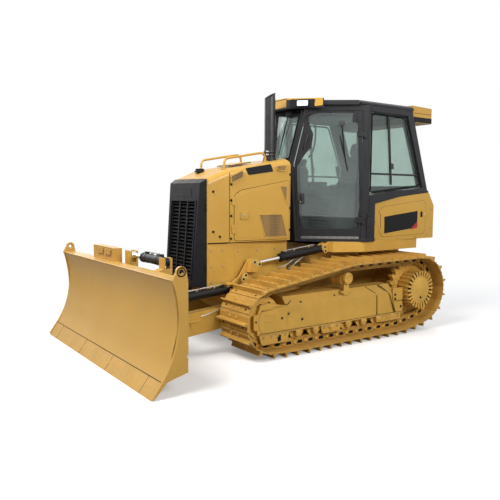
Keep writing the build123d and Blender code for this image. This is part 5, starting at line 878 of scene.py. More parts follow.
print("door slope", round(DOOR_ALONG[1] / DOOR_ALONG[0], 3))

# %% [markdown]
# A door is a pressed frame with one large pane glued on its outside. The black border that
# hides the glue follows the glass, not the frame, so glass is what gives the door its shape.
# The front of the frame swells into a panel for the handle that pulls the door shut.

# %% Cab doors
clear_edge = glass("clear_pane", (0.93, 0.96, 0.95), 0.02)
DOOR_PANE = [(0.700, 2.590), (0.580, 2.632), (0.165, 2.632), (0.140, 2.560), (0.112, 2.480), (0.092, 1.961),
             (0.076, 1.523), (0.095, 1.404), (0.098, 1.302), (0.143, 1.269), (0.744, 1.271), (0.783, 1.342),
             (0.797, 1.549), (0.816, 1.707), (0.828, 2.006), (0.726, 2.163), (0.665, 2.225), (0.644, 2.380),
             (0.690, 2.472)]
BULGE = [(0.832, 2.040), (0.790, 2.300), (0.725, 2.540), (0.690, 2.480), (0.640, 2.385), (0.662, 2.222),
         (0.722, 2.158), (0.800, 2.050)]
SLOT = [(0.748, 2.180), (0.768, 2.190), (0.712, 2.400), (0.692, 2.390)]
KICK = [(0.110, 1.188), (0.760, 1.188), (0.775, 1.275), (0.110, 1.275)]
TREAD = rect(0.080, 1.153, 0.765, 1.183)
tread_sheet = perforated("tread_sheet", (0.20, 0.20, 0.20), 0.014)
for side, sign in SIDES:
    body = f"{side}_door"
    plates(side, sign, door_side, body, (
        ("door_pane_edge", DOOR_PANE, 0.004, 0.0025, clear_edge, dict(corner=0.012)),
        ("door_seal", shrink(DOOR_PANE, -0.004), 0.002, 0.0012, rubber_and_shade, dict(corner=0.014, rim=0.010)),
        ("door_bulge", BULGE, 0.012, 0.006, cab_paint, dict(corner=0.014)),
        # The dark slot sheet is painted shade in the recess behind the pull.
        ("door_slot", SLOT, 0.004, 0.013, rubber_and_shade, dict(corner=0.008)),
        ("door_slot_rim", shrink(SLOT, -0.006), 0.008, 0.014, cab_paint, dict(corner=0.010, rim=0.006)),
        ("door_kick", KICK, 0.006, 0.004, cab_paint, dict(corner=0.02)),
        ("door_tread", TREAD, 0.004, 0.003, tread_sheet, dict(corner=0.010)),
    ), "dark_paint")
    pull = door_line(sign, (0.735, 2.215, 0.014), (0.738, 2.225, 0.030), (0.722, 2.295, 0.034), (0.704, 2.365, 0.030),
                     (0.702, 2.375, 0.014))
    tube(f"door_pull_{side}", pull, 0.007, moulded, body)
    plate(f"door_handle_base_{side}", [(0.726, 1.560), (0.792, 1.560), (0.796, 1.690), (0.730, 1.690)], 0.014,
          door_side(sign, 0.008), moulded, body, corner=0.014, slot="dark_paint")
    lever = door_line(sign, (0.762, 1.675, 0.012), (0.760, 1.660, 0.036), (0.757, 1.62, 0.040), (0.754, 1.575, 0.034))
    tube(f"door_lever_{side}", lever, 0.008, moulded, body)
    pin(f"door_lock_{side}", *door_line(sign, (0.775, 1.590, 0.012), (0.775, 1.590, 0.018)), 0.009, zinc, body,
        "dark_paint")
    plate(f"door_corner_plate_{side}", [(0.095, 2.520), (0.185, 2.520), (0.175, 2.640), (0.085, 2.640)], 0.006,
          door_side(sign, 0.006), cab_paint, body, corner=0.012)
    bolts(f"door_corner_bolts_{side}", 0.008, [on_door(0.135, z, sign, 0.008) for z in (2.615, 2.58, 2.545)],
          black_paint, body)
    for number, z in enumerate((1.38, 2.385)):
        plate(f"hinge_strap_{number}_{side}", rect(0.070, z - 0.034, 0.128, z + 0.034), 0.006, door_side(sign, 0.006),
              cab_paint, body, corner=0.010)
        bolts(f"hinge_bolts_{number}_{side}", 0.007, [on_door(0.112, z + dz, sign, 0.008) for dz in (-0.02, 0.02)],
              black_paint, body)
    wiper = door_line(sign, (0.304, 2.476, 0.024), (0.296, 2.40, 0.026), (0.275, 2.20, 0.022), (0.262, 2.10, 0.018))
    tube(f"wiper_arm_{side}", wiper, 0.005, rubber_and_shade, body)
    block(f"wiper_motor_{side}", (-0.030, -0.034, -0.004), (0.030, 0.034, 0.020), moulded, body, edge=0.008,
          slot="dark_paint", place=door_side(sign, 0.008) @ Matrix.Translation((0.304, 2.500, 0)))
    sweep = door_line(sign, (0.325, 2.36, 0.013), (0.285, 2.20, 0.015), (0.230, 1.96, 0.013))
    tube(f"wiper_blade_{side}", sweep, 0.006, rubber_and_shade, body)
print("corners of a door's pane", len(DOOR_PANE))

# %% [markdown]
# The rear side window slides. Its two panes run behind a black bar that leans with the rear
# post, and the driver can open the upper part a little way. The glass is shared with the
# frame's solid, and only the bars, runners and latches are added.

# %% Rear side windows
BAR = [(-0.872, 1.800), (-0.840, 1.800), (-0.755, 2.640), (-0.787, 2.640)]
RUNNER = [(-1.400, 1.915), (-0.470, 1.915), (-0.470, 1.938), (-1.390, 1.938)]
SIDE_PANE = [(-0.455, 1.690), (-0.455, 2.640), (-1.125, 2.640), (-1.462, 1.790)]
for side, sign in SIDES:
    plate(f"window_bar_{side}", BAR, 0.016, cab_wall(sign, -0.012), cab_paint, corner=0.004)
    plate(f"window_runner_{side}", RUNNER, 0.012, cab_wall(sign, -0.014), cab_paint, corner=0.004)
    plate(f"window_seal_{side}", SIDE_PANE, 0.008, cab_wall(sign, -0.002), rubber_and_shade, corner=0.05, rim=0.020,
          slot="dark_paint")
    plate(f"window_catch_{side}", [(-0.885, 1.99), (-0.835, 1.99), (-0.825, 2.06), (-0.875, 2.06)], 0.014,
          cab_wall(sign), moulded, corner=0.010, slot="dark_paint")
    # A dark strip: painted shade in the seam at the rear post.
    plate(f"post_seam_{side}", rect(-0.452, 1.20, -0.448, 2.70), 0.002, cab_wall(sign, 0.0005), rubber_and_shade, edge=0,
          slot="dark_paint")
    plate(f"hinge_cover_{side}", [(-0.485, 1.175), (-0.412, 1.175), (-0.412, 1.30), (-0.430, 1.46), (-0.470, 1.46)],
          0.014, cab_wall(sign, 0.004), cab_paint, corner=0.014)
    bolts(f"hinge_cover_bolts_{side}", 0.008, [on_wall(-0.45, z, sign, 0.011) for z in (1.22, 1.30, 1.42)],
          black_paint)
    plate(f"waist_plate_{side}", [(-0.562, 1.555), (-0.562, 1.735), (-1.585, 1.735), (-1.585, 1.695), (-1.01, 1.630)],
          0.010, side_plane(sign * 0.702), cab_paint)
print("rear windows", 2)

# %% [markdown]
# The windscreen is narrow, because the hood is all that lies in front of it. Its wiper hangs
# from the top. Two bent bars inside the front posts are what the driver holds to climb in.

# %% Windscreen and grab bars
SCREEN = [(-0.150, 0.040), (0.150, 0.040), (0.222, 0.610), (-0.222, 0.610)]
plate("screen_seal", SCREEN, 0.006, screen_plane(0.003), rubber_and_shade, corner=0.03, rim=0.022, slot="dark_paint")
plate("screen_edge", shrink(SCREEN, 0.004), 0.003, screen_plane(0.0015), clear_edge, corner=0.028)
arm = [screen_at(0.03, 0.585, 0.030), screen_at(0.028, 0.55, 0.034), screen_at(0.0, 0.40, 0.026),
       screen_at(-0.03, 0.27, 0.020)]
tube("screen_wiper_arm", arm, 0.006, rubber_and_shade)
tube("screen_wiper_blade", [screen_at(-0.005, 0.40, 0.016), screen_at(-0.03, 0.25, 0.018),
                            screen_at(-0.05, 0.10, 0.016)], 0.006, rubber_and_shade)
block("screen_wiper_motor", (-0.045, -0.030, -0.005), (0.045, 0.030, 0.030), moulded, edge=0.010, slot="dark_paint",
      place=screen_plane(0.010) @ Matrix.Translation((0.03, 0.600, 0)))
for side, sign in SIDES:
    hold = side_line(sign, (0.085, 0.265, 2.12), (0.04, 0.235, 2.14), (-0.02, 0.225, 2.20), (-0.04, 0.235, 2.34),
                     (-0.02, 0.26, 2.48), (0.04, 0.285, 2.52))
    tube(f"grab_bar_{side}", hold, 0.011, moulded, order=4)
    post = [screen_at(sign * 0.175, 0.02, 0.004), screen_at(sign * 0.245, 0.62, 0.004)]
    tube(f"front_post_bead_{side}", post + [post[1] + Vector((0, 0, 0.004))], 0.006, cab_paint, order=2)
    mirror = side_line(sign, (0.16, 0.35, 2.60), (0.22, 0.39, 2.60), (0.24, 0.40, 2.56))
    tube(f"mirror_arm_{side}", mirror, 0.006, rubber_and_shade)
print("windscreen", len(SCREEN))

# %% [markdown]
# The roof is a black pan with a yellow lamp housing round its front. Its two slanted ends
# each hold a work lamp, so the housing is yellow only at the middle, at the corners and
# along the top. At the back a long box holds the air conditioner and the rear lamps.

# %% Roof, lamps and rear box
VISOR_SLANT = Vector((-0.280, 0.330, 0)).normalized()
BOX_SIDE, BOX_BACK = 0.690, -1.617


def visor_side(sign, out=0.0):
    """Plane of the visor's slanted end: first axis outward along it, second up."""
    normal = Vector((VISOR_SLANT.y, -VISOR_SLANT.x, 0))
    start = at(0.340, 0.150, 0) + normal * out
    return basis((start.x, sign * start.y, 0), (VISOR_SLANT.x, sign * VISOR_SLANT.y, 0))


for side, sign in SIDES:
    plates(side, sign, visor_side, "root", (
        ("visor_dark", [(0.030, 2.682), (0.330, 2.682), (0.318, 2.776), (0.040, 2.776)], 0.012, 0.004,
         black_paint, dict(corner=0.012)),
        ("lamp_bezel", rect(0.110, 2.688, 0.262, 2.774), 0.026, 0.012, black_paint, dict(corner=0.016, rim=0.012)),
        ("lamp_lens", rect(0.118, 2.695, 0.254, 2.767), 0.012, 0.014, lens, dict(corner=0.018)),
        ("visor_cap", [(0.325, 2.690), (0.422, 2.700), (0.422, 2.784), (0.335, 2.784)], 0.014, 0.005,
         body_paint, dict(corner=0.012, slot="machine_paint")),
        ("visor_ledge", [(0.00, 2.772), (0.418, 2.772), (0.418, 2.786), (0.00, 2.790)], 0.030, -0.008,
         body_paint, dict(corner=0.004, slot="machine_paint")),
    ), "dark_paint")
    box = rect(-1.618, 2.590, -1.262, 2.655)
    plate(f"rear_box_base_{side}", box, 0.006, side_plane(sign * BOX_SIDE), black_paint, corner=0.006,
          slot="dark_paint")
    # A dark strip: painted shade in the seam of the rear box.
    plate(f"rear_box_seam_{side}", rect(-1.613, 2.700, -1.240, 2.704), 0.003, side_plane(sign * BOX_SIDE), rubber_and_shade,
          edge=0, slot="dark_paint")
    gutter = rect(-1.225, 2.722, -0.30, 2.742)
    plate(f"roof_gutter_{side}", gutter, 0.016, side_plane(sign * 0.713), cab_paint, corner=0.004)
    lamp_back = cross_plane(BOX_BACK, sign * 0.52)
    plate(f"rear_lamp_bezel_{side}", rect(-0.09, 2.61, 0.09, 2.70), 0.016, lamp_back, black_paint, corner=0.016,
          rim=0.010, slot="dark_paint")
    plate(f"rear_lamp_lens_{side}", rect(-0.083, 2.616, 0.083, 2.694), 0.010, lamp_back, lens, corner=0.016)
plate("visor_brow", rect(0.248, -0.148, 0.352, 0.148), 0.012, flat_plane(0, 0, 2.789), body_paint, corner=0.03)
plate("visor_front", rect(-0.140, 2.690, 0.140, 2.780), 0.008, cross_plane(0.342), body_paint, corner=0.012)
HATCH_PLAN = rect(-0.95, -0.38, -0.35, 0.38)
top = flat_plane(0, 0, 2.772)
plate("roof_hatch_seal", HATCH_PLAN, 0.010, top, rubber_and_shade, corner=0.06, slot="dark_paint")
plate("roof_hatch", shrink(HATCH_PLAN, 0.014), 0.028, top, cab_paint, corner=0.05, edge=0.008)
for number, y in enumerate((-0.24, -0.12, 0.0, 0.12, 0.24)):
    plate(f"roof_rib_{number}", rect(-0.88, y - 0.016, -0.42, y + 0.016), 0.012,
          top @ Matrix.Translation((0, 0, -0.016)), cab_paint, corner=0.012)
grid = cross_plane(BOX_BACK)
plate("intake_frame", rect(-0.30, 2.62, 0.30, 2.74), 0.014, grid, black_paint, corner=0.02, rim=0.014,
      slot="dark_paint")
for number in range(7):
    z = 2.640 + number * 0.0135
    plate(f"intake_slat_{number}", rect(-0.288, z, 0.288, z + 0.006), 0.012, grid, black_paint, edge=0,
          slot="dark_paint")
plate("beacon_foot", rect(-0.05, -0.05, 0.05, 0.05), 0.012, top @ Matrix.Translation((-1.12, 0.50, -0.005)),
      cab_paint, corner=0.02)
print("lamps", 4)

# %% [markdown]
# A track chain is a loop of forged links, two rails of them, joined by pins. A plate with a
# cleat is bolted across each pair of links. The solid gives the plates and the rails as one
# loop, so the pins' places are worked out again here, and every link, pin and bolt follows.

# %% Places of the track's pins
GROUND_PIN_Z = 0.104
BELT = ((1.165, 0.395, 0.276), (0.014, 0.845, 0.001), (-1.170, 0.512, 0.350), (-0.880, GROUND_PIN_Z + 0.001, 0.001),
        (0.848, GROUND_PIN_Z + 0.001, 0.001))
SHOES = 43
TRACK_Y = 0.75
PLATE_RISE = 0.0565


def belt_runs(circles):
    """Straight runs of a belt round the circles: start, end and the angle of their outside."""
    runs = []
    for first, second in zip(circles, circles[1:] + circles[:1]):
        gap = math.hypot(second[0] - first[0], second[1] - first[1])
        heading = math.atan2(second[1] - first[1], second[0] - first[0])
        lean = (first[2] - second[2]) / gap
        normal = heading - math.atan2(math.sqrt(1 - lean * lean), lean)
        ends = [(c[0] + c[2] * math.cos(normal), c[1] + c[2] * math.sin(normal)) for c in (first, second)]
        runs.append((ends[0], ends[1], normal))
    return runs


def belt_points(circles, count):
    """Pins spaced evenly along the straight runs and the arcs between them."""
    runs = belt_runs(circles)
    stretches = []
    for index, (start, end, normal) in enumerate(runs):
        stretches.append(("run", start, end, math.dist(start, end)))
        centre = circles[(index + 1) % len(circles)]
        turn = (runs[(index + 1) % len(runs)][2] - normal) % (2 * math.pi)
        stretches.append(("arc", centre, normal, turn * centre[2]))
    total = sum(stretch[3] for stretch in stretches)
    points = []
    for number in range(count):
        travel = total * number / count
        for kind, first, second, length in stretches:
            if travel <= length:
                break
            travel -= length
        if kind == "run":
            share = travel / length
            points.append(tuple(first[i] + (second[i] - first[i]) * share for i in (0, 1)))
        else:
            angle = second + travel / first[2]
            points.append((first[0] + first[2] * math.cos(angle), first[1] + first[2] * math.sin(angle)))
    return points, total / count


PINS, PITCH = belt_points(BELT, SHOES)
LINKS = []
for index, place in enumerate(PINS):
    ahead_pin = PINS[(index + 1) % SHOES]
    heading = ((ahead_pin[0] - place[0]) / PITCH, (ahead_pin[1] - place[1]) / PITCH)
    length = math.hypot(*heading)
    LINKS.append((place, (heading[0] / length, heading[1] / length)))
print("pitch", round(PITCH, 4))

# %% [markdown]
# One link, one pin end and one shoe bolt are modelled, then set at each pitch of the chain.
# The dark windows in the links are where a spanner reaches the nuts of the shoe bolts.
# They are dark plates, painted shade in those openings.


# %% Links, pins and shoe bolts
def link_place(index, y, along=0.0, rise=0.0):
    """Frame on the chain: first axis along it, second out of the loop."""
    (x, z), (dx, dz) = LINKS[index]
    origin = at(x + dx * along + dz * rise, y, z + dz * along - dx * rise)
    return basis(origin, (dx, 0, dz), (dz, 0, -dx))


def flat_piece(outline, thick, corner=0.0):
    """A cut plate left at the world's centre, ready to be copied."""
    obj = outline_face(outline, corner, 2)
    draw_out(thick)
    return obj


LINK = [(0.008, -0.026), (0.030, -0.044), (0.062, -0.038), (0.094, -0.038), (0.124, -0.044), (0.147, -0.026),
        (0.147, 0.020), (0.128, 0.043), (0.026, 0.043), (0.008, 0.020)]
LINK_WINDOW = [(0.048, -0.008), (0.106, -0.008), (0.112, 0.026), (0.042, 0.026)]
for side, sign in SIDES:
    faces = [(sign * (TRACK_Y + rail * 0.0825), rail) for rail in (-1, 1)]
    # The links take the tracks' darkened yellow, which is painted shade.
    spread(f"links_{side}", flat_piece(LINK, 0.010, 0.010),
           [link_place(i, y) for i in range(SHOES) for y, rail in faces], shaded_shoe_paint)
    faces = [(sign * (TRACK_Y + rail * 0.0875), rail) for rail in (-1, 1)]
    # Dark plates on the links: painted shade in the windows.
    spread(f"link_windows_{side}", flat_piece(LINK_WINDOW, 0.003, 0.006),
           [link_place(i, y) for i in range(SHOES) for y, rail in faces], rubber_and_shade)
    clear_choice()
    bpy.ops.mesh.primitive_cylinder_add(vertices=14, radius=0.021, depth=0.018)
    boss = bpy.context.object
    pick(boss, lambda centre, normal: abs(normal.z) > 0.9)
    bpy.ops.mesh.inset(thickness=0.006)
    bpy.ops.transform.resize(value=(1, 1, 0.6))
    mode("OBJECT")
    spread(f"pin_ends_{side}", boss, [link_place(i, y) for i in range(SHOES) for y, rail in faces], casting_paint)
    heads = []
    for i in range(SHOES):
        for across in (-0.061, 0.061):
            for along in (0.030, 0.126):
                frame_at = link_place(i, sign * TRACK_Y + across, along, PLATE_RISE)
                heads.append((frame_at.translation, frame_at.col[1].xyz))
    spread(f"shoe_bolts_{side}", bolt(0.0115), heads, casting_paint)
    # Dark plates on the shoes: painted shade in their holes.
    holes = [link_place(i, sign * TRACK_Y + across, 0.040, PLATE_RISE) for i in range(SHOES)
             for across in (-0.175, 0.175)]
    turned_flat = Matrix.Rotation(math.radians(90), 4, "X")
    spread(f"shoe_holes_{side}", flat_piece(rect(-0.010, -0.014, 0.010, 0.014), 0.002, 0.008),
           [hole @ turned_flat for hole in holes], rubber_and_shade)
    print(side, "links", SHOES * 2, "bolts", len(heads))

# %% [markdown]
# The track frame carries rollers below and the idler in front. Its covers are pressed plate,
# so they show soft ridges, seams and plugs, and a bright wear strip runs along the bottom.

# %% Track frame covers
BEAM_Y = 0.875
SHOULDER_Z = 0.505


def beam_side(sign, out=0.0):
    """Plane of the track frame's outer side: first axis forward, second up."""
    return side_plane(sign * (BEAM_Y + out))


def on_beam(x, z, sign, out=0.0):
    """A place on the track frame's outside, which slopes inward above its shoulder."""
    lean = max(0.0, z - SHOULDER_Z) * 0.075 / 0.095
    return at(x, sign * (BEAM_Y - lean + out), z)


FRONT_COVER = [(1.205, 0.256), (1.250, 0.300), (1.258, 0.385), (1.240, 0.470), (1.205, 0.506), (1.006, 0.500),
               (0.862, 0.500), (0.640, 0.488), (0.640, 0.256)]
REAR_COVER = [(-0.492, 0.258), (-0.492, 0.500), (-0.660, 0.500), (-0.712, 0.430), (-0.745, 0.340), (-0.775, 0.258)]
BRACKET = [(-0.738, 0.552), (-0.918, 0.552), (-0.925, 0.396), (-0.752, 0.396)]
LOW_BRACKET = [(-0.754, 0.386), (-0.925, 0.384), (-0.925, 0.256), (-0.806, 0.256)]
for side, sign in SIDES:
    plates(side, sign, beam_side, "root", (
        ("front_cover", FRONT_COVER, 0.006, 0.003, frame_paint, dict(corner=0.028)),
        ("rear_cover", REAR_COVER, 0.006, 0.003, frame_paint, dict(corner=0.02)),
        ("tail_bracket", BRACKET, 0.022, 0.008, frame_paint, dict(corner=0.014, edge=0.003)),
        ("tail_bracket_low", LOW_BRACKET, 0.022, 0.007, frame_paint, dict(corner=0.012, edge=0.003)),
        ("nose_bracket", [(1.258, 0.292), (1.322, 0.300), (1.326, 0.455), (1.262, 0.462)], 0.026, -0.006,
         frame_paint, dict(corner=0.010, edge=0.003)),
        ("wear_strip", rect(-0.925, 0.236, 1.245, 0.249), 0.012, 0.006, edge_paint, dict()),
        ("strip_shadow", rect(-0.925, 0.250, 1.24, 0.2535), 0.002, 0.0008, rubber_and_shade, dict(edge=0)),
    ), "running_gear")
    # The seams and the cover's edge are thin dark tubes: painted shade in the grooves and under the edge.
    lines = {"cover_edge": ([(1.252, 0.545), (1.212, 0.520), (1.006, 0.512), (0.862, 0.519), (0.813, 0.556)], 0.0045),
             "seam_front": ([(-0.350, 0.598), (-0.400, 0.556), (-0.470, 0.512), (-0.482, 0.430), (-0.482, 0.256)],
                            0.0035),
             "seam_rear": ([(-0.570, 0.598), (-0.640, 0.545), (-0.700, 0.490), (-0.735, 0.380), (-0.794, 0.256)],
                           0.006),
             "seam_tail": ([(-0.545, 0.598), (-0.615, 0.545), (-0.678, 0.490), (-0.714, 0.380), (-0.770, 0.256)],
                           0.003)}
    for name, (points, radius) in lines.items():
        tube(f"{name}_{side}", [on_beam(x, z, sign, 0.004) for x, z in points], radius, rubber_and_shade,
             sides=1)
    ridges = {"slot_ridge": [(1.184, 0.442), (1.075, 0.434), (1.040, 0.420), (1.036, 0.380), (1.068, 0.364),
                             (1.183, 0.372)],
              "plate_ridge": [(0.886, 0.300), (0.900, 0.420), (0.860, 0.462), (0.760, 0.468), (0.671, 0.462)]}
    for name, points in ridges.items():
        tube(f"{name}_{side}", [on_beam(x, z, sign, 0.0055) for x, z in points], 0.006, frame_paint)
    for number, (x, z, size) in enumerate(((0.874, 0.427, 0.016), (0.959, 0.388, 0.013), (0.681, 0.346, 0.015),
                                           (1.295, 0.386, 0.011), (0.689, 0.530, 0.011), (0.18, 0.550, 0.010),
                                           (1.10, 0.560, 0.012), (1.215, 0.548, 0.012))):
        foot = on_beam(x, z, sign, 0.003)
        lean = Vector((0, sign * 0.785, 0.62)) if z > SHOULDER_Z else Vector((0, sign, 0))
        pin(f"plug_{number}_{side}", foot, foot + lean * 0.008, size, black_paint, slot="running_gear", steps=16,
            chamfer=0.25)
        pin(f"plug_rim_{number}_{side}", foot, foot + lean * 0.004, size + 0.005, frame_paint, slot="running_gear",
            steps=16, chamfer=0.3)
    bolts(f"tail_bolts_{side}", 0.012, [(on_beam(x, z, sign, 0.019), (0, sign, 0))
                                        for x, z in ((-0.781, 0.472), (-0.783, 0.421), (-0.89, 0.32))], black_paint)
    # A dark plate: painted shade in the slot of the guard.
    plate(f"guard_slot_{side}", rect(0.966, 0.150, 1.010, 0.214), 0.003, beam_side(sign, 0.0015), rubber_and_shade,
          corner=0.006, slot="running_gear")
    for number, (rear, front, low) in enumerate(((0.855, 1.245, 0.135), (0.105, 0.40, 0.150),
                                                 (-0.915, -0.515, 0.165))):
        corners = side_line(sign, (rear + 0.02, 0.852, low - 0.001), (front - 0.02, 0.893, low + 0.013))
        block(f"guard_lip_{number}_{side}", *corners, edge_paint, edge=0.003, slot="running_gear")
        middle = (rear + front) / 2
        bolts(f"guard_bolts_{number}_{side}", 0.010, [side_spot(sign, x, 0.8755, 0.208)
                                                      for x in (rear + 0.05, middle - 0.04, middle + 0.04,
                                                                front - 0.05)])
print("covers", 10)

# %% [markdown]
# Only the ends of the rollers show below the strip. Each shaft is held by a cap with two
# bolts. The roller on top that carries the chain has a larger dished cap.

# %% Roller caps
CAP = [(0, 0.020), (0.020, 0.020), (0.024, 0.016), (0.040, 0.014), (0.044, 0.010), (0.044, -0.012), (0, -0.012)]
DISH = [(0, 0.026), (0.022, 0.026), (0.026, 0.020), (0.046, 0.020), (0.052, 0.026), (0.064, 0.022), (0.068, 0.010),
        (0.068, -0.014), (0, -0.014)]
ROLLERS = [-0.760 + 0.248 * number for number in range(7)]


def facing(x, y, z, sign):
    """Frame at a place whose third axis points out of the machine's side."""
    third = Vector((0, sign, 0))
    first = Vector((1, 0, 0))
    return axes(at(x, y, z), first, third.cross(first), third)


for side, sign in SIDES:
    for number, x in enumerate(ROLLERS):
        turned(f"roller_cap_{number}_{side}", CAP, facing(x, sign * 0.872, 0.206, sign), casting_paint, steps=18)
    ends = [side_spot(sign, x + dx, 0.886, 0.206) for x in ROLLERS for dx in (-0.031, 0.031)]
    bolts(f"roller_cap_bolts_{side}", 0.0075, ends, casting_paint)
    turned(f"carrier_cap_{side}", DISH, facing(0.014, sign * 0.876, 0.735, sign), casting_paint, steps=26)
    bolts(f"carrier_bolts_{side}", 0.008, side_ring(sign, 0.014, 0.896, 0.735, 0.036, (0.4, 2.5, 4.6)), casting_paint)
    plate(f"carrier_foot_{side}", [(-0.075, 0.0), (0.105, 0.0), (0.085, 0.026), (-0.055, 0.026)], 0.070,
          basis(at(0, sign * 0.835, 0.566), (1, 0, 0)), frame_paint, corner=0.004, slot="running_gear")
print("roller caps", 16)

# %% [markdown]
# The final drive ends in a round cover. Its rim is a ring of short spokes with dark pockets
# between them, which shed mud; a dark ring behind the spokes paints the shade in the pockets.
# The toothed ring behind it is bolted on in segments.

# %% Final drive covers
DISC = [(0, 0.014), (0.060, 0.014), (0.066, 0.010), (0.160, 0.006), (0.172, 0.000), (0.172, -0.010), (0, -0.010)]
HUB = (-1.170, 0.512)
SPOKES, TEETH = 26, 25
for side, sign in SIDES:
    # A dark ring behind the spokes: painted shade in the pockets.
    turned(f"hub_pocket_{side}", rect(0.165, 0.002, 0.225, -0.002), facing(HUB[0], sign * 0.951, HUB[1], sign),
           rubber_and_shade, steps=52)
    turned(f"hub_disc_{side}", DISC, facing(HUB[0], sign * 0.955, HUB[1], sign), casting_paint, steps=48)
    spokes = []
    for number in range(SPOKES):
        turn_about = Matrix.Rotation(2 * math.pi * number / SPOKES, 4, "Z")
        spokes.append(facing(HUB[0], sign * 0.958, HUB[1], sign) @ turn_about)
    wedge = [(0.164, -0.0085), (0.222, -0.0155), (0.234, -0.010), (0.234, 0.010), (0.222, 0.0155), (0.164, 0.0085)]
    spread(f"hub_spokes_{side}", flat_piece(wedge, 0.016, 0.003), spokes, casting_paint)
    turned(f"sprocket_ring_{side}", [(0.242, 0.004), (0.250, 0.010), (0.300, 0.008), (0.306, 0.0), (0.306, -0.004),
                                     (0.242, -0.004)], facing(HUB[0], sign * 0.781, HUB[1], sign), casting_paint,
           steps=50)
    turns = [2 * math.pi * n / TEETH for n in range(TEETH)]
    bolts(f"sprocket_bolts_{side}", 0.0105, side_ring(sign, HUB[0], 0.789, HUB[1], 0.277, turns), casting_paint)
    plug = facing(HUB[0], sign * 0.966, HUB[1] - 0.100, sign)
    turned(f"hub_plug_{side}", [(0, 0.008), (0.012, 0.008), (0.014, 0.005), (0.014, -0.004), (0, -0.004)], plug,
           black_paint, steps=14)
    block(f"drive_guard_{side}", *side_line(sign, (-1.02, 0.640, 0.30), (-0.93, 0.655, 0.50)), frame_paint,
          slot="running_gear")
print("spokes", SPOKES)

# %% [markdown]
# The blade is a curved skin on a ribbed back. Its lower edge is a set of bolted segments that
# wear out first. Each segment is held by flush bolts, so only their square heads show faintly.

# %% Blade details
EDGE_LOW, EDGE_HIGH = Vector((2.700, 0, 0.0)), Vector((2.600, 0, 0.135))


def on_edge(y, share):
    """Frame on the cutting edge: first axis across, second up it, third square to its face."""
    place = EDGE_LOW.lerp(EDGE_HIGH, share)
    return basis(at(place.x, y, place.z), (0, 1, 0), EDGE_HIGH - EDGE_LOW)


heads = [on_edge(sign * y, 0.52) for side, sign in SIDES
         for y in (0.10, 0.27, 0.36, 0.45, 0.60, 0.78, 0.87, 0.96, 1.17, 1.245, 1.315)]
spread("edge_bolts", flat_piece(rect(-0.011, -0.011, 0.011, 0.011), 0.004, 0.003), heads, edge_paint, "blade")
# Dark strips between the segments and along their top: painted shade in those joints.
seams = [on_edge(y, 0.5) for y in (-1.13, -0.36, 0.36, 1.13)]
spread("edge_seams", flat_piece(rect(-0.0022, -0.082, 0.0022, 0.082), 0.0016), seams, rubber_and_shade, "blade")
top_seam = basis(at(2.6015, 0, 0.1375), (0, 1, 0), (0.6, 0, -0.8))
plate("edge_top_seam", rect(-1.362, -0.0025, 1.362, 0.0025), 0.002, top_seam, rubber_and_shade, "blade", edge=0,
      slot="edge_steel")
WELD_Y = 1.364
RING = [(0.0235, 0.004), (0.030, 0.006), (0.042, 0.006), (0.046, 0.003), (0.046, -0.002), (0.0235, -0.002)]
for side, sign in SIDES:
    for number, (y, face) in enumerate(((1.389, 1), (1.366, -1))):
        turned(f"ear_ring_{number}_{side}", RING, facing(2.425, sign * (y - face * 0.004), 1.040, sign * face),
               edge_paint, "blade", steps=28)
    # A dark sleeve in the ear's bore: painted shade inside the hole.
    turned(f"ear_bore_{side}", rect(0.0205, 0.0125, 0.0225, -0.0125), facing(2.425, sign * 1.3785, 1.040, sign),
           rubber_and_shade, "blade")
    gusset = side_line(sign, (2.500, WELD_Y, 0.960), (2.462, WELD_Y, 0.800), (2.446, WELD_Y, 0.600),
                       (2.462, WELD_Y, 0.430), (2.520, WELD_Y, 0.270), (2.598, WELD_Y, 0.140))
    tube(f"end_weld_{side}", gusset, 0.006, blade_paint, "blade")
tube("top_weld", [at(2.498, -1.362, 0.972), at(2.498, 0, 0.972), at(2.498, 1.362, 0.972)], 0.005, blade_paint,
     "blade", order=2)
print("edge bolts", len(heads))

# %% [markdown]
# The curved front wears thin, so many blades carry a liner. This one is a grid laid on the CAD
# solid's own face, measured height by height, a little fuller where the tilt pin's housing
# comes close behind it.

# %% Blade liner
AHEAD_OF_BLADE, BESIDE_HUB = 3.0, 0.5
LINER_LOW, LINER_RISE, LINER_HALF = 0.155, 0.800, 1.3635
HUB_Z, FADE_UP, FADE_DOWN = 0.415, 0.48, 0.27


def blade_front(z):
    """Place of the blade's front face at a height, measured beside the middle."""
    return bpy.data.objects["blade"].ray_cast(Vector((AHEAD_OF_BLADE, BESIDE_HUB, z)), Vector((-1, 0, 0)))[1].x


clear_choice()
bpy.ops.mesh.primitive_grid_add(x_subdivisions=4, y_subdivisions=30, size=1)
liner = bpy.context.object
for vertex in liner.data.vertices:
    across, share = vertex.co.x * 2 * LINER_HALF, vertex.co.y + 0.5
    z = LINER_LOW + share * LINER_RISE
    reach = min(1.0, (z - HUB_Z) / FADE_UP if z > HUB_Z else (HUB_Z - z) / FADE_DOWN)
    vertex.co = (blade_front(z) + 0.0012 + 0.0084 * (1 + math.cos(math.pi * reach)), across, z)
bpy.ops.object.modifier_add(type="SOLIDIFY")
liner.modifiers[-1].thickness = 0.003
bpy.ops.object.modifier_apply(modifier=liner.modifiers[-1].name)
settle(liner, "blade_liner", blade_paint, "blade")
print("liner", len(liner.data.polygons), "faces")

# %% [markdown]
# From behind, the blade shows ribs and the sockets of its cylinders. Plain gussets stiffen the
# skin between them, as they do on the real machine, and the box on top carries the tilt arm.

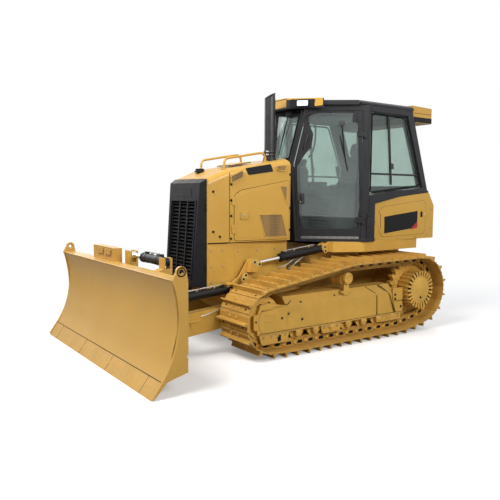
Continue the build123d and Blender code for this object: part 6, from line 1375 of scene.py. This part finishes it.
# %% Back of the blade
for number, y in enumerate((-1.16, -0.92, -0.66, 0.66, 0.92, 1.16)):
    rib = [(2.372, 0.300), (2.430, 0.330), (2.424, 0.470), (2.418, 0.640), (2.372, 0.660)]
    plate(f"blade_rib_{number}", rib, 0.014, side_plane(y), blade_paint, "blade", corner=0.006)
for side, sign in SIDES:
    for number, z in enumerate((0.30, 0.66)):
        plate(f"rib_pad_{number}_{side}", rect(-0.30, -0.022, 0.30, 0.022), 0.006, cross_plane(2.364, sign * 0.92, z),
              blade_paint, "blade", corner=0.006)
    turned(f"angle_pin_cap_{side}", [(0, 0.016), (0.020, 0.016), (0.026, 0.012), (0.028, 0.0), (0, 0.0)],
           Matrix.Translation(at(2.300, sign * 0.480, 0.646)), casting_paint, "blade", steps=18)
for number, y in enumerate((-0.23, -0.44)):
    plate(f"box_hatch_{number}", rect(-0.075, -0.030, 0.075, 0.030), 0.004, cross_plane(2.4115, y, 1.070),
          blade_paint, "blade", corner=0.008)
print("ribs", 6)

# %% [markdown]
# A cylinder is a black barrel with a gland nut where the rod comes out, and two ports. The
# pipe between the ports is clamped to the barrel, so it turns with it and never stretches.


# %% Cylinder fittings
def along(start, end, distance, side_step=0.0, up_step=0.0):
    """Frame whose third axis runs from start to end, at a distance from the start."""
    start, end = Vector(start), Vector(end)
    third = (end - start).normalized()
    first = Vector((0, 0, 1)).cross(third).normalized()
    second = third.cross(first)
    place = Vector((MID, 0, 0)) + start + third * distance + first * side_step + second * up_step
    return axes(place, first, second, third)


def dress_cylinder(name, start, end, length, radius, rod, body, pipe_side=1, foot=0.16):
    """Gland, wiper, bands, ports and a clamped pipe on one barrel."""
    gland = [(rod + 0.001, 0.0), (radius - 0.004, 0.0), (radius + 0.004, -0.005), (radius + 0.004, -0.034),
             (radius + 0.0005, -0.040), (rod + 0.001, -0.040)]
    turned(f"{name}_gland", gland, along(start, end, length + 0.004), black_paint, body, steps=28)
    wiper = [(rod + 0.0008, 0.006), (rod + 0.006, 0.006), (rod + 0.010, 0.0), (rod + 0.0008, 0.0)]
    turned(f"{name}_wiper", wiper, along(start, end, length + 0.004), rubber_and_shade, body)
    band = [(radius + 0.0005, 0.0), (radius + 0.003, 0.002), (radius + 0.003, 0.010), (radius + 0.0005, 0.012)]
    for number, share in enumerate((foot + 0.04, 0.78)):
        turned(f"{name}_band_{number}", band, along(start, end, length * share), black_paint, body, steps=28)
    for number, share in enumerate((foot, 0.90)):
        port = along(start, end, length * share, pipe_side * radius * 0.35, radius * 0.93)
        block(f"{name}_port_{number}", (-0.018, -0.008, -0.022), (0.018, 0.020, 0.022), black_paint, body,
              slot="cylinder_paint", place=port)
    run = [along(start, end, length * share, pipe_side * (radius * 0.35), radius + rise).translation
           for share, rise in ((foot + 0.01, 0.012), (foot + 0.04, 0.020), (0.55, 0.018), (0.86, 0.020),
                               (0.90, 0.012))]
    tube(f"{name}_pipe", run, 0.0065, zinc, body)
    for number, share in enumerate((foot + 0.16, 0.66)):
        clamp = along(start, end, length * share, pipe_side * (radius * 0.35), radius + 0.006)
        block(f"{name}_clamp_{number}", (-0.014, -0.010, -0.010), (0.014, 0.018, 0.010), zinc, body, edge=0.003,
              slot="cylinder_paint", place=clamp)


for side, sign in SIDES:
    dress_cylinder(f"lift_{side}", (0.006, sign * 0.447, 1.040), (0.988, sign * 0.447, 0.928), 0.655, 0.045, 0.022,
                   f"lift_barrel_{side}", -sign)
    dress_cylinder(f"angle_{side}", (1.320, sign * 0.413, 0.668), (2.300, sign * 0.480, 0.600), 0.640, 0.046, 0.024,
                   f"angle_barrel_{side}", sign)
dress_cylinder("tilt", (2.245, 0.760, 1.050), (2.245, 0.040, 1.050), 0.470, 0.044, 0.022, "tilt_barrel", -1, 0.24)
print("cylinders", 5)

# %% [markdown]
# Every pin is stopped from turning by a small key plate with two bolts. They are bright, so
# they catch the eye at each end of the lift cylinders.

# %% Key plates and linkage bolts
KEY_Y, PIPE_Y = 0.4885, 0.469
key_paint = finish("key_plate", (0.66, 0.52, 0.20), rough=0.34, metal=0.35, patch=0.08, grain=200, bump=0.1)


def key_plate(name, x, z, y, sign, angle, body, length=0.075):
    """Thin oblong plate over a pin's end, with two flat bolt heads that stay clear of the track."""
    lean = math.radians(angle)
    place = basis(at(x, sign * (y + 0.0018), z), (math.cos(lean), 0, math.sin(lean)))
    half = length / 2
    plate(name, rect(-half - 0.028, -0.026, half + 0.028, 0.026), 0.003, place, key_paint, body, corner=0.024)
    for number, d in enumerate((-half, half)):
        bolt_x, bolt_z = x + math.cos(lean) * d, z + math.sin(lean) * d
        pin(f"{name}_bolt_{number}", *side_line(sign, (bolt_x, y + 0.002, bolt_z), (bolt_x, y + 0.0055, bolt_z)),
            0.014, black_paint, body, steps=16)


for side, sign in SIDES:
    key_plate(f"rod_key_{side}", 1.000, 0.930, KEY_Y, sign, -158, "c_frame", 0.07)
    key_plate(f"barrel_key_{side}", 0.006, 1.036, KEY_Y, sign, 78, "root", 0.05)
    key_plate(f"slope_key_{side}", 1.165, 0.790, KEY_Y, sign, 128, "c_frame", 0.05)
    cap = [(0, 0.018), (0.046, 0.018), (0.056, 0.010), (0.058, -0.004), (0, -0.004)]
    turned(f"pivot_cap_{side}", cap, facing(0.350, sign * 0.482, 0.500, sign), casting_paint, steps=28)
    bolts(f"pivot_bolts_{side}", 0.010, side_ring(sign, 0.350, 0.499, 0.500, 0.034, (0.5, 2.6, 4.7)))
    arm = basis(at(1.78, sign * 0.4605, 0.358), (1, 0, 0.02))
    plate(f"hose_guard_{side}", [(-0.095, 0.040), (-0.060, 0.010), (0.075, 0.004), (0.100, 0.046), (0.085, 0.052),
                                 (0.060, 0.022), (-0.050, 0.028), (-0.075, 0.056)], 0.030, arm, frame_paint,
          "c_frame", corner=0.006, edge=0.003)
    plate(f"hose_guard_drop_{side}", [(-0.020, -0.050), (0.030, -0.055), (0.040, 0.012), (-0.028, 0.014)], 0.010, arm,
          frame_paint, "c_frame", corner=0.006)
    line = side_line(sign, (0.62, PIPE_Y, 0.600), (0.90, PIPE_Y, 0.585), (1.30, PIPE_Y, 0.520), (1.62, PIPE_Y, 0.432),
                     (1.70, PIPE_Y, 0.420))
    tube(f"arm_pipe_{side}", line, 0.007, zinc, "c_frame")
    for number, (x, z) in enumerate(((0.74, 0.594), (1.12, 0.545), (1.50, 0.465))):
        corners = side_line(sign, (x - 0.012, 0.458, z - 0.012), (x + 0.012, 0.480, z + 0.014))
        block(f"arm_clip_{number}_{side}", *corners, casting_paint, "c_frame", edge=0.003)
    arm_weld = side_line(sign, (1.862, 0.462, 0.250), (1.862, 0.462, 0.420))
    tube(f"arm_weld_{side}", arm_weld + [arm_weld[1] + Vector((0, 0, 0.01))], 0.005, frame_paint, "c_frame", order=2)
    feed = side_line(sign, (0.30, 0.354, 0.90), (0.36, 0.372, 0.93), (0.42, 0.384, 0.92), (0.52, 0.378, 0.86),
                     (0.60, 0.362, 0.84))
    tube(f"feed_pipe_{side}", feed, 0.008, zinc)
    second = side_line(sign, (0.18, 0.354, 0.94), (0.22, 0.374, 0.955), (0.30, 0.384, 0.93), (0.40, 0.378, 0.86),
                       (0.46, 0.362, 0.82))
    tube(f"feed_pipe_low_{side}", second, 0.008, zinc)
    for number, (x, z) in enumerate(((0.30, 0.90), (0.18, 0.94))):
        pin(f"feed_nut_{number}_{side}", at(x - 0.012, sign * 0.348, z - 0.006),
            at(x + 0.022, sign * 0.366, z + 0.012), 0.014, key_paint, steps=6)
print("key plates", 6)

# %% [markdown]
# The hull's sides are plain welded plate. Bolted covers over the engine, the nose and the
# drive break them up, and a dark strip, painted shade in the seam, marks where the hood starts.

# %% Hull details
HULL_SIDE = 0.3515
for side, sign in SIDES:
    hull = side_plane(sign * HULL_SIDE)
    plate(f"engine_cover_{side}", rect(0.62, 0.760, 1.20, 1.085), 0.008, hull, frame_paint, corner=0.03)
    bolts(f"engine_cover_bolts_{side}", 0.009, [side_spot(sign, x, 0.3555, z) for x in (0.66, 0.91, 1.16)
                                                for z in (0.79, 1.055)])
    # A dark strip: painted shade in the seam under the hood.
    plate(f"frame_seam_{side}", rect(0.49, 1.150, 1.545, 1.156), 0.003, hull, rubber_and_shade, edge=0)
    front = rect(1.34, 0.70, 1.53, 1.12)
    plate(f"nose_cover_{side}", front, 0.006, hull, frame_paint, corner=0.02)
    bolts(f"nose_cover_bolts_{side}", 0.009, [side_spot(sign, x, 0.3545, z) for x in (1.365, 1.505)
                                              for z in (0.74, 0.91, 1.08)])
    rear_hull = side_plane(sign * 0.337)
    plate(f"drive_cover_{side}", rect(-0.85, 0.62, -0.25, 0.94), 0.008, rear_hull, frame_paint, corner=0.03)
print("hull covers", 6)

# %% [markdown]
# Fuel and batteries sit in a housing that wraps round the back of the cab. On each side it has
# a door with a dark gap round it and a lock. The maker's panel is left as a blank black plate,
# and only the coloured stripe at its corner is kept.

# %% Rear housing
def tank_side(sign, out=0.0):
    """Plane of the rear housing's side: first axis forward, second up."""
    return side_plane(sign * (0.710 + out))


TANK_BOLT_Y = 0.7105
TANK_DOOR = [(-0.690, 1.500), (-0.720, 1.532), (-1.490, 1.612), (-1.530, 1.570), (-1.530, 1.215), (-1.500, 1.180),
             (-0.720, 1.165), (-0.690, 1.195)]
BLANK = [(-0.750, 1.195), (-0.748, 1.421), (-1.374, 1.486), (-1.377, 1.255)]
STRIPE = [(-1.372, 1.340), (-1.372, 1.260), (-1.300, 1.248), (-1.235, 1.243)]
for side, sign in SIDES:
    plates(side, sign, tank_side, "root", (
        # A dark band round the door: painted shade of its gap.
        ("tank_door_seam", shrink(TANK_DOOR, -0.003), 0.003, 0.0005, rubber_and_shade, dict(corner=0.018, rim=0.005)),
        ("tank_door", shrink(TANK_DOOR, 0.002), 0.006, 0.001, body_paint, dict(corner=0.016)),
        ("blank_rim", shrink(BLANK, -0.012), 0.008, 0.003, body_paint, dict(corner=0.018, rim=0.014)),
        ("blank_plate", BLANK, 0.005, 0.004, black_paint, dict(corner=0.014)),
        ("blank_stripe", STRIPE, 0.003, 0.006, red_paint, dict(edge=0.0005)),
        # The dark latch well is painted shade in its recess.
        ("tank_latch_well", [(-1.432, 1.392), (-1.432, 1.466), (-1.470, 1.469), (-1.470, 1.395)], 0.004,
         0.0035, rubber_and_shade, dict(corner=0.006)),
        ("tank_latch", [(-1.478, 1.394), (-1.478, 1.470), (-1.526, 1.474), (-1.526, 1.398)], 0.012, 0.007,
         body_paint, dict(corner=0.010)),
    ))
    pin(f"tank_lock_{side}", at(-1.502, sign * 0.720, 1.434), at(-1.502, sign * 0.728, 1.434), 0.011, zinc, steps=16)
    for number, z in enumerate((1.245, 1.475)):
        plate(f"tank_hinge_{number}_{side}", rect(-0.700, z - 0.03, -0.664, z + 0.03), 0.008, tank_side(sign, 0.005),
              body_paint, corner=0.006)
    bolts(f"tank_bolts_{side}", 0.008, [side_spot(sign, x, TANK_BOLT_Y, z)
                                        for x, z in ((-0.60, 1.15), (-0.60, 1.35), (-1.0, 1.145), (-1.35, 1.145),
                                                     (-1.58, 1.17), (-1.645, 1.50), (-1.645, 1.25))])
    edge_line = side_line(sign, (-0.566, TANK_BOLT_Y, 1.135), (-0.566, TANK_BOLT_Y, 1.560))
    tube(f"tank_edge_{side}", edge_line + [edge_line[1] + Vector((-0.004, 0, 0.004))], 0.005, body_paint, order=2)
    lamp_at = cross_plane(-1.700, sign * 0.60)
    plate(f"tail_lamp_{side}", rect(-0.055, 1.30, 0.055, 1.36), 0.006, lamp_at, red_lens, corner=0.012)
    plate(f"tail_bezel_{side}", rect(-0.063, 1.292, 0.063, 1.368), 0.010, lamp_at, black_paint, corner=0.014,
          rim=0.009, slot="dark_paint")
    hold = side_line(sign, (-1.630, 0.640, 1.665), (-1.655, 0.640, 1.715), (-1.655, 0.600, 1.722),
                     (-1.655, 0.42, 1.722), (-1.655, 0.38, 1.715), (-1.630, 0.38, 1.665))
    tube(f"rear_hold_{side}", hold, 0.010, body_paint)
rear_face = cross_plane(-1.7000)
REAR_DOOR = rect(-0.44, 1.16, 0.44, 1.50)
# A dark sheet showing round the door: painted shade of its gap.
plate("rear_door_seam", REAR_DOOR, 0.002, rear_face, rubber_and_shade, corner=0.03)
plate("rear_door", shrink(REAR_DOOR, 0.005), 0.005, rear_face, body_paint, corner=0.028)
plate("rear_screen", rect(-0.30, 1.22, 0.30, 1.40), 0.004, cross_plane(-1.7015), screen_sheet, corner=0.03)
plate("rear_screen_frame", rect(-0.312, 1.208, 0.312, 1.412), 0.007, cross_plane(-1.7015), body_paint, corner=0.036,
      rim=0.014)
bolts("rear_door_bolts", 0.006, [(at(-1.7000, y, z), (-1, 0, 0)) for y in (-0.40, 0.40) for z in (1.20, 1.33, 1.46)])
cap_at = Matrix.Translation(at(-1.30, 0.60, 1.676))
turned("fuel_cap", [(0, 0.040), (0.040, 0.040), (0.046, 0.034), (0.048, 0.006), (0.060, 0.0), (0.060, -0.03),
                    (0, -0.03)], cap_at, black_paint, steps=28)
turned("oil_cap", [(0, 0.034), (0.030, 0.034), (0.035, 0.028), (0.037, 0.004), (0.046, 0.0), (0.046, -0.03),
                   (0, -0.03)], Matrix.Translation(at(-1.30, -0.60, 1.676)), black_paint)
print("housing doors", 3)

# %% [markdown]
# The hull ends in a heavy plate with the hitch. A cover over the drive is held by a ring of
# bolts, and the hitch pin has a ring to pull it out by.

# %% Rear of the hull
HITCH_X = -1.565
tail = cross_plane(-1.481)
plate("tail_cover", rect(-0.26, 0.62, 0.26, 1.02), 0.012, tail, frame_paint, corner=0.05, edge=0.003)
bolts("tail_cover_bolts", 0.011, [(at(-1.487, y, z), (-1, 0, 0)) for y in (-0.22, -0.07, 0.07, 0.22)
                                  for z in (0.655, 0.985)])
plate("tail_pad", rect(-0.16, 0.40, 0.16, 0.58), 0.010, tail, frame_paint, corner=0.02)
bolts("tail_pad_bolts", 0.012, [(at(-1.486, y, z), (-1, 0, 0)) for y in (-0.135, 0.135) for z in (0.43, 0.555)])
pin("hitch_pin", at(HITCH_X, 0, 0.395), at(HITCH_X, 0, 0.575), 0.0195, worn_steel, steps=22)
turned("hitch_collar", [(0.0, 0.014), (0.026, 0.014), (0.030, 0.010), (0.030, 0.0), (0.0, 0.0)],
       Matrix.Translation(at(HITCH_X, 0, 0.556)), worn_steel, steps=22)
ring = [at(HITCH_X + 0.024 * math.cos(a), 0, 0.594 + 0.024 * math.sin(a))
        for a in (2 * math.pi * n / 10 for n in range(11))]
tube("hitch_ring", ring, 0.004, worn_steel)
for side, sign in SIDES:
    eye = facing(-1.36, sign * 0.343, 0.86, sign)
    turned(f"tie_ring_{side}", [(0.022, 0.006), (0.046, 0.006), (0.050, 0.0), (0.050, -0.008), (0.022, -0.008)], eye,
           frame_paint)
print("hitch pin", 1)

# %% [markdown]
# The driver sits between two consoles and steers with the left lever and works the blade with
# the right one. A dash with a small screen stands at the windscreen. All of it is moulded
# plastic, and shows as dark shapes behind the tinted glass.

# %% Inside the cab
for side, sign in SIDES:
    block(f"arm_pad_{side}", *side_line(sign, (-0.740, 0.285, 1.7915), (-0.400, 0.425, 1.845)), cloth, edge=0.022,
          segments=3, slot="interior_plastic")
    turned(f"lever_boot_{side}", [(0, 0.050), (0.012, 0.050), (0.018, 0.040), (0.030, 0.024), (0.042, 0.008),
                                  (0.046, 0.0), (0, 0.0)], Matrix.Translation(at(-0.330, sign * 0.355, 1.791)),
           rubber_and_shade, steps=20)
    stick = side_line(sign, (-0.330, 0.355, 1.82), (-0.322, 0.352, 1.88), (-0.318, 0.348, 1.925))
    tube(f"lever_{side}", stick, 0.010, moulded)
    grip = along((-0.318, sign * 0.348, 1.905), (-0.300, sign * 0.340, 2.03), 0.0)
    turned(f"lever_grip_{side}", [(0, 0.0), (0.016, 0.0), (0.022, 0.012), (0.019, 0.05), (0.025, 0.085),
                                  (0.023, 0.108), (0.012, 0.118), (0, 0.12)], grip, moulded, steps=20)
    plate(f"console_panel_{side}", rect(-0.300, -0.060, -0.245, 0.060), 0.006, flat_plane(0, sign * 0.355, 1.794),
          grey_trim, corner=0.01, slot="interior_plastic")
    step = basis(at(-0.02, sign * 0.085, 1.235), (1, 0, 0.5), (0, 1, 0))
    plate(f"pedal_{side}", rect(-0.045, -0.035, 0.055, 0.035), 0.012, step, rubber_and_shade, corner=0.012,
          slot="interior_plastic")
    pin(f"pedal_arm_{side}", at(-0.01, sign * 0.085, 1.232), at(0.03, sign * 0.085, 1.16), 0.008, worn_steel,
        slot="interior_plastic")
    belt = side_line(sign, (-0.70, 0.20, 1.655), (-0.62, 0.235, 1.640), (-0.58, 0.262, 1.60))
    tube(f"belt_stalk_{side}", belt, 0.009, rubber_and_shade)
block("dash_top", at(0.015, -0.165, 1.971), at(0.188, 0.165, 2.010), moulded, edge=0.016, segments=3,
      slot="interior_plastic")
screen = basis(at(0.035, 0.06, 2.045), (0, -1, 0), (-0.25, 0, 1))
plate("monitor", rect(-0.085, -0.055, 0.085, 0.055), 0.026, screen, moulded, corner=0.012, edge=0.003,
      slot="interior_plastic")
plate("monitor_glass", rect(-0.070, -0.042, 0.070, 0.042), 0.004,
      basis(at(0.0215, 0.06, 2.042), (0, -1, 0), (-0.25, 0, 1)), black_paint, corner=0.006, slot="interior_plastic")
plate("dash_panel", rect(-0.135, 1.60, 0.135, 1.90), 0.008, cross_plane(0.0095), grey_trim, corner=0.02,
      slot="interior_plastic")
plate("floor_mat", rect(-0.225, -0.22, -0.02, 0.22), 0.008, flat_plane(0, 0, 1.1545), rubber_and_shade, corner=0.02,
      slot="interior_plastic")
for number, z in enumerate((1.24, 1.285, 1.33, 1.375, 1.42)):
    block(f"seat_bellows_{number}", at(-0.765, -0.205, z), at(-0.355, 0.205, z + 0.030), rubber_and_shade, edge=0.012,
          slot="interior_plastic")
block("head_lining", at(-1.05, -0.52, 2.640), at(-0.20, 0.52, 2.660), grey_trim, edge=0.008, slot="interior_plastic")
print("levers", 2)

# %% [markdown]
# The seat is foam under cloth. A solid block with rounded edges looks like wood. So each pad
# starts a little too small, is given a fine even mesh and is blown up as a closed cloth bag.
# Its crown and its pulled-in corners then come from the cloth itself.


# %% Seat pads
def soft_pad(solid, share, cap, pressure=4.0):
    """Cushion made from a frame solid: shrunk, remeshed, inflated, and stopped at a cap."""
    obj = solid.copy()
    obj.data = solid.data.copy()
    bpy.context.scene.collection.objects.link(obj)
    obj.hide_render = False
    take(obj)
    mode("EDIT")
    mark("SELECT")
    bpy.ops.mesh.remove_doubles(threshold=1e-5)
    mode("OBJECT")
    corners = [v.co.copy() for v in obj.data.vertices]
    middle = sum(corners, Vector()) / len(corners)
    mode("EDIT")
    mark("SELECT")
    bpy.ops.transform.resize(value=(share, share, share), center_override=middle)
    mode("OBJECT")
    grid = obj.modifiers.new("grid", "REMESH")
    grid.mode = "VOXEL"
    grid.voxel_size = 0.006
    bpy.ops.object.modifier_apply(modifier=grid.name)
    start = [v.co.copy() for v in obj.data.vertices]
    bag = obj.modifiers.new("bag", "CLOTH")
    bag.settings.use_pressure = True
    bag.settings.uniform_pressure_force = pressure
    bag.settings.effector_weights.gravity = 0.0
    bag.settings.quality = 4
    bag.point_cache.frame_start = 1
    bag.point_cache.frame_end = 20
    for step_number in range(1, 21):
        bpy.context.scene.frame_set(step_number)
    take(obj)
    bpy.ops.object.modifier_apply(modifier=bag.name)
    bpy.context.scene.frame_set(1)
    for vertex, old in zip(obj.data.vertices, start):
        move = vertex.co - old
        if move.length > cap:
            vertex.co = old + move.normalized() * cap
    return obj


GROOVE, SWELL = 0.014, 0.014
for cad_name, name, share in (("seat_cushion", "cushion_pad", 0.955), ("seat_back", "back_pad", 0.965)):
    pad = soft_pad(NODES[cad_name], share, SWELL)
    for vertex in pad.data.vertices:
        x, y, z = vertex.co
        if name == "cushion_pad":
            groove = min(abs(abs(y) - 0.155), abs(x - (MID - 0.40)))
            outside, inward = z > 1.60, Vector((0, 0, -0.010))
        else:
            groove = min(abs(abs(y) - 0.150), abs(z - 2.22), abs(z - 1.80))
            in_front = (x - (MID - 0.80)) * 0.96 + (z - 1.644) * 0.28
            outside, inward = in_front > 0.02, Vector((-0.96, 0, -0.28)) * 0.009
        if outside and groove < GROOVE:
            vertex.co += inward * math.cos(groove / GROOVE * math.pi / 2)
    take(pad)
    smooth = pad.modifiers.new("smooth", "SUBSURF")
    smooth.levels = 1
    smooth.render_levels = 1
    bpy.ops.object.modifier_apply(modifier=smooth.name)
    settle(pad, name, cloth, "root", angle=60)
    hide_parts(cad_name)
    print(name, len(pad.data.polygons), "faces")
